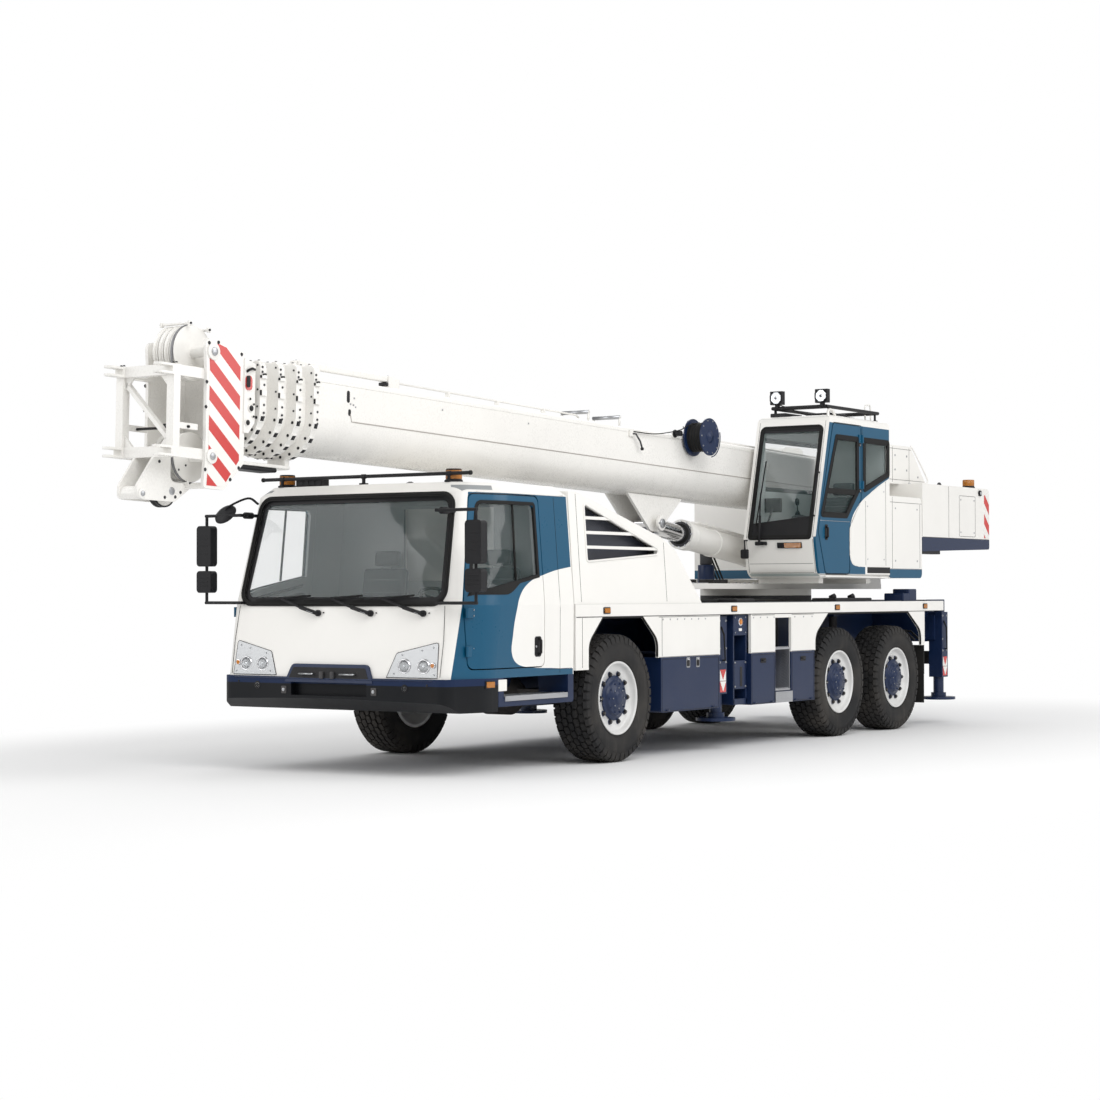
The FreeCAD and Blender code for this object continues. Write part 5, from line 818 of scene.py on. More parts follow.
# studio
class Studio:
    """The floor, the lamps and the camera at the photograph's angle."""

    lens = 75.2
    place = Vector((20.2254, 12.6793, 1.5855))
    yaw = -2.5573
    pitch = 0.0186
    roll = -0.0019
    shadow = (11.5, 6.2)

    def build(self) -> None:
        """Make the floor, the lamps, the sky and the camera."""
        scene = bpy.context.scene
        scene.view_settings.view_transform = "Standard"
        self.camera(scene)
        self.floor()
        self.light()
        self.sky(scene)

    def camera(self, scene: bpy.types.Scene) -> None:
        """Set the camera where the photograph was taken from."""
        data = bpy.data.cameras.new("camera")
        data.sensor_width = 36.0
        data.lens = self.lens
        data.clip_end = 200.0
        made = bpy.data.objects.new("camera", data)
        scene.collection.objects.link(made)
        way = Vector((math.cos(self.yaw) * math.cos(self.pitch),
                      math.sin(self.yaw) * math.cos(self.pitch), math.sin(self.pitch)))
        aim = way.to_track_quat("-Z", "Y").to_matrix().to_4x4()
        made.matrix_world = Matrix.Translation(self.place) @ aim @ Matrix.Rotation(self.roll, 4, "Z")
        scene.camera = made

    def floor(self) -> None:
        """Lay a wide pale floor that keeps the shadow and runs out to plain white."""
        mesh = bmesh.new()
        bmesh.ops.create_grid(mesh, x_segments=1, y_segments=1, size=120.0)
        data = bpy.data.meshes.new("floor")
        mesh.to_mesh(data)
        mesh.free()
        material = bpy.data.materials.new("studio_floor")
        material.use_nodes = True
        n = Nodes(material.node_tree)
        shader = material.node_tree.nodes["Principled BSDF"]
        shader.inputs["Base Color"].default_value = (0.90, 0.90, 0.90, 1.0)
        shader.inputs["Roughness"].default_value = 0.9
        parts = n.add("SeparateXYZ", {0: n.add("TexCoord").outputs["Object"]}).outputs
        along = n.math("POWER", n.math("DIVIDE", parts[0], self.shadow[0]), 2.0)
        across = n.math("POWER", n.math("DIVIDE", parts[1], self.shadow[1]), 2.0)
        far = n.ramp(n.math("SQRT", n.math("ADD", along, across)), 0.72, 1.15)
        path = n.add("LightPath").outputs
        seen = n.math("MAXIMUM", path["Is Camera Ray"], path["Is Transmission Ray"])
        white = n.add("Emission", {"Color": (1.0, 1.0, 1.0, 1.0), "Strength": 1.0})
        pick = n.add("MixShader", {0: n.math("MULTIPLY", far, seen), 1: shader.outputs[0], 2: white.outputs[0]})
        n.tree.links.new(pick.outputs[0], material.node_tree.nodes["Material Output"].inputs["Surface"])
        data.materials.append(material)
        floor = bpy.data.objects.new("floor", data)
        bpy.context.scene.collection.objects.link(floor)

    def light(self) -> None:
        """Hang wide soft lamps over and in front of the machine."""
        for name, place, size, power in (
            ("key", (9.0, 12.0, 13.0), 12.0, 1480.0),
            ("fill", (14.0, -9.0, 9.0), 12.0, 780.0),
            ("back", (-13.0, -6.0, 12.0), 12.0, 640.0),
            ("side", (-6.0, 14.0, 9.0), 10.0, 720.0),
        ):
            data = bpy.data.lights.new(name, "AREA")
            data.size = size
            data.energy = power
            lamp = bpy.data.objects.new(name, data)
            bpy.context.scene.collection.objects.link(lamp)
            aim = (Vector((0.0, 0.0, 1.5)) - Vector(place)).to_track_quat("-Z", "Y")
            lamp.matrix_world = Matrix.Translation(place) @ aim.to_matrix().to_4x4()

    def sky(self, scene: bpy.types.Scene) -> None:
        """Light the scene evenly and show plain white behind it."""
        world = bpy.data.worlds.new("studio")
        world.use_nodes = True
        scene.world = world
        n = Nodes(world.node_tree)
        plain = world.node_tree.nodes["Background"]
        plain.inputs["Color"].default_value = (1.0, 1.0, 1.0, 1.0)
        plain.inputs["Strength"].default_value = 0.54
        white = n.add("Background", {"Color": (1.0, 1.0, 1.0, 1.0), "Strength": 1.0})
        path = n.add("LightPath").outputs
        seen = n.math("MAXIMUM", path["Is Camera Ray"], path["Is Transmission Ray"])
        pick = n.add("MixShader", {0: seen, 1: plain.outputs[0], 2: white.outputs[0]})
        out = world.node_tree.nodes["World Output"]
        world.node_tree.links.new(pick.outputs[0], out.inputs["Surface"])


@dataclass
class Wheel:
    """A tyre with a block tread and a rim with its studs, about one wheel's centre."""

    tyre_radius: float = 0.600
    half_width: float = 0.1925
    bead: float = 0.330
    groove: float = 0.022
    rows: tuple[tuple[float, float, float], ...] = (
        (0.000, 0.026, 0.0), (0.062, 0.030, 0.5), (0.124, 0.028, 0.0))
    blocks: int = 44
    studs: int = 10
    stud_circle: float = 0.232

    def build(self, axle: str, side: str) -> None:
        """Make one wheel and put it on its body.

        Args:
            axle: front, middle or rear.
            side: left or right.
        """
        sign = SIDE_SIGNS[side]
        centre = Vector((AXLE_PLACES[axle], WHEEL_TRACK * sign, WHEEL_HEIGHT))
        body = f"wheel_{axle}_{side}"
        self.tyre(centre, sign).done_as(f"treaded_tyre_{axle}_{side}", body, "tyre_rubber",
                                        [f"tyre_{axle}_{side}"])
        self.rim(centre, sign).done_as(f"studded_rim_{axle}_{side}", body, "rim_paint",
                                       [f"rim_{axle}_{side}"])

    def tyre(self, centre: Vector, sign: float) -> Piece:
        """The casing with its ribs and beads, and the tread blocks standing on it."""
        base = self.tyre_radius - self.groove
        half = self.half_width
        piece = Piece("tyre")
        piece.spun((
            (-0.150, self.bead), (-0.160, self.bead + 0.018), (-0.178, 0.372), (-half, 0.430),
            (-half - 0.0, 0.470), (-half + 0.004, 0.520), (-half + 0.016, 0.556), (-0.150, base - 0.006),
            (-0.080, base), (0.080, base), (0.150, base - 0.006), (half - 0.016, 0.556),
            (half - 0.004, 0.520), (half, 0.470), (half, 0.430), (0.178, 0.372),
            (0.160, self.bead + 0.018), (0.150, self.bead), (-0.150, self.bead),
        ), centre, Along.Y, Kind.TYRE, sides=96)
        for radius, rise, width in ((0.362, 0.004, 0.006), (0.500, 0.003, 0.004), (0.386, 0.002, 0.003)):
            for way in (-1.0, 1.0):
                place = half - 0.004 if radius > 0.4 else 0.170
                piece.spun((
                    (place - 0.012, radius - width), (place + rise, radius - width / 2),
                    (place + rise, radius + width / 2), (place - 0.012, radius + width),
                ), centre, Along.Y, Kind.TYRE, sides=96, sign=way)
        step = math.tau / self.blocks
        for way in (-1.0, 1.0):
            for across, half_block, shift in self.rows:
                if across == 0.0 and way < 0:
                    continue
                for index in range(self.blocks):
                    self.block(piece, centre, across * way, half_block, (index + shift) * step, step)
            for index in range(self.blocks):
                self.shoulder(piece, centre, way, (index + 0.5) * step, step)
        return piece

    def block(self, piece: Piece, centre: Vector, across: float, half: float, angle: float, step: float) -> None:
        """Add one six-cornered tread block."""
        tall = self.tyre_radius * step * 0.42
        drop = abs(across) ** 2 * 0.35
        low, high = self.tyre_radius - self.groove - 0.012 - drop, self.tyre_radius - drop
        turn = Matrix.Translation(centre) @ Matrix.Rotation(angle, 4, "Y") @ Matrix.Translation((0, across, 0))
        outline = ((-tall, -half * 0.55), (-tall * 0.3, -half), (tall, -half * 0.62),
                   (tall, half * 0.55), (tall * 0.3, half), (-tall, half * 0.62))
        piece.panel(Plane.PLAN, outline, low, high, Kind.TYRE, bevel=0.0, turn=turn)

    def shoulder(self, piece: Piece, centre: Vector, way: float, angle: float, step: float) -> None:
        """Add one lug that wraps from the tread down the tyre's shoulder."""
        tall = self.tyre_radius * step * 0.36
        r, half = self.tyre_radius, self.half_width
        outline = (((half - 0.036) * way, r - 0.006), ((half - 0.008) * way, r - 0.030),
                   (half * way, r - 0.085), ((half - 0.022) * way, r - 0.085), ((half - 0.044) * way, r - 0.035))
        turn = Matrix.Translation(centre) @ Matrix.Rotation(angle, 4, "Y")
        piece.panel(Plane.FRONT, outline, -tall, tall, Kind.TYRE, bevel=0.0, turn=turn)

    def rim(self, centre: Vector, sign: float) -> Piece:
        """The white rim with its dished disc, the dark hub, its studs and its cap."""
        piece = Piece("rim")
        piece.spun((
            (-0.172, 0.330), (-0.172, 0.345), (-0.160, 0.345), (-0.160, 0.330), (-0.06, 0.322),
            (0.06, 0.322), (0.160, 0.330), (0.160, 0.345), (0.169, 0.345), (0.172, 0.340), (0.172, 0.330),
            (0.164, 0.322), (0.150, 0.318), (0.128, 0.312), (0.120, 0.300), (0.117, 0.285), (0.117, 0.200),
            (0.099, 0.200), (0.099, 0.308), (-0.172, 0.308), (-0.172, 0.330),
        ), centre, Along.Y, Kind.RIM, sides=64, sign=sign)
        piece.spun((
            (0.020, 0.150), (0.100, 0.150), (0.112, 0.206), (0.122, 0.210), (0.130, 0.204), (0.132, 0.180),
            (0.140, 0.165), (0.158, 0.160), (0.162, 0.150), (0.163, 0.120), (0.172, 0.112), (0.176, 0.080),
            (0.180, 0.062), (0.184, 0.058), (0.187, 0.030), (0.187, 0.0),
        ), centre, Along.Y, Kind.NAVY, sides=64, sign=sign)
        for index in range(self.studs):
            angle = math.tau * (index + 0.5) / self.studs
            spoke = Vector((math.sin(angle), 0.0, math.cos(angle)))
            foot = centre + spoke * self.stud_circle + Vector((0, 0.116 * sign, 0))
            out = Vector((0.0, sign, 0.0))
            piece.rod(foot, foot + out * 0.006, 0.027, Kind.NAVY, 20)
            piece.rod(foot, foot + out * 0.024, 0.020, Kind.BLACK, 6, bevel=0.003)
            piece.rod(foot, foot + out * 0.030, 0.011, Kind.CASTING, 16, bevel=0.002)
            near = centre + spoke * 0.140 + Vector((0, 0.158 * sign, 0))
            piece.rod(near, near + out * 0.012, 0.009, Kind.NAVY, 6)
        for index in range(8):
            angle = math.tau * index / 8
            spoke = Vector((math.sin(angle), 0.0, math.cos(angle)))
            foot = centre + spoke * 0.096 + Vector((0, 0.172 * sign, 0))
            piece.rod(foot, foot + Vector((0, 0.007 * sign, 0)), 0.0065, Kind.STEEL, 6)
        valve = centre + Vector((0.262, 0.118 * sign, 0.0))
        piece.tube((valve, valve + Vector((0.012, 0.025 * sign, 0)), valve + Vector((0.03, 0.05 * sign, 0))),
                   0.005, Kind.STEEL, 8)
        return piece


# outlines and curved skins
Surface = Callable[[float, float, float], Vector]


def rounded(corners: Iterable[Point], steps: int = 5) -> list[tuple[float, float]]:
    """Round an outline's corners.

    Args:
        corners: (u, v) or (u, v, radius) for each corner, in order.
        steps: how many runs each rounded corner has.

    Returns:
        The outline's points.
    """
    spots = [tuple(corner) for corner in corners]
    made = []
    for index, spot in enumerate(spots):
        here = Vector(spot[:2])
        radius = spot[2] if len(spot) > 2 else 0.0
        if radius <= 0.0:
            made.append((here.x, here.y))
            continue
        back = (Vector(spots[index - 1][:2]) - here).normalized()
        ahead = (Vector(spots[(index + 1) % len(spots)][:2]) - here).normalized()
        half = back.angle(ahead) / 2
        reach = radius / math.tan(half)
        middle = here + (back + ahead).normalized() * (radius / math.sin(half))
        first, last = here + back * reach - middle, here + ahead * reach - middle
        start = math.atan2(first.y, first.x)
        sweep = math.remainder(math.atan2(last.y, last.x) - start, math.tau)
        for step in range(steps + 1):
            angle = start + sweep * step / steps
            made.append((middle.x + radius * math.cos(angle), middle.y + radius * math.sin(angle)))
    return made


def shrunk(outline: Sequence[Point], by: float) -> list[tuple[float, float]]:
    """An outline moved inwards by a distance, or outwards when it is negative."""
    area = sum(a[0] * b[1] - b[0] * a[1] for a, b in zip(outline, [*outline[1:], outline[0]]))
    turn = 1.0 if area > 0 else -1.0
    made = []
    for index, spot in enumerate(outline):
        here = Vector(spot)
        back = (here - Vector(outline[index - 1])).normalized()
        ahead = (Vector(outline[(index + 1) % len(outline)]) - here).normalized()
        normal = Vector((-(back.y + ahead.y), back.x + ahead.x)).normalized() * turn
        lean = max(0.4, abs(normal.dot(Vector((-back.y, back.x)))))
        made.append(tuple(here + normal * by / lean))
    return made


class Skinned(Piece):
    """A piece with sheets, bands and lines that lie on a curved surface."""

    def sheet(self, surface: Surface, outline: Sequence[Point], lift: float, thick: float,
              finish: Kind | Finish, pitch: float = 0.09) -> "Skinned":
        """Lay a sheet on a surface.

        Args:
            surface: gives the place for (u, v, lift).
            outline: its outline in (u, v).
            lift: how far its outer face stands off the surface.
            thick: its thickness, inwards.
            finish: its finish.
            pitch: the size of the runs that follow the surface.

        Returns:
            The piece.
        """
        part = bmesh.new()
        part.faces.new([part.verts.new((u, v, 0.0)) for u, v in outline])
        for axis in (Vector((1.0, 0.0, 0.0)), Vector((0.0, 1.0, 0.0))):
            spans = [vert.co.dot(axis) for vert in part.verts]
            count = int((max(spans) - min(spans)) / pitch)
            for step in range(1, count + 1):
                place = min(spans) + (max(spans) - min(spans)) * step / (count + 1)
                bmesh.ops.bisect_plane(part, geom=[*part.verts, *part.edges, *part.faces], dist=1e-6,
                                       plane_co=axis * place, plane_no=axis)
        made = bmesh.ops.extrude_face_region(part, geom=list(part.faces), use_keep_orig=True)
        inner = {item for item in made["geom"] if isinstance(item, bmesh.types.BMVert)}
        for vert in part.verts:
            depth = lift - thick if vert in inner else lift
            vert.co = surface(vert.co.x, vert.co.y, depth)
        bmesh.ops.recalc_face_normals(part, faces=list(part.faces))
        return self._take(part, finish)

    def band(self, surface: Surface, outer: Sequence[Point], inner: Sequence[Point], lift: float,
             thick: float, finish: Kind | Finish) -> "Skinned":
        """Lay a closed band between two outlines with as many points as each other.

        Args:
            surface: gives the place for (u, v, lift).
            outer: its outer outline in (u, v).
            inner: its inner outline in (u, v).
            lift: how far its outer face stands off the surface.
            thick: its thickness, inwards.
            finish: its finish.

        Returns:
            The piece.
        """
        part = bmesh.new()
        verts = [part.verts.new(surface(u, v, lift)) for u, v in outer]
        edges = [part.edges.new(pair) for pair in zip(verts, [*verts[1:], verts[0]])]
        for outline, depth in ((inner, lift), (inner, lift - thick), (outer, lift - thick), (outer, lift)):
            fresh = set(bmesh.ops.extrude_edge_only(part, edges=edges)["geom"])
            verts = [next(e.other_vert(v) for e in v.link_edges if e.other_vert(v) in fresh) for v in verts]
            for vert, (u, v) in zip(verts, outline):
                vert.co = surface(u, v, depth)
            edges = [part.edges.get(pair) for pair in zip(verts, [*verts[1:], verts[0]])]
        bmesh.ops.remove_doubles(part, verts=list(part.verts), dist=1e-6)
        bmesh.ops.recalc_face_normals(part, faces=list(part.faces))
        return self._take(part, finish)

    def bead(self, surface: Surface, outline: Sequence[Point], radius: float, lift: float,
             finish: Kind | Finish, closed: bool = True) -> "Skinned":
        """Lay a round bead or dark seam along an outline on a surface."""
        path = dense(outline, closed)
        self.tube([surface(u, v, lift) for u, v in path], radius, finish, 8)
        return self


def dense(outline: Sequence[Point], closed: bool, pitch: float = 0.08) -> list[tuple[float, float]]:
    """An outline with points added on its long runs; a closed one ends where it starts."""
    spots = [*outline, outline[0]] if closed else list(outline)
    made = []
    for first, last in zip(spots, spots[1:]):
        start, end = Vector(first[:2]), Vector(last[:2])
        count = max(1, int((end - start).length / pitch))
        made += [tuple(start.lerp(end, step / count)) for step in range(count)]
    made.append(tuple(spots[-1][:2]))
    return made


def ahead(distance: float) -> float:
    """A place forward of the front axle."""
    return FRONT_AXLE + distance


def behind(distance: float) -> float:
    """A place behind the front axle."""
    return FRONT_AXLE - distance


@dataclass(frozen=True)
class CabSkin:
    """The outer faces of the driver's cab."""

    low: float = 0.850
    belt: float = 1.480
    brow: float = 2.460
    bulge: float = 0.060
    corner_in: float = 0.147
    corner_back: float = 0.420
    side_round: float = 0.600
    bulge_round: float = 12.0

    def row(self, z: float) -> tuple[float, float]:
        """The front face's place and the half width at a height."""
        if z <= self.belt:
            share = (z - self.low) / (self.belt - self.low)
            return ahead(2.560 - 0.100 * share), 1.362 + 0.006 * share
        share = (z - self.belt) / (self.brow - self.belt)
        return ahead(2.460 - 0.235 * share), 1.368 - 0.078 * share

    def front(self, y: float, z: float, lift: float = 0.0) -> Vector:
        """A place on the front face."""
        tip, half = self.row(z)
        slope = self.bulge / (half - self.corner_in)
        flat = self.bulge_round * slope
        across = abs(y)
        fall = slope * flat / 2 + y * y / (2 * self.bulge_round) if across < flat else slope * across
        return Vector((tip + self.bulge - fall + lift, y, z))

    def side(self, x: float, z: float, lift: float = 0.0) -> Vector:
        """A place on the left side."""
        tip, half = self.row(z)
        slope = self.corner_in / self.corner_back
        bend = self.side_round * math.tan(math.atan(slope) / 2)
        past_shoulder = x - (tip - self.corner_back)
        if past_shoulder < -bend:
            fall = 0.0
        elif past_shoulder < bend:
            fall = (past_shoulder + bend) ** 2 / (2 * self.side_round)
        else:
            fall = slope * past_shoulder
        return Vector((x, half - fall + lift, z))


CAB = CabSkin()


@dataclass
class DriverCab:
    """Everything fitted to the driver's cab: screen, lamps, wipers, doors, steps and roof."""

    screen: tuple[Point, ...] = (
        (-1.130, 1.500, 0.11), (1.130, 1.500, 0.11), (1.066, 2.435, 0.11), (-1.066, 2.435, 0.11))
    window: tuple[Point, ...] = (
        (3.282, 1.740), (4.222, 1.580), (4.022, 2.370, 0.06), (3.282, 2.370, 0.02))
    lamp_plate: tuple[Point, ...] = (
        (0.615, 0.862), (1.135, 0.862), (1.120, 1.165, 0.02), (0.700, 1.070, 0.03))
    lamp_places: tuple[float, ...] = (0.790, 0.990)
    lamp_height: float = 0.958
    lamp_radius: float = 0.062
    wiper_places: tuple[float, ...] = (-0.190, 0.390, 0.940)
    wiper_height: float = 1.410

    def build(self) -> None:
        """Make every fitting of the cab."""
        self.windscreen()
        self.front_panel()
        self.wipers()
        self.bumper()
        for side in SIDE_SIGNS:
            self.door(side)
        self.sides()
        self.mirrors()
        self.roof()

    def windscreen(self) -> None:
        """The rubber round the screen, and the black border printed on its glass."""
        piece = Skinned("windscreen_seal")
        edge = dense(rounded(self.screen, 8), True, 0.05)[:-1]
        piece.band(CAB.front, shrunk(edge, -0.030), shrunk(edge, 0.012), 0.010, 0.016, Kind.RUBBER)
        piece.bead(CAB.front, shrunk(edge, -0.010), 0.010, 0.008, Kind.RUBBER)
        piece.band(CAB.front, shrunk(edge, 0.004), shrunk(edge, 0.050), -0.016, 0.002, Kind.PLASTIC)
        piece.done("carrier", "black_plastic")

    def front_panel(self) -> None:
        """Seams, lamp covers with their lamps, and the dark recess plate in the middle."""
        seams = Skinned("cab_front_seams")
        for sign in (-1.0, 1.0):
            seams.bead(CAB.front, ((1.145 * sign, 1.475), (1.165 * sign, 1.180), (1.160 * sign, 0.870)),
                       0.0022, 0.0, Kind.PLASTIC, closed=False)
        seams.done("carrier", "black_plastic")
        lamps = Skinned("headlamps")
        for sign in (-1.0, 1.0):
            plate = [(y * sign, z) for y, z in rounded(self.lamp_plate, 4)]
            lamps.sheet(CAB.front, plate, 0.005, 0.010, Kind.LAMP_COVER)
            lamps.bead(CAB.front, plate, 0.0030, 0.004, Kind.PLASTIC)
            for place in self.lamp_places:
                self.lamp(lamps, CAB.front(place * sign, self.lamp_height), self.lamp_radius)
            small = CAB.front(1.085 * sign, self.lamp_height + 0.01)
            lamps.rod(small, small + Vector((0.018, 0, 0)), 0.026, Kind.CHROME, 24, bevel=0.003)
            lamps.spun(((0.016, 0.022), (0.021, 0.016), (0.024, 0.0)), small, Along.X, Kind.AMBER, 24)
            for spot in ((0.760, 1.055), (0.960, 1.095), (1.075, 1.120), (0.690, 0.895), (1.105, 0.890)):
                foot = CAB.front(spot[0] * sign, spot[1], 0.004)
                lamps.rod(foot, foot + Vector((0.004, 0, 0)), 0.007, Kind.STEEL, 10)
        lamps.done("carrier", "black_plastic")
        recess = Skinned("front_recess_plate")
        plate = rounded(((-0.490, 0.806), (0.490, 0.806), (0.420, 0.966, 0.05), (-0.420, 0.966, 0.05)), 5)
        recess.sheet(CAB.front, plate, 0.026, 0.030, Kind.NAVY)
        inner = shrunk(plate, 0.030)
        recess.sheet(CAB.front, inner, 0.029, 0.004, Kind.PLASTIC)
        for sign in (-1.0, 1.0):
            grip = [CAB.front(y * sign, z, lift) for y, z, lift in (
                (0.155, 0.880, 0.028), (0.155, 0.880, 0.062), (0.300, 0.880, 0.062), (0.300, 0.880, 0.028))]
            recess.tube(grip, 0.008, Kind.STEEL, 8)
            hook = CAB.front(0.060 * sign, 0.870, 0.028)
            recess.box(hook + Vector((0.0, -0.018, -0.032)), hook + Vector((0.030, 0.018, 0.032)),
                       Kind.CASTING, 0.008)
        recess.done("carrier", "navy_paint")

    def lamp(self, piece: Piece, place: Vector, radius: float) -> None:
        """Add a round lamp: a bezel, a bowl, its bulb and a domed lens."""
        piece.spun((
            (-0.004, radius * 0.78), (0.010, radius * 0.84), (0.016, radius * 0.92), (0.015, radius),
            (0.004, radius * 1.06), (-0.004, radius * 1.06),
        ), place, Along.X, Kind.CHROME, 40)
        piece.spun(((0.008, radius * 0.84), (-0.002, radius * 0.55), (-0.004, 0.0)), place, Along.X,
                   Kind.SILVER, 40)
        piece.rod(place, place + Vector((0.010, 0, 0)), 0.012, Kind.SILVER, 16, bevel=0.003)
        piece.spun(((0.011, radius * 0.86), (0.018, radius * 0.6), (0.022, radius * 0.3), (0.023, 0.0)),
                   place, Along.X, Kind.LENS, 40)

    def wipers(self) -> None:
        """Three wipers with their hubs, sprung arms and blades along the screen's lower edge."""
        piece = Piece("wipers")
        for place in self.wiper_places:
            hub = CAB.front(place, self.wiper_height)
            piece.rod(hub, hub + Vector((0.030, 0, 0)), 0.028, Kind.PLASTIC, 24, bevel=0.004)
            piece.rod(hub + Vector((0.028, 0, 0)), hub + Vector((0.046, 0, 0)), 0.018, Kind.PLASTIC, 6)
            knee = CAB.front(place - 0.190, self.wiper_height + 0.052, 0.045)
            tip = CAB.front(place - 0.430, self.wiper_height + 0.128, 0.040)
            start = hub + Vector((0.038, 0, 0))
            piece.tube((start, knee), 0.018, Kind.PLASTIC, 8)
            piece.tube((knee, tip), 0.011, Kind.PLASTIC, 8)
            piece.tube((start + Vector((0.012, -0.03, 0.0)), knee + Vector((0.010, 0, 0))), 0.004, Kind.STEEL, 8)
            for way in (-1.0, 1.0):
                end = CAB.front(place - 0.430 + 0.20 * way, self.wiper_height + 0.135 + 0.012 * way, 0.030)
                piece.tube((tip, end), 0.006, Kind.PLASTIC, 6)
            blade = [CAB.front(place - 0.430 + step * 0.08, self.wiper_height + 0.134 + step * 0.005, 0.020)
                     for step in range(-4, 5)]
            piece.tube(blade, 0.010, Kind.RUBBER, 6)
            for way in (-0.045, 0.055):
                jet = CAB.front(place + way, self.wiper_height + 0.004)
                piece.rod(jet, jet + Vector((0.010, 0, 0)), 0.006, Kind.PLASTIC, 12)
        piece.done("carrier", "black_plastic")

    def bumper(self) -> None:
        """The bumper's lip, its inlets as black sheets of painted shade with their slats, and the towing eyes."""
        piece = Skinned("bumper_fittings")
        lip = [(y, 0.838) for y in (-1.10, -0.8, -0.5, -0.25, 0.0, 0.25, 0.5, 0.8, 1.10)]

        def face(y: float, z: float, lift: float = 0.0) -> Vector:
            """A place on the bumper's front, which falls back under its upper edge."""
            tip = CAB.front(y, CAB.low).x + 0.025
            back = max(0.0, 0.700 - z) * 1.05
            return Vector((tip - back + lift, y, z))

        piece.bead(face, lip, 0.008, 0.000, Kind.NAVY, closed=False)
        for sign in (-1.0, 1.0):
            slot = [(y * sign, z) for y, z in rounded(
                ((0.560, 0.610), (1.020, 0.610), (1.080, 0.680, 0.015), (0.560, 0.680, 0.015)), 3)]
            # A black sheet in each inlet: painted shade of the opening behind the slats.
            piece.sheet(face, slot, 0.004, 0.008, Kind.PLASTIC)
            for row in range(3):
                z = 0.626 + row * 0.019
                bar = [(y * sign, z) for y in (0.575, 0.70, 0.85, 1.000)]
                piece.bead(face, bar, 0.004, 0.008, Kind.BLACK, closed=False)
            fog = face(0.820 * sign, 0.770)
            piece.rod(fog - Vector((0.01, 0, 0)), fog + Vector((0.006, 0, 0)), 0.034, Kind.PLASTIC, 28, bevel=0.003)
            piece.spun(((0.005, 0.027), (0.009, 0.018), (0.011, 0.0)), fog, Along.X, Kind.LENS, 28)
            eye = face(0.500 * sign, 0.735)
            piece.box(eye + Vector((-0.012, -0.028, -0.034)), eye + Vector((0.010, 0.028, 0.034)),
                      Kind.CASTING, 0.006)
            piece.rod(eye + Vector((0.0, 0, 0)), eye + Vector((0.016, 0, 0)), 0.015, Kind.STEEL, 16, bevel=0.002)
        for y in (-1.05, 1.05):
            bolt = face(y, 0.800)
            piece.rod(bolt, bolt + Vector((0.005, 0, 0)), 0.009, Kind.BLACK, 12)
        piece.done("carrier", "navy_paint")

    def door(self, side: str) -> None:
        """One door's glass, its rubber, its inner frame, its handle and its hinges' bolts."""
        sign = SIDE_SIGNS[side]

        def skin(x: float, z: float, lift: float = 0.0) -> Vector:
            """A place on this side of the cab."""
            spot = CAB.side(x, z, lift)
            return Vector((spot.x, spot.y * sign, spot.z))

        edge = dense(rounded(self.window, 6), True, 0.05)[:-1]
        glass = Skinned(f"door_glass_{side}")
        glass.sheet(skin, shrunk(edge, 0.002), -0.020, 0.006, Kind.PANE)
        glass.done(f"door_{side}", "cab_glass")
        piece = Skinned(f"door_trim_{side}")
        border = [(x, min(z, self.sweep(x)) if z < 1.760 and x > 3.300 else z) for x, z in shrunk(edge, -0.020)]
        piece.band(skin, border, shrunk(edge, 0.010), 0.004, 0.022, Kind.RUBBER)
        bar_low, bar_high = skin(3.620, 1.700, -0.012), skin(3.600, 2.362, -0.012)
        piece.tube((bar_low, bar_high), 0.011, Kind.RUBBER, 8)
        handle = rounded(((3.210 + 0.05, 1.020), (3.365, 1.020), (3.365, 1.200), (3.260, 1.200)), 1)
        pocket = rounded([(x, z, 0.025) for x, z in handle], 4)
        piece.sheet(skin, pocket, 0.003, 0.006, Kind.PLASTIC)
        grip = [skin(3.300, z, lift) for z, lift in (
            (1.035, 0.004), (1.060, 0.028), (1.160, 0.028), (1.185, 0.004))]
        piece.tube(grip, 0.011, Kind.PLASTIC, 10)
        lock = skin(3.345, 1.110, 0.002)
        piece.rod(lock, lock + Vector((0, 0.006 * sign, 0)), 0.010, Kind.STEEL, 16)
        for low in (1.040, 1.370):
            for step in (0.020, 0.070):
                bolt = Vector((4.205, 1.301 * sign, low + step))
                piece.rod(bolt, bolt + Vector((0, 0.006 * sign, 0)), 0.007, Kind.STEEL, 8)
        inner = [skin(x, z, -0.062) for x, z in ((3.35, 1.66), (3.55, 1.62), (3.90, 1.56), (4.05, 1.54))]
        piece.tube(inner, 0.016, Kind.PLASTIC, 8)
        pull = [skin(x, z, d) for x, z, d in (
            (3.45, 1.30, -0.052), (3.45, 1.30, -0.085), (3.75, 1.26, -0.085), (3.75, 1.26, -0.052))]
        piece.tube(pull, 0.012, Kind.PLASTIC, 8)
        card = rounded(((3.290, 0.990, 0.03), (4.150, 0.990, 0.03), (4.180, 1.480, 0.05), (3.290, 1.600, 0.05)), 4)
        piece.sheet(skin, card, -0.050, 0.008, Kind.TRIM)
        piece.done(f"door_{side}", "black_plastic")

    def sweep(self, x: float) -> float:
        """How high the dark border under a door's window reaches down, at one place along it."""
        part = min(max((x - 3.360) / 0.440, 0.0), 1.0)
        return 1.770 - 0.200 * part * part * (3.0 - 2.0 * part)

    def sides(self) -> None:
        """Chequered sill steps, their lamps and plates, drip rails and the rear seams."""
        piece = Skinned("cab_side_fittings")
        steps = Piece("sill_step_treads")
        for sign in (-1.0, 1.0):
            def skin(x: float, z: float, lift: float = 0.0, sign: float = sign) -> Vector:
                """A place on this side of the cab."""
                spot = CAB.side(x, z, lift)
                return Vector((spot.x, spot.y * sign, spot.z))

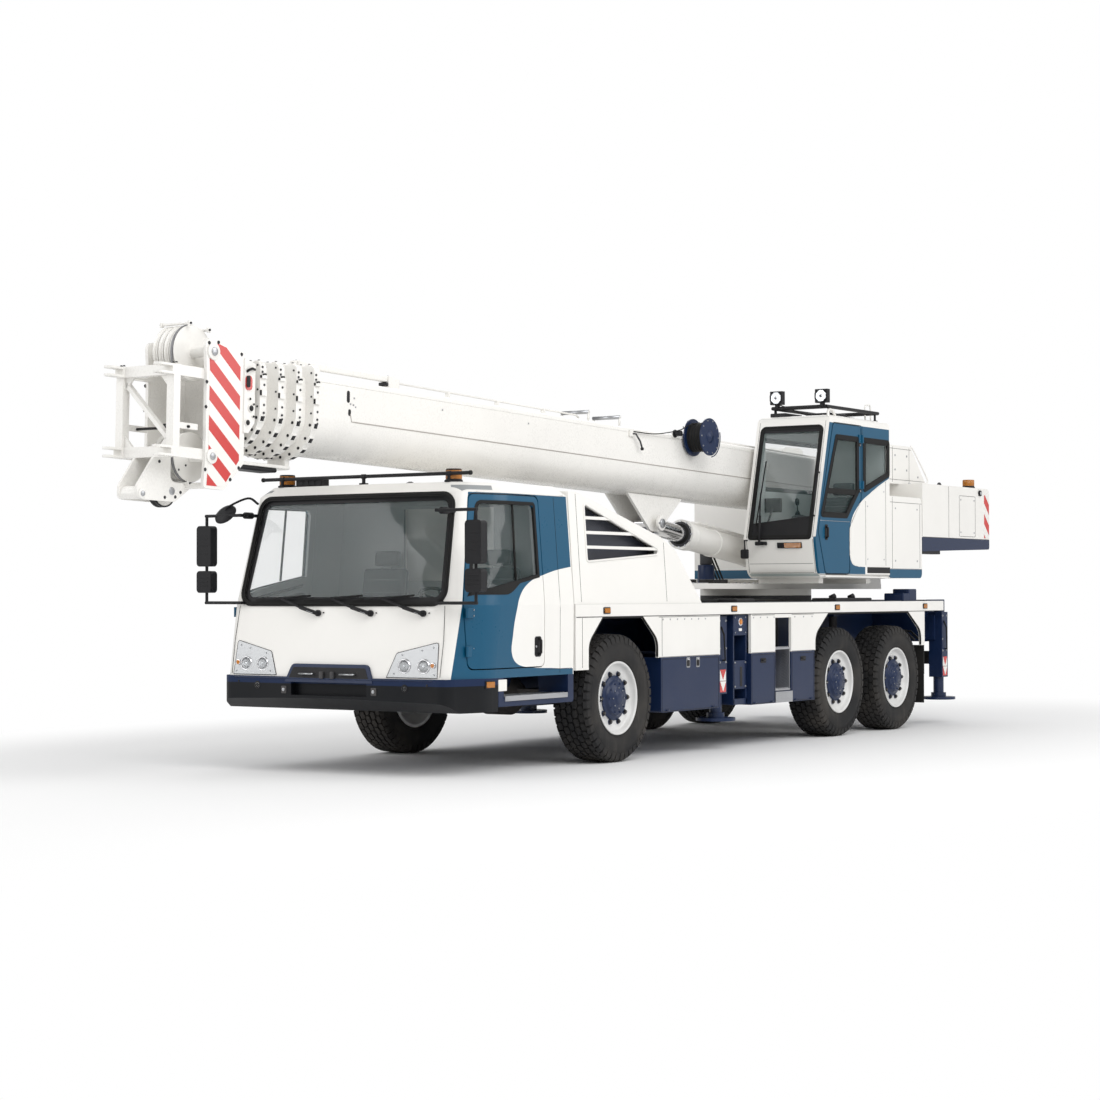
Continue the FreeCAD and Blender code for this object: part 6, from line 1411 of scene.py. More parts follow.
            piece.bead(skin, ((2.955, 0.870), (2.955, 2.440)), 0.0020, 0.0, Kind.PLASTIC, closed=False)
            piece.bead(skin, [(x, 2.462) for x in (2.80, 3.2, 3.6, 3.8, 4.02)], 0.007, 0.002,
                       Kind.WHITE, closed=False)
            piece.bead(skin, [(x, 0.905) for x in (2.76, 3.0, 3.19)], 0.0020, 0.0, Kind.PLASTIC, closed=False)
            low, high = sorted((1.075 * sign, 1.372 * sign))
            steps.box((2.842, low, 0.676), (3.832, high, 0.686), Kind.TREAD, 0.002)
            edge = sorted((1.360 * sign, 1.374 * sign))
            steps.box((2.842, edge[0], 0.645), (3.832, edge[1], 0.690), Kind.TREAD, 0.003)
            for index in range(22):
                x = 2.870 + index * 0.0445
                steps.rod((x, 1.344 * sign, 0.684), (x, 1.344 * sign, 0.692), 0.008, Kind.TREAD, 8)
            lamp = sorted((1.352 * sign, 1.372 * sign))
            piece.box((3.985, lamp[0], 0.770), (4.105, lamp[1], 0.822), Kind.AMBER, 0.006)
            piece.box((3.975, lamp[0] - 0.002, 0.762), (4.115, lamp[1] - 0.006, 0.830), Kind.PLASTIC, 0.004)
            piece.box((3.800, lamp[0], 0.735), (3.925, lamp[1] - 0.004, 0.835), Kind.WHITE, 0.004)
        piece.done("carrier", "black_plastic")
        steps.done("carrier", "machined_steel")

    def mirrors(self) -> None:
        """Mirror glass on both sides, the housings' ribs, and the round kerb mirror."""
        piece = Piece("mirror_fittings")
        glass = Piece("mirror_glass")
        for sign in (-1.0, 1.0):
            for low, high in ((1.840, 2.190), (1.600, 1.780)):
                ys = sorted((1.434 * sign, 1.576 * sign))
                glass.box((4.408, ys[0], low), (4.4125, ys[1], high), Kind.SILVER, 0.002)
                for rib in (0.3, 0.5, 0.7):
                    z = low + (high - low) * rib
                    piece.box((4.499, ys[0] + 0.02, z - 0.004), (4.505, ys[1] - 0.02, z + 0.004),
                              Kind.PLASTIC, 0.002)
            for z in (1.500, 2.290):
                foot = Vector((4.300, 1.100 * sign, z))
                piece.rod(foot + Vector((0.0, 0, 0)), foot + Vector((0.10, 0, 0)), 0.030, Kind.PLASTIC, 20,
                          bevel=0.004)
        side = Vector((4.190, -1.120, 2.400))
        ball = side + Vector((0.240, -0.190, -0.090))
        piece.tube((side, side + Vector((0.110, -0.03, 0.050)), ball + Vector((-0.02, 0.02, 0.06)), ball),
                   0.011, Kind.PLASTIC, 8, bend=1.0)
        lean = Matrix.Translation(ball) @ Matrix.Rotation(math.radians(140), 4, "Y") @ \
            Matrix.Rotation(math.radians(12), 4, "X")
        piece.spun(((-0.020, 0.0), (-0.018, 0.060), (0.0, 0.105), (0.014, 0.110), (0.016, 0.104)),
                   (0, 0, 0), Along.X, Kind.PLASTIC, 36, turn=lean)
        glass.spun(((0.016, 0.104), (0.012, 0.0)), (0, 0, 0), Along.X, Kind.SILVER, 36, turn=lean)
        piece.done("carrier", "black_plastic")
        glass.done("carrier", "machined_steel")

    def roof(self) -> None:
        """Amber beacons on black feet, the sounder, bar clamps and a hatch."""
        piece = Piece("roof_fittings")
        for sign in (-1.0, 1.0):
            foot = Vector((ahead(2.050), 0.940 * sign, 2.550))
            piece.spun(((0.110, 0.071), (0.118, 0.066), (0.120, 0.0)), foot, Along.Z, Kind.PLASTIC, 32)
            piece.spun(((0.028, 0.0715), (0.036, 0.0725), (0.096, 0.0725), (0.104, 0.0715)), foot, Along.Z,
                       Kind.AMBER, 36)
            piece.spun(((0.0, 0.080), (0.014, 0.080), (0.024, 0.074), (0.024, 0.0705)), foot, Along.Z,
                       Kind.PLASTIC, 32)
        box_low = Vector((ahead(1.960), -0.820, 2.552))
        piece.box(box_low, box_low + Vector((0.120, 0.300, 0.075)), Kind.PLASTIC, 0.012)
        for step in range(4):
            y = -0.780 + step * 0.070
            piece.box((ahead(2.078), y, 2.566), (ahead(2.084), y + 0.045, 2.612), Kind.BLACK, 0.002)
        for y in (-0.940, 0.0, 0.940):
            piece.box((ahead(2.120) - 0.032, y - 0.030, 2.550), (ahead(2.120) + 0.032, y + 0.030, 2.566),
                      Kind.PLASTIC, 0.004)
            piece.rod((ahead(2.120), y - 0.024, 2.625), (ahead(2.120), y + 0.024, 2.625), 0.021,
                      Kind.PLASTIC, 20, bevel=0.003)
        for way in (-1.0, 1.0):
            piece.rod((ahead(2.120), 1.155 * way, 2.625), (ahead(2.120), 1.181 * way, 2.625), 0.020,
                      Kind.RUBBER, 20, bevel=0.005)
        piece.box((ahead(1.080), -0.330, 2.548), (ahead(1.640), 0.330, 2.574), Kind.WHITE, 0.012)
        piece.box((ahead(1.060), -0.350, 2.548), (ahead(1.660), 0.350, 2.556), Kind.WHITE, 0.003)
        piece.done("carrier", "black_plastic")




# soft goods
@dataclass
class Cushion:
    """One padded part of a seat, blown up as cloth between its stitched seams.

    It is made lying down: x along its depth, y across, z out of its face.
    """

    name: str
    size: Point
    seams: tuple[float, ...]
    voxel: float = 0.010
    edge: float = 0.022
    give: float = 0.008
    cap: float = 0.024
    pressure: float = 4.0
    frames: int = 16

    def blank(self) -> bpy.types.Mesh:
        """The closed block that the cloth starts from."""
        mesh = bmesh.new()
        bmesh.ops.create_cube(mesh, size=1.0)
        sizes = [side - self.give for side in self.size]
        bmesh.ops.scale(mesh, vec=Vector(sizes), verts=list(mesh.verts))
        bmesh.ops.bevel(mesh, geom=list(mesh.edges), offset=self.edge, offset_type="OFFSET", affect="EDGES",
                        segments=3, profile=0.5, material=-1)
        data = bpy.data.meshes.new(self.name)
        mesh.to_mesh(data)
        mesh.free()
        return data

    def blown(self) -> bpy.types.Mesh:
        """The block after the cloth has swelled between its seams."""
        scene = bpy.context.scene
        holder = bpy.data.objects.new(self.name, self.blank())
        scene.collection.objects.link(holder)
        remesh = holder.modifiers.new("remesh", "REMESH")
        remesh.mode = "VOXEL"
        remesh.voxel_size = self.voxel
        holder.data = self._applied(holder)
        start = [vertex.co.copy() for vertex in holder.data.vertices]
        self._sew(holder)
        cloth = holder.modifiers.new("cloth", "CLOTH")
        cloth.settings.use_pressure = True
        cloth.settings.uniform_pressure_force = self.pressure
        cloth.settings.effector_weights.gravity = 0.0
        cloth.settings.vertex_group_mass = "sewn"
        cloth.settings.quality = 4
        cloth.point_cache.frame_start, cloth.point_cache.frame_end = 1, self.frames
        for number in range(1, self.frames + 1):
            scene.frame_set(number)
        holder.data = self._applied(holder)
        scene.frame_set(1)
        for vertex, was in zip(holder.data.vertices, start):
            move = vertex.co - was
            if move.length > self.cap:
                vertex.co = was + move.normalized() * self.cap
        finer = holder.modifiers.new("finer", "SUBSURF")
        finer.levels = 1
        data = self._applied(holder)
        bpy.data.objects.remove(holder)
        return data

    def _sew(self, holder: bpy.types.Object) -> None:
        """Hold the seams, the rim and the underside."""
        group = holder.vertex_groups.new(name="sewn")
        half_x, half_y, half_z = (side / 2 - self.give / 2 for side in self.size)
        for vertex in holder.data.vertices:
            x, y, z = vertex.co
            seam = any(abs(x - place) < self.voxel * 0.7 for place in self.seams) and z > 0
            rim = abs(z) < self.voxel * 0.7 and (abs(x) > half_x - self.edge or abs(y) > half_y - self.edge)
            if seam or rim or z < -half_z + self.give:
                group.add([vertex.index], 1.0, "REPLACE")

    def _applied(self, holder: bpy.types.Object) -> bpy.types.Mesh:
        """The object's mesh with its modifiers applied and taken off."""
        graph = bpy.context.evaluated_depsgraph_get()
        data = bpy.data.meshes.new_from_object(holder.evaluated_get(graph))
        holder.modifiers.clear()
        return data

    def place(self, turns: dict[str, Matrix], slot: str) -> None:
        """Put a copy of the cushion at each named place, with its piping."""
        data = self.blown()
        half_x, half_y, half_z = (side / 2 - self.give / 2 for side in self.size)
        rim = rounded(((-half_x, -half_y, 0.03), (half_x, -half_y, 0.03), (half_x, half_y, 0.03),
                       (-half_x, half_y, 0.03)), 5)
        for where, turn in turns.items():
            piece = Piece(f"{self.name}_{where}")
            piece.mesh.from_mesh(data)
            index = piece._index(Kind.CLOTH)
            for face in piece.mesh.faces:
                face.smooth = True
                face.material_index = index
            piece.tube([(x, y, 0.0) for x, y in [*rim, rim[0]]], 0.0032, Kind.PIPING, 8)
            for seam in self.seams:
                line = [(seam, y, z) for y, z in (
                    (-half_y, 0.0), (-half_y, half_z - self.edge), (-half_y + self.edge, half_z),
                    (half_y - self.edge, half_z), (half_y, half_z - self.edge), (half_y, 0.0))]
                piece.tube(line, 0.0022, Kind.PIPING, 8)
            bmesh.ops.transform(piece.mesh, matrix=turn, verts=list(piece.mesh.verts))
            body = "superstructure" if where == "crane" else "carrier"
            piece.done(body, slot)
        bpy.data.meshes.remove(data)


@dataclass
class CabInterior:
    """The seats, dashboard, console and controls in both cabs."""

    driver_x: float = 3.122
    driver_y: float = 0.640
    driver_floor: float = 0.920
    crane_x: float = -3.588
    crane_y: float = 0.855
    crane_floor: float = 1.785
    width: float = 0.500
    length: float = 0.480
    height: float = 0.430
    thick: float = 0.130
    back_height: float = 0.640
    lean: float = math.atan2(0.077, 0.640)

    def build(self) -> None:
        """Make the seats and what stands round them."""
        places = {
            "cab_left": Vector((self.driver_x, self.driver_y, self.driver_floor)),
            "cab_right": Vector((self.driver_x, -self.driver_y, self.driver_floor)),
            "crane": Vector((self.crane_x, self.crane_y, self.crane_floor)),
        }
        rest = Matrix.Rotation(math.pi / 2 - self.lean, 4, "Y")
        for kind, size, seams, spot, lie in (
            ("seat_cushion", (self.length, self.width, self.thick), (-0.10, 0.06, 0.17),
             Vector((0.0, 0.0, self.height - self.thick / 2)), Matrix.Identity(4)),
            ("seat_back", (self.back_height - 0.17, self.width - 0.02, 0.115), (-0.12, 0.0, 0.12),
             Vector((-self.length / 2 + 0.045, 0.0, self.height + 0.235)), rest),
            ("headrest", (0.15, 0.27, 0.095), (),
             Vector((-self.length / 2 - 0.002, 0.0, self.height + 0.560)), rest),
        ):
            turns = {where: Matrix.Translation(foot + spot) @ lie for where, foot in places.items()}
            Cushion(kind, size, seams).place(turns, "cab_trim")
        for where, foot in places.items():
            self.frame(where, foot)
        self.dashboard()
        self.crane_controls()

    def frame(self, where: str, foot: Vector) -> None:
        """A seat's pedestal, rails, side shells, headrest posts and recliner."""
        piece = Piece(f"seat_frame_{where}")
        top = self.height - self.thick
        half, deep = self.width / 2, self.length / 2
        low = foot + Vector((-deep * 0.72, -half * 0.62, 0.0))
        piece.box(low, foot + Vector((deep * 0.72, half * 0.62, 0.045)), Kind.PLASTIC, 0.006)
        for step in range(5):
            z = 0.045 + step * (top - 0.085) / 5
            grow = 0.012 * (step % 2)
            piece.box(foot + Vector((-deep * 0.6 - grow, -half * 0.5 - grow, z)),
                      foot + Vector((deep * 0.6 + grow, half * 0.5 + grow, z + (top - 0.085) / 5)),
                      Kind.RUBBER, 0.008)
        piece.box(foot + Vector((-deep * 0.95, -half * 0.9, top - 0.040)),
                  foot + Vector((deep * 0.9, half * 0.9, top + 0.004)), Kind.PLASTIC, 0.010)
        hinge = foot + Vector((-deep + 0.035, 0.0, self.height - 0.035))
        for sign in (-1.0, 1.0):
            out = Vector((0.0, (half - 0.012) * sign, 0.0))
            piece.rod(hinge + out, hinge + out + Vector((0, 0.020 * sign, 0)), 0.045, Kind.PLASTIC, 24, bevel=0.006)
            post = foot + Vector((-deep + 0.015, 0.055 * sign, self.height + 0.450))
            piece.rod(post, post + Vector((-0.012, 0, 0.090)), 0.006, Kind.CHROME, 10)
            arm = foot + Vector((-deep + 0.040, (half + 0.006) * sign, self.height + 0.190))
            piece.box(arm + Vector((0, -0.022, -0.018)), arm + Vector((0.280, 0.022, 0.018)), Kind.RUBBER, 0.014)
            piece.rod(arm + Vector((0.010, 0, 0)), arm + Vector((0.010, -0.02 * sign, 0)), 0.026,
                      Kind.PLASTIC, 20, bevel=0.003)
        shell = Matrix.Translation(foot + Vector((-deep - 0.022, 0.0, self.height + 0.235))) @ \
            Matrix.Rotation(-self.lean, 4, "Y")
        piece.box((-0.022, -half + 0.045, -0.215), (0.006, half - 0.045, 0.215), Kind.PLASTIC, 0.010, turn=shell)
        body = "superstructure" if where == "crane" else "carrier"
        piece.done(body, "cab_trim", ("crane_cab_seat",) if where == "crane" else ())

    def dashboard(self) -> None:
        """The dashboard with its hood, dials, switches, vents, console, levers and steering wheel."""
        piece = Piece("dashboard")
        half = self.driver_y + self.width / 2 - 0.01
        shape = ((3.965, 1.120), (4.255, 1.120), (4.265, 1.395), (4.230, 1.425), (4.010, 1.425), (3.955, 1.375))
        piece.panel(Plane.SIDE, shape, -half, half, Kind.TRIM, 0.010)
        hood = ((3.930, 1.400), (4.060, 1.425), (4.060, 1.475), (3.960, 1.470))
        piece.panel(Plane.SIDE, hood, self.driver_y - 0.21, self.driver_y + 0.21, Kind.TRIM, 0.012)
        for step, radius in ((-0.10, 0.045), (0.0, 0.026), (0.10, 0.045)):
            dial = Vector((3.952, self.driver_y + step, 1.435))
            piece.rod(dial, dial + Vector((-0.008, 0, 0)), radius, Kind.CHROME, 28, bevel=0.002)
            piece.rod(dial, dial + Vector((-0.009, 0, 0)), radius * 0.88, Kind.PLASTIC, 28)
        for index in range(10):
            y = -0.250 + index * 0.055
            piece.box((3.950, y, 1.300), (3.962, y + 0.040, 1.345), Kind.PLASTIC, 0.004)
        for y in (-0.75, -0.33, 0.36):
            piece.box((3.952, y, 1.225), (3.964, y + 0.150, 1.285), Kind.PLASTIC, 0.006)
            for row in range(4):
                piece.box((3.948, y + 0.010, 1.234 + row * 0.012), (3.956, y + 0.140, 1.238 + row * 0.012),
                          Kind.RUBBER, 0.001)
        tower = ((3.300, 0.935), (3.950, 0.935), (3.950, 1.300), (3.700, 1.180), (3.300, 1.120))
        piece.panel(Plane.SIDE, tower, -0.115, 0.115, Kind.TRIM, 0.016)
        piece.tube(((3.560, 0.0, 1.150), (3.585, 0.0, 1.330)), 0.010, Kind.PLASTIC, 10)
        piece.spun(((-0.030, 0.012), (-0.010, 0.027), (0.015, 0.024), (0.026, 0.0)), (3.588, 0.0, 1.345),
                   Along.Z, Kind.RUBBER, 20)
        piece.box((2.790, -1.270, 0.925), (4.180, 1.270, 0.936), Kind.RUBBER, 0.003)
        for step in (-0.16, -0.02, 0.14):
            pedal = Vector((3.985, self.driver_y + step, 1.010))
            piece.box(pedal - Vector((0.012, 0.032, 0.055)), pedal + Vector((0.012, 0.032, 0.055)),
                      Kind.RUBBER, 0.006, turn=None)
            piece.tube((pedal, pedal + Vector((0.080, 0, 0.14))), 0.008, Kind.PLASTIC, 8)
        piece.done("carrier", "cab_trim", ("cab_interior",))
        wheel = Piece("steering_wheel")
        lie = Matrix.Translation((3.742, self.driver_y, 1.520)) @ Matrix.Rotation(math.radians(-30), 4, "Y")
        ring = [(0.215 * math.cos(a), 0.215 * math.sin(a), 0.0)
                for a in (math.tau * step / 48 for step in range(49))]
        wheel.tube(ring, 0.015, Kind.RUBBER, 12, turn=lie)
        wheel.spun(((-0.045, 0.0), (-0.042, 0.060), (0.0, 0.072), (0.014, 0.050), (0.018, 0.0)), (0, 0, 0),
                   Along.Z, Kind.PLASTIC, 32, turn=lie)
        for angle in (0.35, math.pi - 0.35, -0.9, math.pi + 0.9):
            wheel.tube(((0.05 * math.cos(angle), 0.05 * math.sin(angle), -0.01),
                        (0.21 * math.cos(angle), 0.21 * math.sin(angle), 0.0)), 0.012, Kind.PLASTIC, 8, turn=lie)
        wheel.rod((0, 0, -0.03), (0.02, 0, -0.330), 0.032, Kind.PLASTIC, 20, bevel=0.004, turn=lie)
        for sign in (-1.0, 1.0):
            wheel.tube(((0, 0.03 * sign, -0.075), (0.02, 0.170 * sign, -0.060)), 0.007, Kind.PLASTIC, 8, turn=lie)
        wheel.done("carrier", "cab_trim")

    def crane_controls(self) -> None:
        """The operator's side consoles, levers, pedals, floor mat and screen."""
        piece = Piece("crane_controls")
        floor, top = self.crane_floor, self.crane_floor + 0.690
        low_x = self.crane_x - 0.05
        piece.box((-4.060, 0.455, floor - 0.004), (-2.420, 1.265, floor + 0.008), Kind.RUBBER, 0.003)
        for sign in (-1.0, 1.0):
            near = self.crane_y + sign * (self.width / 2 + 0.035)
            ys = sorted((near, near + sign * 0.075))
            shape = ((low_x, floor + 0.40), (low_x + 0.430, floor + 0.40), (low_x + 0.440, top - 0.02),
                     (low_x + 0.330, top), (low_x, top - 0.05))
            piece.panel(Plane.SIDE, shape, ys[0], ys[1], Kind.TRIM, 0.014)
            mid = sum(ys) / 2
            stick = Vector((low_x + 0.350, mid, top))
            piece.spun(((-0.004, 0.034), (0.020, 0.026), (0.045, 0.012)), stick, Along.Z, Kind.RUBBER, 20)
            piece.tube((stick + Vector((0, 0, 0.03)), stick + Vector((0.01, 0, 0.12))), 0.008, Kind.PLASTIC, 8)
            piece.spun(((0.105, 0.015), (0.130, 0.026), (0.175, 0.023), (0.190, 0.0)), stick + Vector((0.01, 0, 0)),
                       Along.Z, Kind.PLASTIC, 20)
            for index in range(5):
                x = low_x + 0.060 + index * 0.045
                piece.rod((x, mid, top - 0.045 + index * 0.006), (x, mid, top - 0.024 + index * 0.006), 0.010,
                          Kind.PLASTIC, 12, bevel=0.002)
        for step in (-0.14, 0.0, 0.14):
            pedal = Vector((-2.560, self.crane_y + step, floor + 0.080))
            piece.box(pedal - Vector((0.055, 0.038, 0.010)), pedal + Vector((0.055, 0.038, 0.010)),
                      Kind.RUBBER, 0.006)
            piece.tube((pedal, pedal + Vector((0.060, 0, -0.075))), 0.008, Kind.PLASTIC, 8)
        screen = Vector((-2.640, 0.560, 2.560))
        piece.tube(((-2.440, 0.540, 2.230), (-2.600, 0.560, 2.480), screen), 0.012, Kind.PLASTIC, 8)
        piece.box(screen - Vector((0.018, 0.105, 0.080)), screen + Vector((0.018, 0.105, 0.080)),
                  Kind.PLASTIC, 0.010)
        piece.box(screen - Vector((0.020, 0.088, 0.062)), screen + Vector((-0.015, 0.088, 0.062)),
                  Kind.LENS, 0.002)
        piece.box((-2.520, 0.480, 2.235), (-2.400, 1.235, 2.300), Kind.TRIM, 0.018)
        piece.done("superstructure", "cab_trim")


def wall(plane: Plane, depth: float, sign: float = 1.0) -> Surface:
    """A flat surface drawn in a plane, lifted along the plane's depth."""
    first, second, deep = plane.value

    def place(u: float, v: float, lift: float = 0.0) -> Vector:
        """A place on the surface."""
        spot = [0.0, 0.0, 0.0]
        spot[first], spot[second], spot[deep] = u, v, depth + sign * lift
        return Vector(spot)
    return place


def oblong(u: float, v: float, width: float, height: float, corner: float = 0.0) -> list[Point]:
    """A rectangle's outline round a middle, with rounded corners."""
    half, rise = width / 2, height / 2
    return rounded(((u - half, v - rise, corner), (u + half, v - rise, corner), (u + half, v + rise, corner),
                    (u - half, v + rise, corner)), 4)


@dataclass
class Carrier:
    """What is fitted to the carrier behind its cab."""

    side: float = 1.375
    rail: float = 1.420
    markers: tuple[float, ...] = (2.182, -0.248, -2.588, -4.908)
    jack_half: float = 0.085
    vent: tuple[Point, ...] = ((1.182, 1.950), (2.462, 1.870), (2.462, 2.410), (1.182, 2.010))

    def build(self) -> None:
        """Make every fitting of the carrier."""
        for side, sign in SIDE_SIGNS.items():
            self.cover_side(side, sign)
            self.deck_side(side, sign)
            self.lockers(side, sign)
            self.outrigger_boxes(side, sign)
            self.rear_side(side, sign)
        self.cover_top()
        self.deck_top()
        self.reflectors()
        self.rear()
        self.underbody()

    def cover_side(self, side: str, sign: float) -> None:
        """The engine cover's vent rim and mesh, and its seams."""
        def skin(x: float, z: float, lift: float = 0.0) -> Vector:
            """A place on the cover's side."""
            return Vector((x, sign * (1.362 - 0.0699 * (z - 1.480) + lift), z))

        piece = Skinned(f"engine_cover_fittings_{side}")
        vent = rounded([(*spot, 0.03) for spot in self.vent], 4)
        piece.bead(skin, vent, 0.011, 0.002, Kind.WHITE)
        piece.sheet(skin, shrunk(vent, -0.02), -0.110, 0.004, Kind.DARK_TREAD)
        for x, low, high in ((2.590, 1.500, 2.490), (1.060, 1.500, 2.070)):
            piece.bead(skin, ((x, low), (x, high)), 0.0022, 0.0, Kind.PLASTIC, closed=False)
        piece.done("carrier", "white_paint")

    def cover_top(self) -> None:
        """The cover's roof lids, the air cleaner's cowl, the exhaust and the warm-air grille."""
        piece = Skinned("engine_cover_top")
        slope = (2.51 - 2.12) / (2.582 - 1.102)

        def roof(x: float, y: float, lift: float = 0.0) -> Vector:
            """A place on the cover's sloping roof."""
            return Vector((x - lift * slope, y, 2.120 + (x - 1.102) * slope + lift))

        for sign in (-1.0, 1.0):
            lid = [(x, y * sign) for x, y in rounded(
                ((1.220, 0.16, 0.04), (2.480, 0.16, 0.04), (2.480, 1.16, 0.04), (1.220, 1.16, 0.04)), 4)]
            piece.sheet(roof, lid, 0.012, 0.020, Kind.WHITE, 0.4)
            piece.bead(roof, lid, 0.006, 0.004, Kind.RUBBER)
            for x in (1.450, 2.250):
                piece.sheet(roof, oblong(x, 0.165 * sign, 0.09, 0.05, 0.008), 0.020, 0.016, Kind.STEEL)
            piece.sheet(roof, oblong(1.800, 0.660 * sign, 0.52, 0.50, 0.03), 0.016, 0.010, Kind.PLASTIC)
            for row in range(9):
                line = ((1.560 + row * 0.06, 0.43 * sign), (1.560 + row * 0.06, 0.89 * sign))
                piece.bead(roof, line, 0.008, 0.018, Kind.BLACK, closed=False)
        pipe = Vector((2.640, -0.600, 2.500))
        piece.rod(pipe, pipe + Vector((0, 0, 0.050)), 0.085, Kind.BLACK, 32, bevel=0.004)
        piece.tube((pipe, pipe + Vector((0, 0, 0.090)), pipe + Vector((-0.11, -0.03, 0.105))), 0.055,
                   Kind.CASTING, 20)
        piece.done("carrier", "white_paint")

    def deck_side(self, side: str, sign: float) -> None:
        """The rail's amber markers, seams, screws and the rubber edges round the wheel arches."""
        face = wall(Plane.SIDE, self.side * sign, sign)
        piece = Skinned(f"deck_side_{side}")
        for x in self.markers:
            piece.sheet(face, oblong(x, self.rail, 0.118, 0.062, 0.012), 0.007, 0.010, Kind.PLASTIC)
            piece.sheet(face, oblong(x, self.rail, 0.092, 0.044, 0.010), 0.014, 0.010, Kind.AMBER)
            for way in (-0.052, 0.052):
                piece.bolts([face(x + way, self.rail, 0.006)], Along.Y, 0.0035, 0.003, Kind.STEEL, sign)
        for line in (
            ((0.060, 1.350), (1.240, 1.350)), ((1.180, 1.350), (1.180, 0.970)),
            ((-0.630, 1.350), (-1.125, 1.350)), ((-1.510, 1.350), (-2.020, 1.350)), ((2.600, 1.355), (2.600, 0.900)),
            ((0.060, 0.964), (1.240, 0.964)), ((-0.620, 0.964), (-1.125, 0.964)), ((-1.510, 0.964), (-2.040, 0.964)),
        ):
            piece.bead(face, line, 0.0024, 0.0, Kind.PLASTIC, closed=False)
        screws = [(1.162 - step * 0.137, 1.326) for step in range(7)]
        screws += [(-0.66 - step * 0.15, 1.326) for step in range(4)] + [(-1.58 - step * 0.2, 1.326) for step in range(3)]
        for x, z in screws:
            piece.rod(face(x, z, -0.001), face(x, z, 0.004), 0.008, Kind.STEEL, 10)
        for arch in (
            ((2.486, 0.900), (2.486, 1.130), (2.246, 1.354), (1.538, 1.354), (1.260, 1.130), (1.260, 0.970)),
            ((-2.066, 0.970), (-2.066, 1.130), (-2.374, 1.354), (-4.432, 1.354), (-4.790, 1.130), (-4.790, 0.970)),
        ):
            path = rounded([(*spot, 0.16) if 0 < index < 5 and index not in (0, 5) and spot[1] > 1.1 and
                            spot[1] < 1.2 else (*spot, 0.0) for index, spot in enumerate(arch)], 5)
            piece.bead(face, path, 0.010, -0.006, Kind.RUBBER, closed=False)
        lip = wall(Plane.SIDE, (self.side + 0.0) * sign, sign)
        piece.bead(lip, ((-5.440, 1.362), (2.700, 1.362)), 0.004, 0.0, Kind.PLASTIC, closed=False)
        piece.done("carrier", "white_paint")

    def lockers(self, side: str, sign: float) -> None:
        """Locker doors with their seams, latches and locks, and the steps in the rear locker's recess."""
        face = wall(Plane.SIDE, self.side * sign, sign)
        piece = Skinned(f"locker_fittings_{side}")
        for u, v, width, height in ((0.627, 0.690, 1.110, 0.500), (-0.870, 0.690, 0.490, 0.500),
                                    (-1.766, 0.690, 0.500, 0.500)):
            piece.bead(face, oblong(u, v, width, height, 0.02), 0.0026, 0.0, Kind.PLASTIC)
        for x in (0.682, 0.492):
            piece.sheet(face, oblong(x, 0.900, 0.070, 0.100, 0.014), 0.003, 0.008, Kind.STEEL)
            piece.sheet(face, oblong(x, 0.893, 0.044, 0.060, 0.010), 0.007, 0.008, Kind.PLASTIC)
            piece.rod(face(x, 0.932, 0.002), face(x, 0.932, 0.008), 0.010, Kind.CHROME, 14)
        for x in (-0.870, -1.766):
            piece.sheet(face, oblong(x, 0.880, 0.120, 0.050, 0.014), 0.003, 0.008, Kind.PLASTIC)
            piece.bead(face, ((x - 0.04, 0.882), (x + 0.04, 0.882)), 0.008, 0.010, Kind.BLACK, closed=False)
        for x in (0.180, 1.080, -1.060, -0.690, -1.950, -1.590):
            piece.bead(face, ((x - 0.03, 0.449), (x + 0.03, 0.449)), 0.009, 0.003, Kind.NAVY, closed=False)
        piece.done("carrier", "navy_paint")
        steps = Skinned(f"deck_steps_{side}")
        steps.sheet(face, oblong(-1.318, 0.487, 0.380, 0.114), 0.010, 0.012, Kind.TREAD, 0.2)
        for z, near in ((0.552, 1.100), (0.985, 1.110)):
            ys = sorted((near * sign, 1.366 * sign))
            steps.box((-1.492, ys[0], z), (-1.144, ys[1], z + 0.022), Kind.TREAD, 0.003)
            for index in range(9):
                x = -1.470 + index * 0.038
                steps.rod((x, 1.340 * sign, z + 0.020), (x, 1.340 * sign, z + 0.030), 0.008, Kind.STEEL, 10)
        ys = sorted((1.085 * sign, 1.360 * sign))
        steps.box((-1.496, ys[0], 0.575), (-1.486, ys[1], 0.980), Kind.TREAD, 0.002)
        steps.done("carrier", "machined_steel")

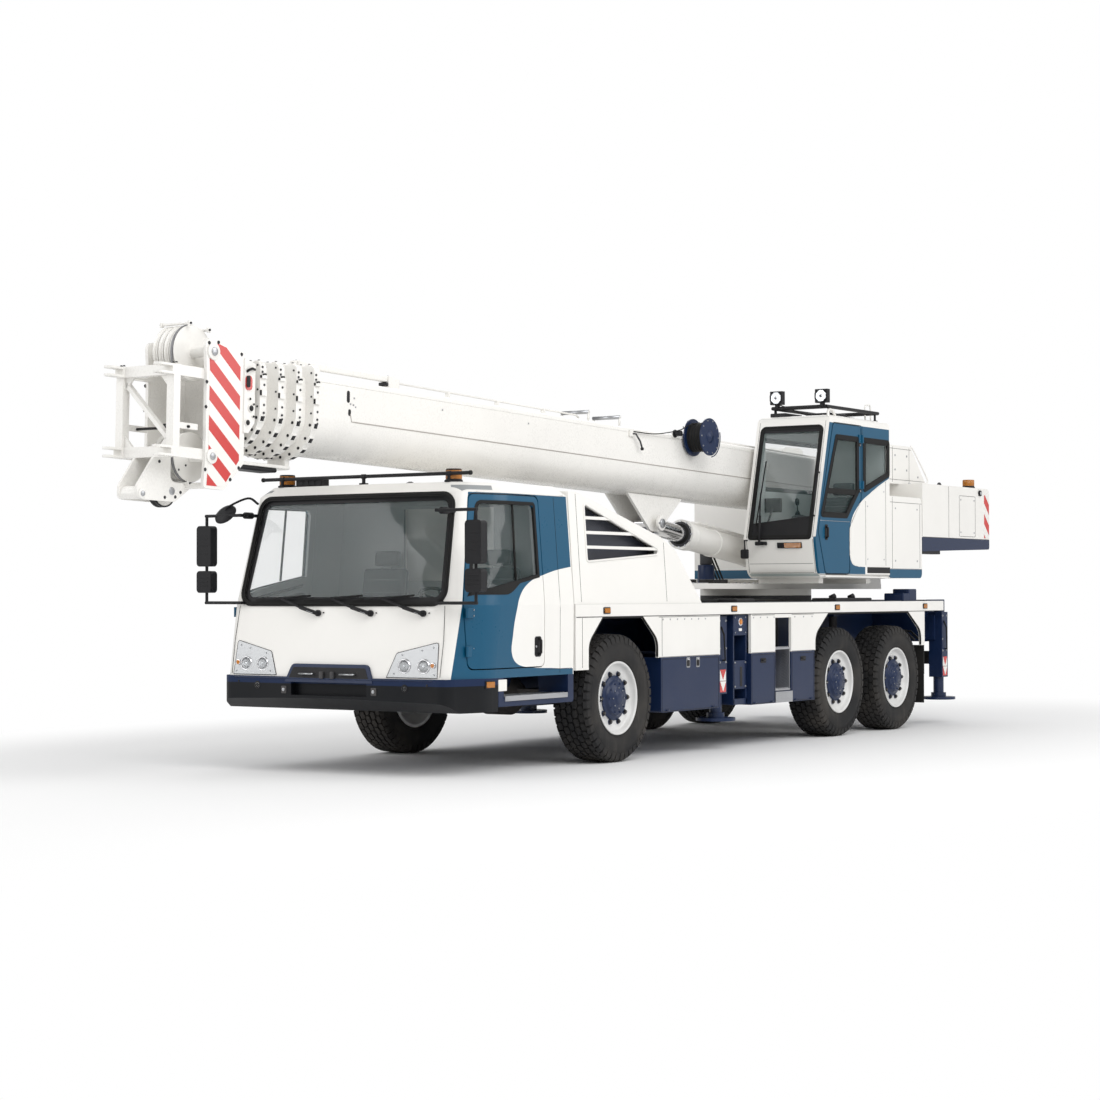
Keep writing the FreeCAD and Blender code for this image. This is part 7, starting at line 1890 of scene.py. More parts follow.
    def outrigger_boxes(self, side: str, sign: float) -> None:
        """The beam boxes' ends beside the front beams: marker plate, slotted plate with its slot as a black sheet of
        painted shade, and shelf.
        """
        piece = Skinned(f"outrigger_box_{side}")
        low, high = (-0.588, -0.300) if sign > 0 else (-0.225, 0.030)
        face = wall(Plane.SIDE, 1.335 * sign, sign)
        mid, wide = (low + high) / 2, high - low
        for x in (low + 0.012, high - 0.012):
            ys = sorted((1.130 * sign, 1.335 * sign))
            piece.box((x - 0.012, ys[0], 0.440), (x + 0.012, ys[1], 1.352), Kind.NAVY, 0.003)
        piece.sheet(face, oblong(mid, 1.250, wide - 0.004, 0.205), 0.004, 0.030, Kind.NAVY, 0.3)
        piece.sheet(face, oblong(mid, 0.745, wide - 0.02, 0.290), 0.0, 0.020, Kind.NAVY, 0.3)
        # The slot is a black sheet: painted shade of the opening.
        piece.sheet(face, oblong(mid - 0.02, 0.725, 0.045, 0.200, 0.008), 0.003, 0.006, Kind.BLACK, 0.3)
        piece.sheet(face, oblong(mid, 0.470, wide - 0.01, 0.060), 0.0, 0.120, Kind.NAVY, 0.3)
        piece.rod(face(mid, 1.285), face(mid, 1.285, 0.012), 0.042, Kind.CHROME, 28, bevel=0.003)
        piece.spun(((0.010, 0.034), (0.018, 0.026), (0.022, 0.0)), face(mid, 1.285), Along.Y, Kind.AMBER, 28, sign=sign)
        piece.sheet(face, oblong(mid, 1.205, 0.060, 0.028, 0.004), 0.007, 0.006, Kind.WHITE)
        for x in (low + 0.035, high - 0.035):
            for z in (1.175, 1.330, 0.625, 0.870):
                piece.bolts([face(x, z, 0.002)], Along.Y, 0.008, 0.007, Kind.STEEL, sign)
        for x, radius in ((mid - 0.06, 0.014), (mid + 0.05, 0.018)):
            piece.tube(((x, 1.20 * sign, 1.140), (x + 0.02, 1.235 * sign, 0.960), (x, 1.20 * sign, 0.880)),
                       radius, Kind.RUBBER, 10)
        piece.done("carrier", "navy_paint")

    def reflectors(self) -> None:
        """Red and white triangles on each jack's housing, and the bolts and tubes at the beam ends."""
        for end, places in (("front", (-0.110, -0.390)), ("rear", (-5.605, -5.885))):
            for (side, sign), x in zip(SIDE_SIGNS.items(), places if SIDE_SIGNS["left"] > 0 else places[::-1]):
                piece = Skinned(f"beam_fittings_{end}_{side}")
                face = wall(Plane.SIDE, 1.320 * sign, sign)
                half, top, low = 0.060, 0.806, 0.576
                mid = (top + low) / 2
                piece.sheet(face, oblong(x, (top + mid) / 2, half * 2, top - mid - 0.004), 0.003, 0.006, Kind.WHITE, 0.3)
                piece.sheet(face, oblong(x, (low + mid) / 2, half * 2, mid - low - 0.004), 0.003, 0.006, Kind.REFLECTOR, 0.3)
                piece.sheet(face, ((x - half, top), (x, mid + 0.012), (x + half, top)), 0.005, 0.003, Kind.REFLECTOR, 0.3)
                piece.sheet(face, ((x - half, mid - 0.004), (x, low + 0.010), (x + half, mid - 0.004)), 0.005, 0.003,
                            Kind.WHITE, 0.3)
                for step in (-0.062, 0.062):
                    piece.bolts([face(x + step, z, 0.0) for z in (0.880, 1.020, 1.300)], Along.Y, 0.009, 0.009,
                                Kind.STEEL, sign)
                piece.tube([face(x + u, z, lift) for u, z, lift in (
                    (0.0, 0.90, 0.0), (0.0, 0.90, 0.030), (0.03, 1.16, 0.034), (0.03, 1.24, 0.0))],
                    0.009, Kind.RUBBER, 8)
                piece.rod((x, 1.235 * sign, 1.344), (x, 1.235 * sign, 1.362), 0.055, Kind.NAVY, 24, bevel=0.004)
                piece.done(f"outrigger_beam_{end}_{side}", "navy_paint")

    def rear_side(self, side: str, sign: float) -> None:
        """The rear beam box's marker, the tail lamps on their bracket and the mudflap's stays."""
        piece = Skinned(f"rear_fittings_{side}")
        box = wall(Plane.SIDE, 1.132 * sign, sign)
        piece.sheet(box, oblong(-5.745, 1.395, 0.500, 0.200, 0.01), 0.010, 0.016, Kind.NAVY, 0.3)
        piece.rod(box(-5.880, 1.400, 0.008), box(-5.880, 1.400, 0.022), 0.034, Kind.CHROME, 28, bevel=0.003)
        piece.spun(((0.020, 0.028), (0.028, 0.020), (0.030, 0.0)), box(-5.880, 1.400), Along.Y, Kind.AMBER, 28,
                   sign=sign)
        ys = sorted((0.760 * sign, 1.120 * sign))
        piece.box((-6.030, ys[0], 0.700), (-5.995, ys[1], 0.860), Kind.PLASTIC, 0.008)
        for index, glass in enumerate((Kind.RED_LENS, Kind.AMBER, Kind.LENS)):
            y = sign * (0.820 + index * 0.120)
            piece.spun(((-0.028, 0.050), (-0.040, 0.044), (-0.044, 0.0)), (-6.004, y, 0.780), Along.X, glass, 28)
            piece.rod((-6.026, y, 0.780), (-6.034, y, 0.780), 0.055, Kind.CHROME, 28, bevel=0.002)
        for x in (-4.78, -4.93):
            piece.tube(((x, 0.90 * sign, 1.150), (x, 1.180 * sign, 1.120), (x, 1.30 * sign, 1.020)), 0.014,
                       Kind.BLACK, 8)
        piece.done("carrier", "navy_paint")

    def rear(self) -> None:
        """The rear wall's step, blank plate, towing jaw and couplings."""
        piece = Skinned("rear_wall_fittings")
        piece.box((-6.055, -0.620, 0.560), (-6.000, 0.620, 0.660), Kind.NAVY, 0.008)
        piece.box((-6.014, -0.260, 0.700), (-6.004, 0.260, 0.820), Kind.WHITE, 0.003)
        for y in (-0.56, 0.56):
            piece.box((-6.062, y - 0.030, 0.580), (-6.050, y + 0.030, 0.640), Kind.REFLECTOR, 0.003)
        piece.box((-6.030, -0.110, 0.860), (-5.990, 0.110, 1.020), Kind.CASTING, 0.010)
        for z in (0.895, 0.985):
            piece.box((-6.120, -0.060, z - 0.016), (-6.020, 0.060, z + 0.016), Kind.CASTING, 0.008)
        piece.rod((-6.085, 0, 0.860), (-6.085, 0, 1.030), 0.020, Kind.STEEL, 20, bevel=0.003)
        for y in (-0.30, -0.22, 0.22, 0.30):
            piece.rod((-6.004, y, 0.940), (-6.044, y, 0.940), 0.022, Kind.REFLECTOR if y > 0 else Kind.AMBER, 20,
                      bevel=0.003)
        piece.bolts([(-6.000, y, z) for y in (-1.05, -0.55, 0.55, 1.05) for z in (1.06, 1.26)], Along.X, 0.014,
                    0.014, Kind.STEEL, -1.0)
        piece.done("carrier", "navy_paint")

    def deck_top(self) -> None:
        """What stands on the deck: covers, posts, hose guards, the ring's bolts and the tread plates."""
        piece = Skinned("deck_fittings")
        for sign in (-1.0, 1.0):
            for x0, x1, y0, y1, z in (
                (-2.708, -3.628, 1.000, 1.300, 1.522), (-4.408, -4.580, 1.080, 1.330, 1.572),
                (-4.560, -4.778, 1.120, 1.330, 1.622), (-0.62, -1.02, 0.920, 1.200, 1.520),
            ):
                ys = sorted((y0 * sign, y1 * sign))
                finish = Kind.NAVY if x1 < -4.0 else Kind.BLACK
                piece.box((x1, ys[0], 1.478), (x0, ys[1], z), finish, 0.012)
            for x in (-2.93, -3.40):
                piece.rod((x, 1.12 * sign, 1.520), (x, 1.18 * sign, 1.545), 0.030, Kind.BLACK, 16)
            ys = sorted((1.270 * sign, 1.355 * sign))
            piece.box((-4.300, ys[0], 1.479), (0.300, ys[1], 1.4835), Kind.TREAD, 0.001)
            piece.tube([(x, y * sign, 1.500) for x, y in (
                (0.25, 0.95), (-0.9, 0.97), (-1.6, 0.85), (-2.5, 0.80))], 0.018, Kind.RUBBER, 10, bend=1.0)
        ring = [(SLEW + 0.605 * math.cos(a), 0.605 * math.sin(a), 1.550)
                for a in (math.tau * step / 40 for step in range(40))]
        piece.bolts(ring, Along.Z, 0.011, 0.016, Kind.STEEL)
        piece.box((-5.40, -0.70, 1.4795), (-4.55, 0.70, 1.487), Kind.DARK_TREAD, 0.002)
        piece.box((-1.90, -0.85, 1.4795), (0.30, 0.85, 1.487), Kind.DARK_TREAD, 0.002)
        piece.done("carrier", "black_paint")

    def underbody(self) -> None:
        """Prop shafts with their joints, and air tanks with their straps."""
        piece = Piece("driveline")
        axles = [spot[0] if isinstance(spot, tuple) else spot for spot in (FRONT_AXLE, MIDDLE_AXLE, REAR_AXLE)]
        for start, end in ((axles[0] - 0.30, axles[1] + 0.32), (axles[1] - 0.32, axles[2] + 0.32)):
            piece.rod((start, 0.0, 0.600), (end, 0.0, 0.600), 0.048, Kind.CASTING, 24, bevel=0.004)
            for x in (start, end):
                piece.rod((x - 0.05, 0.0, 0.600), (x + 0.05, 0.0, 0.600), 0.078, Kind.CASTING, 12, bevel=0.008)
                piece.rod((x, -0.07, 0.600), (x, 0.07, 0.600), 0.024, Kind.STEEL, 12)
        for y in (-0.62, 0.62):
            for x in (0.250, 0.900):
                piece.rod((x - 0.28, y, 0.740), (x + 0.28, y, 0.740), 0.120, Kind.BLACK, 28, bevel=0.020)
                for way in (-0.16, 0.16):
                    piece.rod((x + way - 0.018, y, 0.740), (x + way + 0.018, y, 0.740), 0.123, Kind.STEEL, 28)
        piece.done("carrier", "dark_casting")


@dataclass
class Upper:
    """What is fitted to the superstructure: the crane cab, housings, counterweight and winch."""

    side: float = 1.300
    door_window: tuple[Point, ...] = (
        (-2.988, 2.420), (-2.353, 2.420), (-2.728, 3.325), (-3.288, 3.325), (-3.288, 2.710))
    rear_window: tuple[Point, ...] = ((-4.088, 2.930), (-3.418, 2.720), (-3.418, 3.325), (-4.088, 3.325))
    inner_window: tuple[Point, ...] = ((-4.088, 2.720), (-2.658, 2.720), (-2.658, 3.325), (-4.088, 3.325))
    door: tuple[Point, ...] = (
        (-3.058, 1.790, 0.06), (-2.458, 1.790, 0.06), (-2.283, 2.260, 0.06), (-2.658, 3.460, 0.06),
        (-3.358, 3.460, 0.06), (-3.358, 2.640, 0.06), (-3.058, 2.300, 0.06))
    curve: tuple[Point, ...] = (
        (-4.100, 2.900), (-3.638, 2.730), (-3.258, 2.540), (-3.098, 2.370), (-3.058, 2.070), (-3.118, 1.910),
        (-3.298, 1.872))

    def build(self) -> None:
        """Make every fitting of the superstructure."""
        self.cab_side()
        self.cab_door()
        self.cab_front()
        self.cab_roof()
        for side, sign in SIDE_SIGNS.items():
            self.housing(side, sign)
            self.counterweight_side(side, sign)
        self.counterweight_rear()
        self.winch()
        self.frame()

    def screen_face(self, y: float, z: float, lift: float = 0.0) -> Vector:
        """A place on the crane cab's leaning screen."""
        return Vector((-2.218 - (z - 2.170) * 0.2609 + lift * 0.9676, y, z + lift * 0.2525))

    def sill_face(self, y: float, z: float, lift: float = 0.0) -> Vector:
        """A place on the front panel under the screen."""
        return Vector((-2.308 + (z - 1.740) * 0.2093 + lift, y, z))

    def cab_side(self) -> None:
        """The fixed windows' wide rubbers, the step slot as a black sheet of painted shade, the seams and the trim
        along the curve.
        """
        piece = Skinned("crane_cab_side_fittings")
        outer = wall(Plane.SIDE, self.side, 1.0)
        inner = wall(Plane.SIDE, 0.410, -1.0)
        for face, window, name in ((outer, self.rear_window, "left"), (inner, self.inner_window, "right")):
            edge = rounded([(*spot, 0.03) for spot in window], 4)
            piece.band(face, shrunk(edge, -0.014), shrunk(edge, 0.050), 0.005, 0.012, Kind.RUBBER)
            piece.bead(face, shrunk(edge, 0.048), 0.006, 0.002, Kind.RUBBER)
        # The step slot is a flat black sheet: painted shade of the recess.
        piece.sheet(outer, oblong(-3.808, 1.836, 0.600, 0.068, 0.006), 0.002, 0.006, Kind.BLACK, 0.4)
        piece.bead(outer, self.curve, 0.004, 0.001, Kind.WHITE, closed=False)
        for line in (((-4.000, 1.890), (-4.000, 2.860)), ((-3.470, 1.890), (-3.470, 2.620)),
                     ((-3.388, 2.700), (-3.388, 3.460)), ((-4.090, 1.780), (-2.330, 1.780))):
            piece.bead(outer, line, 0.0022, 0.0, Kind.PLASTIC, closed=False)
        piece.bead(outer, ((-2.450, 1.762), (-4.090, 1.752)), 0.011, 0.000, Kind.WHITE, closed=False)
        for x, z in ((-3.520, 1.960), (-3.520, 2.560), (-3.950, 1.960), (-3.950, 2.740)):
            piece.rod(outer(x, z, -0.002), outer(x, z, 0.004), 0.009, Kind.STEEL, 10)
        piece.done("superstructure", "black_plastic")

    def cab_door(self) -> None:
        """The door's glass in its rubber, the bar across it, seams, handle, lock and hinges."""
        face = wall(Plane.SIDE, self.side, 1.0)
        edge = rounded([(*spot, 0.03) for spot in self.door_window], 4)
        glass = Skinned("crane_door_glass")
        glass.sheet(face, shrunk(edge, 0.002), -0.018, 0.006, Kind.PANE)
        glass.done("crane_door", "cab_glass")
        piece = Skinned("crane_door_trim")
        piece.band(face, shrunk(edge, -0.012), shrunk(edge, 0.046), 0.005, 0.022, Kind.RUBBER)
        piece.bead(face, shrunk(edge, 0.044), 0.006, 0.003, Kind.RUBBER)
        piece.sheet(face, ((-3.250, 2.675), (-2.460, 2.675), (-2.485, 2.735), (-3.250, 2.735)), 0.004, 0.020,
                    Kind.RUBBER, 0.5)
        piece.bead(face, shrunk(rounded(self.door, 5), 0.004), 0.0022, 0.0, Kind.PLASTIC)
        piece.bead(face, ((-3.060, 2.372), (-2.330, 2.372)), 0.003, 0.001, Kind.STEEL, closed=False)
        piece.sheet(face, oblong(-2.478, 2.245, 0.072, 0.170, 0.022), 0.004, 0.008, Kind.PLASTIC, 0.3)
        piece.tube([face(x, z, lift) for x, z, lift in (
            (-2.470, 2.180, 0.002), (-2.470, 2.195, 0.028), (-2.470, 2.290, 0.028), (-2.470, 2.305, 0.002))],
            0.011, Kind.BLACK, 10)
        piece.rod(face(-2.505, 2.245), face(-2.505, 2.245, 0.009), 0.009, Kind.CHROME, 14)
        for z in (2.750, 3.270):
            piece.sheet(face, oblong(-3.325, z, 0.045, 0.080, 0.008), 0.008, 0.010, Kind.PLASTIC)
            piece.bolts([face(-3.325, z + step, 0.007) for step in (-0.025, 0.025)], Along.Y, 0.007, 0.005, Kind.STEEL)
        card = rounded(((-3.020, 1.830, 0.03), (-2.480, 1.830, 0.03), (-2.330, 2.260, 0.04), (-2.380, 2.360, 0.03),
                        (-3.020, 2.360, 0.03)), 4)
        piece.sheet(face, card, -0.045, 0.008, Kind.TRIM, 0.4)
        piece.tube([face(x, z, lift) for x, z, lift in (
            (-2.560, 2.100, -0.050), (-2.560, 2.100, -0.090), (-2.780, 2.060, -0.090), (-2.780, 2.060, -0.050))],
            0.011, Kind.PLASTIC, 8)
        piece.done("crane_door", "black_plastic")

    def cab_front(self) -> None:
        """The screen's rubber and black lower band, the wiper, marker, mirror and grab rail."""
        piece = Skinned("crane_cab_front_fittings")
        face, sill = self.screen_face, self.sill_face
        edge = rounded(((0.480, 2.180, 0.02), (1.230, 2.180, 0.02), (1.230, 3.420, 0.05), (0.480, 3.420, 0.05)), 4)
        edge = dense(edge, True, 0.10)[:-1]
        piece.band(face, shrunk(edge, -0.016), shrunk(edge, 0.030), 0.008, 0.014, Kind.RUBBER)
        piece.bead(face, shrunk(edge, -0.002), 0.008, 0.008, Kind.RUBBER)
        piece.sheet(face, ((0.490, 2.190), (1.220, 2.190), (1.220, 2.420), (0.490, 2.345)), 0.002, 0.006,
                    Kind.PLASTIC, 0.3)
        piece.sheet(face, ((0.490, 3.360), (1.220, 3.360), (1.220, 3.412), (0.490, 3.412)), 0.001, 0.004,
                    Kind.PLASTIC, 0.4)
        hub = sill(0.630, 2.125)
        piece.box(hub + Vector((-0.004, -0.070, -0.022)), hub + Vector((0.030, 0.075, 0.020)), Kind.PLASTIC, 0.010)
        piece.rod(hub, hub + Vector((0.058, 0, 0)), 0.022, Kind.PLASTIC, 20, bevel=0.003)
        knee, tip = face(0.605, 2.420, 0.045), face(0.575, 2.680, 0.034)
        piece.tube((hub + Vector((0.050, 0, 0)), knee), 0.014, Kind.PLASTIC, 8)
        piece.tube((knee, tip), 0.008, Kind.PLASTIC, 8)
        piece.tube([face(0.572 + step * 0.004, 2.680 + step * 0.09, 0.018) for step in range(-4, 5)], 0.008,
                   Kind.RUBBER, 8)
        piece.sheet(sill, oblong(1.020, 2.100, 0.200, 0.052, 0.008), 0.022, 0.026, Kind.AMBER)
        piece.sheet(sill, oblong(1.020, 2.100, 0.216, 0.064, 0.008), 0.008, 0.012, Kind.PLASTIC)
        piece.sheet(sill, oblong(0.872, 2.100, 0.078, 0.062, 0.008), 0.020, 0.024, Kind.PLASTIC)
        piece.tube([sill(0.455, z, lift) for z, lift in ((2.160, 0.0), (2.160, 0.060), (2.050, 0.070))], 0.010,
                   Kind.PLASTIC, 8)
        mirror = sill(0.445, 2.010, 0.070)
        piece.box(mirror - Vector((0.022, 0.048, 0.052)), mirror + Vector((0.020, 0.048, 0.052)), Kind.PLASTIC, 0.016)
        piece.box(mirror - Vector((0.025, 0.040, 0.044)), mirror - Vector((0.018, -0.040, -0.044)), Kind.SILVER, 0.002)
        for y, low, high in ((1.262, 1.800, 3.480), (0.446, 1.800, 3.480)):
            for z0, z1, lean in ((low, 2.165, sill), (2.185, high, face)):
                piece.bead(lean, ((y, z0), (y, z1)), 0.0020, 0.0, Kind.PLASTIC, closed=False)
        piece.tube([face(1.255, z, lift) for z, lift in ((2.420, 0.0), (2.420, 0.050), (2.900, 0.050), (2.900, 0.0))],
                   0.009, Kind.PLASTIC, 8)
        for z in (1.80, 1.90):
            piece.bead(sill, ((0.46, z), (1.24, z)), 0.0022, 0.0, Kind.PLASTIC, closed=False)
        piece.done("superstructure", "black_plastic")

    def cab_roof(self) -> None:
        """The work lamps' bezels and glass, the guard bars' feet, black boxes and the white loop."""
        piece = Skinned("crane_cab_roof_fittings")
        face = wall(Plane.FRONT, -2.603, 1.0)
        for y in (0.620, 1.180):
            ring = [(y + 0.080 * math.cos(a) * k, 3.760 + 0.080 * math.sin(a) * k)
                    for k, a in ((1.0, math.tau * (step + 0.5) / 8) for step in range(8))]
            piece.band(face, ring, shrunk(ring, 0.012), 0.012, 0.016, Kind.PLASTIC)
            piece.sheet(face, shrunk(ring, 0.010), 0.004, 0.006, Kind.SILVER, 0.5)
            piece.sheet(face, shrunk(ring, 0.011), 0.010, 0.003, Kind.LENS, 0.5)
            piece.rod((-2.606, y, 3.760), (-2.596, y, 3.760), 0.020, Kind.CHROME, 20, bevel=0.003)
            for step in range(5):
                piece.box((-2.690, y - 0.066, 3.700 + step * 0.028), (-2.668, y + 0.066, 3.708 + step * 0.028),
                          Kind.PLASTIC, 0.002)
            piece.box((-2.665, y - 0.020, 3.640), (-2.610, y + 0.020, 3.690), Kind.PLASTIC, 0.004)
        for x, y, width in ((-3.070, 1.020, 0.300), (-2.850, 0.620, 0.200), (-3.550, 0.860, 0.360)):
            piece.box((x - 0.20, y - width / 2, 3.545), (x + 0.20, y + width / 2, 3.592), Kind.BLACK, 0.010)
        for x in (-2.700, -3.880):
            for y in (0.560, 1.225):
                piece.rod((x, y, 3.548), (x, y, 3.645), 0.013, Kind.PLASTIC, 12)
                piece.rod((x, y, 3.546), (x, y, 3.558), 0.032, Kind.PLASTIC, 16, bevel=0.003)
        piece.tube(((-2.740, 1.225, 3.645), (-2.740, 0.560, 3.645)), 0.018, Kind.PLASTIC, 10)
        piece.tube(((-3.860, 1.225, 3.645), (-3.860, 0.560, 3.645)), 0.018, Kind.PLASTIC, 10)
        piece.tube(((-3.930, 1.080, 3.545), (-3.920, 1.080, 3.720), (-3.990, 1.080, 3.752), (-4.060, 1.080, 3.735),
                    (-4.075, 1.080, 3.545)), 0.010, Kind.WHITE, 10, bend=1.0)
        piece.tube(((-2.600, 1.275, 3.480), (-2.640, 1.250, 3.590), (-2.760, 1.230, 3.610), (-2.860, 1.225, 3.552)),
                   0.016, Kind.WHITE, 10, bend=1.0)
        piece.tube(((-2.660, 0.62, 3.690), (-2.700, 0.72, 3.650), (-2.85, 0.80, 3.600), (-3.05, 0.85, 3.560)), 0.006,
                   Kind.RUBBER, 8, bend=1.0)
        piece.done("superstructure", "black_plastic")

    def housing(self, side: str, sign: float) -> None:
        """A machinery housing's seams, screws and rail, and its hood's fasteners."""
        if sign < 0:
            low_face = wall(Plane.SIDE, -1.300, -1.0)
        else:
            low_face = wall(Plane.SIDE, 1.300, 1.0)
        piece = Skinned(f"housing_fittings_{side}")
        hood = wall(Plane.SIDE, 1.000 * sign, sign)
        for line in (((-4.178, 1.860), (-4.178, 2.690)), ((-4.120, 2.630), (-4.990, 2.630)),
                     ((-4.120, 1.856), (-4.990, 1.856)), ((-4.940, 1.870), (-4.940, 2.620))):
            piece.bead(low_face, line, 0.0024, 0.0, Kind.PLASTIC, closed=False)
        for x, z in ((-4.260, 2.560), (-4.260, 1.950), (-4.860, 2.560), (-4.860, 1.950)):
            piece.rod(low_face(x, z, -0.002), low_face(x, z, 0.005), 0.011, Kind.STEEL, 12, bevel=0.002)
        for line in (((-4.830, 2.900), (-4.830, 3.320)), ((-5.300, 2.900), (-5.300, 3.320)),
                     ((-4.750, 2.930), (-5.740, 2.930)), ((-4.750, 3.300), (-5.350, 3.300))):
            piece.bead(hood, line, 0.0024, 0.0, Kind.PLASTIC, closed=False)
        for x, z in ((-4.90, 3.05), (-5.23, 3.05), (-4.90, 3.22), (-5.23, 3.22), (-5.55, 2.98)):
            piece.rod(hood(x, z, -0.002), hood(x, z, 0.006), 0.013, Kind.STEEL, 12, bevel=0.002)
        piece.tube([hood(x, z, 0.012) for x, z in (
            (-5.330, 3.350), (-5.480, 3.240), (-5.780, 2.990), (-5.800, 2.930), (-5.720, 2.900))], 0.009,
            Kind.WHITE, 8, bend=1.0)
        piece.box((-5.10, min(0.62 * sign, 0.86 * sign), 3.338), (-4.86, max(0.62 * sign, 0.86 * sign), 3.362),
                  Kind.WHITE, 0.008)
        piece.done("superstructure", "white_paint")

    def counterweight_side(self, side: str, sign: float) -> None:
        """A slab's seams, cover panel, stripes, camera, lifting eye and the dark rail under it."""
        face = wall(Plane.SIDE, self.side * sign, sign)
        piece = Skinned(f"counterweight_fittings_{side}")
        piece.bead(face, oblong(-6.353, 2.520, 0.490, 0.500, 0.015), 0.0026, 0.0, Kind.PLASTIC)
        piece.bead(face, ((-5.788, 2.245), (-5.788, 2.870)), 0.0026, 0.0, Kind.PLASTIC, closed=False)
        piece.bead(face, ((-5.030, 2.243), (-7.030, 2.243)), 0.0030, 0.0, Kind.PLASTIC, closed=False)
        piece.sheet(face, oblong(-6.955, 2.530, 0.150, 0.540, 0.004), 0.003, 0.006, Kind.CHEVRON, 0.3)
        for x in (-6.150, -6.560):
            for z in (2.320, 2.720):
                piece.rod(face(x, z, -0.002), face(x, z, 0.005), 0.011, Kind.STEEL, 12, bevel=0.002)
        piece.rod(face(-6.728, 2.820, -0.01), face(-6.728, 2.820, 0.026), 0.036, Kind.PLASTIC, 24, bevel=0.006)
        piece.spun(((0.024, 0.022), (0.030, 0.014), (0.032, 0.0)), face(-6.728, 2.820), Along.Y, Kind.SILVER, 20,
                   sign=sign)
        ys = sorted((1.180 * sign, 1.296 * sign))
        piece.box((-5.540, ys[0], 2.040), (-5.030, ys[1], 2.100), Kind.BLACK, 0.006)
        for x in (-5.350, -6.300):
            eye = [(x + 0.055 * math.cos(a), 0.95 * sign, 2.878 + 0.060 * math.sin(a))
                   for a in (math.pi * step / 10 for step in range(11))]
            piece.tube(eye, 0.014, Kind.CASTING, 10)
        foot = Vector((-6.743, 1.150 * sign, 2.880))
        if sign > 0:
            piece.spun(((0.0, 0.082), (0.020, 0.080), (0.030, 0.0735), (0.036, 0.0715)), foot, Along.Z,
                       Kind.PLASTIC, 32)
            piece.spun(((0.036, 0.0715), (0.044, 0.0735), (0.104, 0.0730), (0.113, 0.0680), (0.116, 0.0)), foot,
                       Along.Z, Kind.AMBER, 36)
        else:
            piece.box(foot - Vector((0.10, 0.08, 0.002)), foot + Vector((0.10, 0.08, 0.030)), Kind.WHITE, 0.008)
        for x in (-5.20, -5.60, -6.00):
            piece.bolts([(x, 1.05 * sign, 2.880)], Along.Z, 0.018, 0.018, Kind.STEEL)
        piece.done("superstructure", "navy_paint")

    def counterweight_rear(self) -> None:
        """The rear face's stripes, seams, tail lamps and lashing eyes."""
        face = wall(Plane.FRONT, -7.043, -1.0)
        piece = Skinned("counterweight_rear_fittings")
        for sign in (-1.0, 1.0):
            piece.sheet(face, oblong(1.200 * sign, 2.530, 0.160, 0.540, 0.004), 0.0005, 0.004, Kind.REAR_CHEVRON, 0.3)
            piece.rod(face(0.95 * sign, 2.330, -0.004), face(0.95 * sign, 2.330, 0.0005), 0.045, Kind.RED_LENS, 28)
            piece.bead(face, ((0.460 * sign, 2.250), (0.460 * sign, 2.870)), 0.0026, -0.0022, Kind.PLASTIC, closed=False)
            for z in (2.40, 2.70):
                piece.rod(face(0.62 * sign, z, -0.002), face(0.62 * sign, z, 0.0005), 0.020, Kind.STEEL, 6)
        piece.bead(face, ((-1.29, 2.243), (1.29, 2.243)), 0.0030, -0.0026, Kind.PLASTIC, closed=False)
        piece.bead(face, oblong(0.0, 2.520, 0.700, 0.420, 0.02), 0.0026, -0.0022, Kind.PLASTIC)
        piece.done("superstructure", "navy_paint")

    def winch(self) -> None:
        """The wire rope wound on the drum, the flanges' bolts, the motor and its hoses."""
        rope = Piece("winch_rope")
        radius, pitch, turns, steps = 0.202, 0.0235, 26, 24
        path = [(-6.088 + radius * math.cos(math.tau * k / steps), -pitch * turns / 2 + pitch * k / steps,
                 2.660 + radius * math.sin(math.tau * k / steps)) for k in range(turns * steps + 1)]
        rope.tube(path, 0.0115, Kind.ROPE, 8)
        rope.done("superstructure", "machined_steel")
        piece = Piece("winch_fittings")
        for sign in (-1.0, 1.0):
            rim = [(-6.088 + 0.235 * math.cos(a), 0.331 * sign, 2.660 + 0.235 * math.sin(a))
                   for a in (math.tau * step / 12 for step in range(12))]
            piece.bolts(rim, Along.Y, 0.011, 0.012, Kind.STEEL, sign)
            piece.rod((-6.088, 0.330 * sign, 2.660), (-6.088, 0.400 * sign, 2.660), 0.110, Kind.NAVY, 32, bevel=0.010)
        piece.rod((-6.088, -0.400, 2.660), (-6.088, -0.450, 2.660), 0.070, Kind.CASTING, 24, bevel=0.008)
        for step in (-0.05, 0.05):
            piece.tube(((-6.06 + step, -0.430, 2.700), (-6.00 + step, -0.425, 2.840), (-5.85, -0.40, 2.860),
                        (-5.700, -0.38, 2.780)), 0.014, Kind.RUBBER, 10, bend=1.0)
        piece.done("superstructure", "navy_paint")

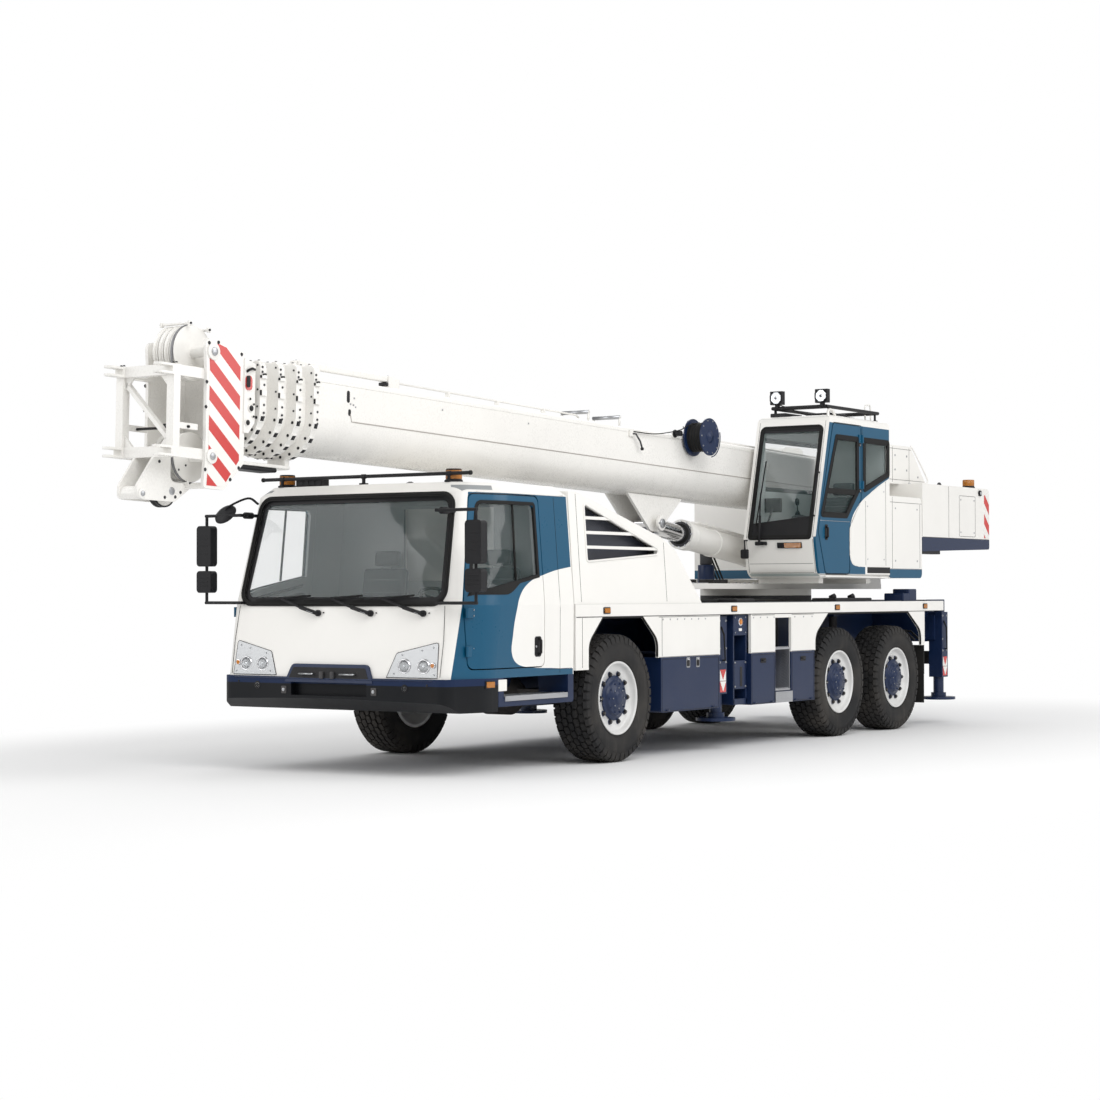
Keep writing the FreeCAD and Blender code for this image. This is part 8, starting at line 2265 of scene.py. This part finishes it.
    def frame(self) -> None:
        """The turntable's pins, keeper plates, gear motor, bolts, hoses, black blocks and tread plate."""
        piece = Piece("turntable_fittings")
        for sign in (-1.0, 1.0):
            for x, z, radius in ((-4.958, 3.050, 0.105), (-4.258, 1.880, 0.085)):
                piece.rod((x, 0.458 * sign, z), (x, 0.478 * sign, z), radius, Kind.WHITE, 36, bevel=0.004)
                piece.rod((x, 0.470 * sign, z), (x, 0.492 * sign, z), radius * 0.62, Kind.STEEL, 28, bevel=0.005)
                piece.box((x - radius * 0.7, min(0.478 * sign, 0.488 * sign), z + radius * 0.40),
                          (x + radius * 0.7, max(0.478 * sign, 0.488 * sign), z + radius * 0.72), Kind.STEEL, 0.002)
                piece.bolts([(x + step * radius * 0.55, 0.488 * sign, z + radius * 0.56) for step in (-1, 1)],
                            Along.Y, 0.009, 0.008, Kind.STEEL, sign)
        bolts = [(SLEW + 0.46 * math.cos(a), 0.46 * math.sin(a), 1.684)
                 for a in (math.tau * step / 28 for step in range(28)) if abs(math.sin(a)) < 0.80]
        piece.bolts(bolts, Along.Z, 0.012, 0.015, Kind.STEEL)
        piece.rod((-2.560, -0.26, 1.684), (-2.560, -0.26, 1.900), 0.095, Kind.NAVY, 28, bevel=0.010)
        piece.rod((-2.560, -0.26, 1.900), (-2.560, -0.26, 2.060), 0.070, Kind.CASTING, 24, bevel=0.010)
        for step in (-0.04, 0.0, 0.04):
            piece.tube(((-2.57, -0.26 + step, 2.04), (-2.62, -0.30 + step, 2.12), (-2.80, -0.34 + step, 2.00),
                        (-3.05, -0.35 + step, 1.720)), 0.011, Kind.RUBBER, 8, bend=1.0)
        for y in (-0.30, -0.12, 0.10, 0.28):
            piece.box((-2.02, y - 0.045, 1.682), (-1.84, y + 0.045, 1.730), Kind.BLACK, 0.008)
        piece.box((-1.62, -0.30, 1.684), (-1.30, 0.30, 1.692), Kind.TREAD, 0.002)
        piece.done("superstructure", "white_paint")


@dataclass
class Boom:
    """What is fitted to the boom, its sections, its head and its lift cylinder.

    Pieces are drawn along the boom, with x from its pivot and z square to it, then laid at its rest.
    """

    half: float = 0.340
    faces: tuple[float, ...] = (10.210, 10.425, 10.640, 10.855)
    collar: float = 0.075
    foot: Vector = field(default_factory=lambda: Vector((-4.258, 0.0, 1.8797)))
    eye: Vector = field(default_factory=lambda: on_boom(4.180, -0.847))

    def build(self) -> None:
        """Make every fitting of the boom."""
        self.base()
        for index, body in enumerate(("boom", "section_1", "section_2", "section_3")):
            self.collar_pads(index, body)
        self.reel()
        self.head()
        self.stripes()
        self.jib()
        self.rope()
        self.cylinder()

    @staticmethod
    def laid(piece: Piece, body: str, slot: str) -> None:
        """Lay a piece on the boom at rest and finish it."""
        bmesh.ops.transform(piece.mesh, matrix=BOOM_TURN, verts=list(piece.mesh.verts))
        piece.done(body, slot)

    def base(self) -> None:
        """The base section's welds, coloured brown grey as painted shade, slots drawn as black sheets of painted shade,
        top rail, pipe, rope guides and rest pad.
        """
        piece = Skinned("boom_base_fittings")
        for sign in (-1.0, 1.0):
            face = wall(Plane.SIDE, self.half * sign, sign)
            # The weld bead along the trough's edge: real bead, brown grey colour as painted shade.
            piece.bead(face, ((-0.10, -0.258), (9.620, -0.258), (9.640, -0.190)), 0.0055, 0.0, Kind.SEAM_SHADE, closed=False)
            piece.bead(face, ((-0.30, 0.048), (10.12, 0.048)), 0.0045, 0.0, Kind.BOOM, closed=False)
            # Two black sheets stand for slots in the side plate: painted shade of the boom's dark inside.
            piece.sheet(face, oblong(9.670, -0.045, 0.040, 0.105, 0.019), 0.002, 0.006, Kind.BLACK, 0.4)
            piece.sheet(face, oblong(9.650, -0.180, 0.036, 0.058, 0.017), 0.002, 0.006, Kind.BLACK, 0.4)
            for x, z in ((9.60, -0.110), (9.57, -0.125), (9.64, -0.105), (9.59, -0.050), (8.3, -0.03), (6.9, -0.03)):
                piece.rod(face(x, z, -0.002), face(x, z, 0.006), 0.008, Kind.STEEL, 10)
        piece.box((8.80, 0.080, 0.178), (10.15, 0.135, 0.228), Kind.BOOM, 0.008)
        piece.box((8.70, 0.060, 0.095), (8.86, 0.155, 0.235), Kind.BOOM, 0.012)
        piece.box((10.02, 0.060, 0.095), (10.12, 0.155, 0.235), Kind.BOOM, 0.012)
        piece.box((8.86, 0.066, 0.140), (8.90, 0.150, 0.172), Kind.BLACK, 0.006)
        piece.bolts([(x, 0.10, 0.234) for x in (8.74, 8.81, 10.05, 10.09)], Along.Z, 0.009, 0.009, Kind.STEEL)
        piece.tube(((5.65, 0.105, 0.150), (5.70, 0.105, 0.172), (8.74, 0.105, 0.186)), 0.010, Kind.BOOM, 8)
        for x in (6.3, 7.1, 7.9):
            piece.box((x - 0.015, 0.085, 0.095), (x + 0.015, 0.125, 0.180), Kind.BOOM, 0.004)
        for x in (4.95, 5.55):
            for y in (-0.16, 0.16):
                piece.tube(((x, y, 0.095), (x, y, 0.230)), 0.012, Kind.BOOM, 8)
            piece.rod((x, -0.165, 0.215), (x, 0.165, 0.215), 0.020, Kind.STEEL, 16)
        piece.tube([(x, 0.05, z) for x, z in ((3.55, 0.098), (3.55, 0.150), (3.60, 0.178), (3.66, 0.150), (3.66, 0.098))],
                   0.008, Kind.STEEL, 8, bend=1.0)
        lever = [(5.02, 0.346, 0.035), (4.98, 0.380, 0.030), (4.90, 0.385, -0.040), (4.86, 0.385, -0.110)]
        piece.tube(lever, 0.009, Kind.CASTING, 8)
        piece.box((4.98, 0.338, 0.000), (5.06, 0.362, 0.070), Kind.BOOM, 0.006)
        piece.rod((4.86, 0.372, -0.115), (4.86, 0.398, -0.115), 0.016, Kind.BLACK, 14, bevel=0.003)
        piece.box((10.150, -0.100, -0.705), (10.210, 0.100, -0.590), Kind.BOOM, 0.008)
        piece.box((10.150, -0.110, -0.700), (10.860, 0.110, -0.672), Kind.BOOM, 0.006)
        piece.box((10.300, -0.095, -0.738), (10.900, 0.095, -0.698), Kind.BLACK, 0.014)
        for y in (-0.24, 0.24):
            piece.tube(((0.3, y, 0.118), (3.4, y, 0.118)), 0.014, Kind.BOOM, 8)
        for x in (0.6, 2.2):
            piece.box((x - 0.12, -0.20, 0.096), (x + 0.12, 0.20, 0.112), Kind.BOOM, 0.004)
            piece.bolts([(x + i, y, 0.112) for i in (-0.09, 0.09) for y in (-0.17, 0.17)], Along.Z, 0.010, 0.010, Kind.STEEL)
        self.laid(piece, "boom", "white_paint")

    def collar_pads(self, index: int, body: str) -> None:
        """One collar's wear pad pockets round its trough, side blocks, top pads and bolts."""
        half, top, deep = 0.402 - 0.012 * index, 0.162 - 0.012 * index, 0.627 - 0.012 * index
        radius = half - 0.030
        middle = radius - deep
        front = self.faces[index]
        x = front - self.collar / 2
        piece = Skinned(f"collar_fittings_{index}")
        for sign in (-1.0, 1.0):
            for angle in (14, 34, 52, 68, 83):
                a = math.radians(angle)
                out = Vector((0.0, sign * math.cos(a), -math.sin(a)))
                spot = Vector((x, sign * (radius * math.cos(a) + 0.030 * min(1.0, math.cos(a) * 1.6)),
                               middle - radius * math.sin(a)))
                lie = Matrix.Translation(spot) @ Matrix.Rotation(-sign * (math.pi / 2 + a) + (0 if sign > 0 else 0), 4, "X")
                lie = Matrix.Translation(spot) @ out.to_track_quat("Z", "X").to_matrix().to_4x4()
                piece.box((-0.034, -0.030, -0.020), (0.034, 0.030, 0.007), Kind.BOOM, 0.005, turn=lie)
                piece.box((-0.020, -0.021, -0.004), (0.020, 0.021, 0.010), Kind.BLACK, 0.002, turn=lie)
                piece.rod(lie @ Vector((0, 0, 0.006)), lie @ Vector((0, 0, 0.015)), 0.009, Kind.CASTING, 6)
                # A black disc at each pad's hole on the collar's face: painted shade inside the hole.
                hole_shade = Vector((front - 0.002, spot.y - out.y * 0.026, spot.z - out.z * 0.026))
                piece.rod(hole_shade, hole_shade + Vector((0.005, 0, 0)), 0.013, Kind.BLACK, 12)
            for z, tall in ((-0.165 + 0.004 * index, 0.050), (-0.010, 0.030)):
                ys = sorted(((half - 0.004) * sign, (half + 0.020) * sign))
                piece.box((x - 0.030, ys[0], z), (x + 0.034, ys[1], z + tall), Kind.BOOM, 0.004)
                piece.box((x + 0.026, ys[0] + 0.003, z + 0.004), (x + 0.041, ys[1] - 0.003, z + tall - 0.004),
                          Kind.BLACK, 0.003)
            for z in (0.085, 0.045, -0.060, -0.225, -0.290, -0.325):
                spot = Vector((x + (0.014 if z > 0 else -0.012), half * sign, z))
                piece.rod(spot - Vector((0, 0.003 * sign, 0)), spot + Vector((0, 0.007 * sign, 0)), 0.010, Kind.CASTING, 6)
            piece.tube([(x + u, (half + y) * sign, z) for u, y, z in (
                (-0.030, 0.004, 0.010), (-0.010, 0.018, 0.028), (0.020, 0.018, 0.022), (0.036, 0.006, 0.004))],
                0.008, Kind.BLACK, 8)
            for y in (0.10, 0.20, 0.29):
                piece.box((x - 0.026, min(y * sign, (y + 0.05) * sign), top - 0.004),
                          (x + 0.030, max(y * sign, (y + 0.05) * sign), top + 0.014), Kind.BOOM, 0.004)
                piece.bolts([(x, (y + 0.025) * sign, top + 0.013)], Along.Z, 0.010, 0.010, Kind.CASTING)
            for y, z in ((half - 0.03, 0.10), (half - 0.025, -0.10), (half - 0.025, -0.24), (0.10, top - 0.030),
                         (0.24, top - 0.030)):
                piece.rod((front - 0.002, y * sign, z), (front + 0.005, y * sign, z), 0.009, Kind.CASTING, 8)
        self.laid(piece, body, "white_paint")

    def reel(self) -> None:
        """The cable wound in the reel, its rim bolts, its hub, its bracket and the guide roller."""
        middle = Vector((3.800, 0.464, 0.090))
        piece = Piece("cable_reel_fittings")
        for sign in (-1.0, 1.0):
            y = 0.464 + sign * 0.124
            rim = [(3.800 + 0.178 * math.cos(a), y, 0.090 + 0.178 * math.sin(a))
                   for a in (math.tau * step / 10 for step in range(10))]
            piece.bolts(rim, Along.Y, 0.006, 0.006, Kind.STEEL, sign)
        piece.spun(((0.0, 0.070), (0.008, 0.066), (0.010, 0.030), (0.018, 0.022), (0.020, 0.0)),
                   (3.800, 0.588, 0.090), Along.Y, Kind.NAVY, 36)
        for step in range(5):
            piece.spun(((0.0, 0.150), (0.017, 0.158), (0.034, 0.150)), (3.800, 0.370 + step * 0.036, 0.090), Along.Y,
                       Kind.RUBBER, 40)
        piece.box((3.760, 0.338, 0.060), (4.190, 0.352, 0.120), Kind.BOOM, 0.004)
        piece.rod((4.150, 0.350, 0.105), (4.150, 0.440, 0.105), 0.030, Kind.BLACK, 24, bevel=0.006)
        piece.rod((4.150, 0.352, 0.105), (4.150, 0.368, 0.105), 0.042, Kind.BLACK, 24, bevel=0.003)
        piece.tube((middle + Vector((0.0, -0.01, 0.158)), Vector((4.00, 0.43, 0.200)), Vector((4.150, 0.405, 0.137)),
                    Vector((4.60, 0.385, 0.062)), Vector((5.00, 0.362, 0.055))), 0.006, Kind.RUBBER, 8, bend=1.0)
        piece.tube([(3.800 + 0.215 * math.cos(a), 0.590, 0.090 + 0.215 * math.sin(a))
                    for a in (math.pi * (0.9 + 0.55 * step / 8) for step in range(9))], 0.006, Kind.NAVY, 8)
        self.laid(piece, "boom", "navy_paint")

    def head(self) -> None:
        """The head's rear side plates with their pins, lamps, hoses, sheave keepers and rope guards."""
        piece = Skinned("head_fittings")
        for sign in (-1.0, 1.0):
            ys = sorted((0.318 * sign, 0.342 * sign))
            plate = ((10.885, 0.105), (11.020, 0.140), (11.020, -0.470), (10.960, -0.470), (10.885, -0.380))
            piece.panel(Plane.SIDE, plate, ys[0], ys[1], Kind.BOOM, 0.004)
            face = wall(Plane.SIDE, 0.342 * sign, sign)
            for x, z, radius in ((10.945, -0.265, 0.024), (10.985, -0.385, 0.022), (10.910, 0.055, 0.010),
                                 (10.960, -0.190, 0.010), (10.915, -0.230, 0.009), (10.915, -0.330, 0.010)):
                piece.rod(face(x, z, -0.002), face(x, z, 0.012), radius * 1.25, Kind.BOOM, 24, bevel=0.003)
                piece.rod(face(x, z, 0.008), face(x, z, 0.018), radius, Kind.BLACK, 24, bevel=0.003)
            piece.sheet(face, oblong(10.972, -0.060, 0.078, 0.120, 0.034), 0.010, 0.012, Kind.REFLECTOR, 0.4)
            piece.sheet(face, oblong(10.988, -0.050, 0.040, 0.095, 0.016), 0.020, 0.012, Kind.BLACK, 0.4)
            piece.tube([face(x, z, lift) for x, z, lift in (
                (10.995, 0.030, 0.0), (10.985, 0.045, 0.020), (10.950, 0.058, 0.024), (10.915, 0.056, 0.010))],
                0.011, Kind.BLACK, 10, bend=1.0)
            outer = wall(Plane.SIDE, 0.330 * sign, sign)
            for z, radius in ((0.150, 0.070), (-0.690, 0.060)):
                piece.rod(outer(11.390, z, -0.003), outer(11.390, z, 0.014), radius, Kind.BOOM, 32, bevel=0.003)
                piece.rod(outer(11.390, z, 0.012), outer(11.390, z, 0.024), radius * 0.5, Kind.STEEL, 24, bevel=0.004)
            piece.bolts([outer(x, z, 0.001) for x, z in (
                (11.44, 0.215), (11.33, 0.230), (11.46, -0.10), (11.465, -0.30), (11.06, -0.76), (11.46, -0.80),
                (11.16, -0.86), (11.05, 0.165))], Along.Y, 0.010, 0.009, Kind.CASTING, sign)
        for w, radius in ((0.150, 0.245), (-0.690, 0.222)):
            for a in ((70, 125) if w > 0 else (20, -75)):
                turn = math.radians(a)
                spot = Vector((11.390 + radius * math.cos(turn), 0.0, w + radius * math.sin(turn)))
                piece.rod(spot - Vector((0, 0.150, 0)), spot + Vector((0, 0.150, 0)), 0.011, Kind.BOOM, 12, bevel=0.002)
                for way in (-1.0, 1.0):
                    piece.box(spot + Vector((-0.020, 0.150 * way - 0.008, -0.020)),
                              spot + Vector((0.020, 0.150 * way + 0.008, 0.020)), Kind.BOOM, 0.004)
                    piece.rod(spot + Vector((0, 0.156 * way, 0)), spot + Vector((0, 0.168 * way, 0)), 0.010,
                              Kind.CASTING, 6)
        for w, radius in ((0.150, 0.225), (-0.690, 0.200)):
            for row in range(4):
                y = (row - 1.5) * 0.060
                piece.spun(((-0.010, radius * 0.86), (-0.012, radius * 0.60), (-0.010, radius * 0.30)),
                           (11.390, y - 0.020, w), Along.Y, Kind.BOOM, 40)
        piece.spun(((-0.033, 0.116), (-0.034, 0.1275), (-0.016, 0.1285), (-0.009, 0.118), (0.009, 0.118),
                    (0.016, 0.1285), (0.034, 0.1275), (0.033, 0.116)), (11.600, 0.0, -0.975), Along.Y, Kind.BLACK, 48)
        piece.rod((11.600, -0.115, -0.975), (11.600, 0.115, -0.975), 0.032, Kind.STEEL, 24, bevel=0.004)
        piece.tube([(11.62, y, -0.470) for y in (-0.30, -0.05, 0.10, 0.30)], 0.012, Kind.BLACK, 8)
        piece.box((11.600, 0.050, -0.500), (11.660, 0.110, -0.440), Kind.BLACK, 0.008)
        self.laid(piece, "section_4", "white_paint")

    def stripes(self) -> None:
        """The red and white stripes down both of the head's side plates."""
        piece = Skinned("head_stripes")
        plate = ((11.060, -0.700), (11.245, -0.925), (11.440, -0.925), (11.425, -0.700), (11.425, 0.010),
                 (11.440, 0.215), (11.310, 0.215), (11.060, 0.160))
        for sign in (-1.0, 1.0):
            piece.sheet(wall(Plane.SIDE, 0.330 * sign, sign), plate, 0.0025, 0.005, Kind.WARNING, 0.5)
        self.laid(piece, "section_4", "white_paint")

    def jib(self) -> None:
        """The jib frame's gussets, bolts and brackets, and the nose's pins and bolts."""
        piece = Piece("jib_fittings")
        for sign in (-1.0, 1.0):
            y0, y1 = sorted((0.262 * sign, 0.284 * sign))
            for w, way in ((-0.655, 1.0), (-0.055, -1.0)):
                piece.panel(Plane.FRONT, ((0.235 * sign, w), (0.125 * sign, w), (0.235 * sign, w + 0.120 * way)),
                            11.765, 11.790, Kind.BOOM, 0.003)
            for w in (-0.700, -0.030):
                piece.bolts([(11.7775, (0.265 + step) * sign, w + 0.022 + 0.03) for step in (0.0, 0.03)], Along.Z, 0.009,
                            0.009, Kind.CASTING)
                piece.bolts([(11.815, (0.258 + step) * sign, w) for step in (0.0, 0.034)], Along.X, 0.008, 0.008,
                            Kind.CASTING)
            web = 0.110 * sign
            for x, z in ((11.50, -0.98), (11.56, -1.02), (11.68, -1.03), (11.45, -0.76), (11.53, -0.80), (11.75, -0.75),
                         (11.93, -1.01)):
                piece.bolts([(x, web, z)], Along.Y, 0.009, 0.008, Kind.CASTING, sign)
            piece.box((11.500, min(y0, y1), -0.490), (11.740, max(y0, y1), -0.440), Kind.BOOM, 0.005)
            piece.box((11.500, min(y0, y1), -0.060), (11.740, max(y0, y1), -0.010), Kind.BOOM, 0.005)
        piece.rod((11.940, -0.120, -1.015), (11.940, 0.120, -1.015), 0.042, Kind.BOOM, 32, bevel=0.006)
        piece.rod((11.940, -0.128, -1.015), (11.940, 0.128, -1.015), 0.022, Kind.STEEL, 20, bevel=0.004)
        self.laid(piece, "section_4", "white_paint")

    def rope(self) -> None:
        """The hoist rope over the top sheave, down the head's front and round the lower sheave."""
        piece = Piece("head_rope")
        y, thick = 0.090, 0.0105
        over = [(11.390 + 0.222 * math.cos(a), y, 0.150 + 0.222 * math.sin(a))
                for a in (math.radians(150 - step * 10) for step in range(16))]
        under = [(11.390 + 0.197 * math.cos(a), y, -0.690 + 0.197 * math.sin(a))
                 for a in (math.radians(-step * 10) for step in range(13))]
        start = [(11.045, y, 0.135)]
        piece.tube([*start, *over, *under], thick, Kind.ROPE, 10)
        for w in (-0.42, -0.62):
            piece.rod((11.604, y, w - 0.02), (11.604, y, w + 0.02), 0.014, Kind.CASTING, 12, bevel=0.003)
        self.laid(piece, "section_4", "machined_steel")

    def cylinder(self) -> None:
        """The lift cylinder's bands, gland, pipes, valve block and hoses, and its rod's pin heads."""
        way = (self.eye - self.foot).normalized()
        lie = Matrix.Translation(self.foot) @ way.to_track_quat("Z", "Y").to_matrix().to_4x4()
        piece = Piece("lift_barrel_fittings")
        for along, wide in ((0.35, 0.04), (1.20, 0.03), (2.05, 0.03), (2.56, 0.05)):
            piece.rod((0, 0, along), (0, 0, along + wide), 0.156, Kind.WHITE, 40, bevel=0.004, turn=lie)
        piece.rod((0, 0, 2.742), (0, 0, 2.760), 0.140, Kind.CASTING, 40, bevel=0.004, turn=lie)
        piece.rod((0, 0, 2.755), (0, 0, 2.768), 0.114, Kind.RUBBER, 40, bevel=0.003, turn=lie)
        for step in range(12):
            a = math.tau * step / 12
            piece.rod((0.145 * math.cos(a), 0.145 * math.sin(a), 2.745),
                      (0.145 * math.cos(a), 0.145 * math.sin(a), 2.762), 0.010, Kind.STEEL, 6, turn=lie)
        for sign in (-1.0, 1.0):
            piece.tube([(0.05 * sign, 0.165, 0.45), (0.05 * sign, 0.175, 0.55), (0.05 * sign, 0.175, 2.45),
                        (0.05 * sign, 0.150, 2.60)], 0.013, Kind.WHITE, 10, turn=lie)
        piece.box((-0.09, 0.130, 0.28), (0.09, 0.225, 0.44), Kind.CASTING, 0.008, turn=lie)
        for step in (-0.05, 0.05):
            piece.tube([(step, 0.215, 0.33), (step * 1.3, 0.262, 0.30), (step * 1.5, 0.255, 0.14), (step, 0.20, 0.04)],
                       0.014, Kind.RUBBER, 10, bend=1.0, turn=lie)
        piece.done("lift_barrel", "white_paint")
        pins = Piece("lift_pins")
        for sign in (-1.0, 1.0):
            pins.rod((4.180, 0.20 * sign, -0.847), (4.180, 0.232 * sign, -0.847), 0.080, Kind.BOOM, 32, bevel=0.004)
            pins.rod((4.180, 0.228 * sign, -0.847), (4.180, 0.246 * sign, -0.847), 0.050, Kind.STEEL, 28, bevel=0.005)
            pins.bolts([(4.180 + x, 0.231 * sign, -0.847 + z) for x, z in ((0.062, 0.0), (-0.062, 0.0))], Along.Y,
                       0.008, 0.008, Kind.STEEL, sign)
        self.laid(pins, "boom", "white_paint")
NODE_FINISHES: dict[str, Kind] = {
    "axles": Kind.CASTING, "boom_base": Kind.BOOM, "boom_section_1": Kind.BOOM,
    "boom_section_2": Kind.BOOM, "boom_section_3": Kind.BOOM, "boom_section_4": Kind.BOOM,
    "boom_head": Kind.BOOM, "jib_frame": Kind.BOOM, "jib_lugs": Kind.BOOM, "head_sheaves": Kind.WHITE,
    "bumper": Kind.BUMPER, "cab_fittings": Kind.PLASTIC, "cab_glass": Kind.PANE,
    "cab_interior": Kind.TRIM, "cable_reel": Kind.NAVY, "chassis": Kind.NAVY,
    "counterweight": Kind.BALLAST, "crane_cab": Kind.CRANE_CAB, "crane_cab_door": Kind.CRANE_CAB,
    "crane_cab_glass": Kind.PANE, "crane_cab_seat": Kind.TRIM, "deck": Kind.DECK,
    "driver_cab": Kind.CAB, "driver_door_left": Kind.CAB, "driver_door_right": Kind.CAB,
    "engine": Kind.CASTING, "engine_cover": Kind.WHITE, "housings": Kind.HOUSING,
    "lift_barrel": Kind.WHITE, "lift_rod": Kind.CHROME, "lockers": Kind.NAVY,
    "mudguards": Kind.RUBBER, "slewing_ring": Kind.CASTING, "turntable": Kind.WHITE,
    "upper_fittings": Kind.BLACK, "winch": Kind.NAVY,
}


def dress_nodes() -> None:
    """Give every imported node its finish."""
    for name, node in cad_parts.items():
        kind = NODE_FINISHES.get(name)
        if kind is None:
            kind = Kind.CASTING if name.startswith("knuckle") else Kind.NAVY
        node.data.materials.clear()
        node.data.materials.append(SHOP(kind))


def main() -> None:
    """Build everything in order."""
    logging.basicConfig(level=logging.INFO, format="%(name)s: %(message)s")
    Studio().build()
    dress_nodes()
    wheel = Wheel()
    for axle in AXLE_PLACES:
        for side in SIDE_SIGNS:
            wheel.build(axle, side)
    DriverCab().build()
    CabInterior().build()
    Carrier().build()
    Upper().build()
    Boom().build()


if __name__ == "__main__":
    main()
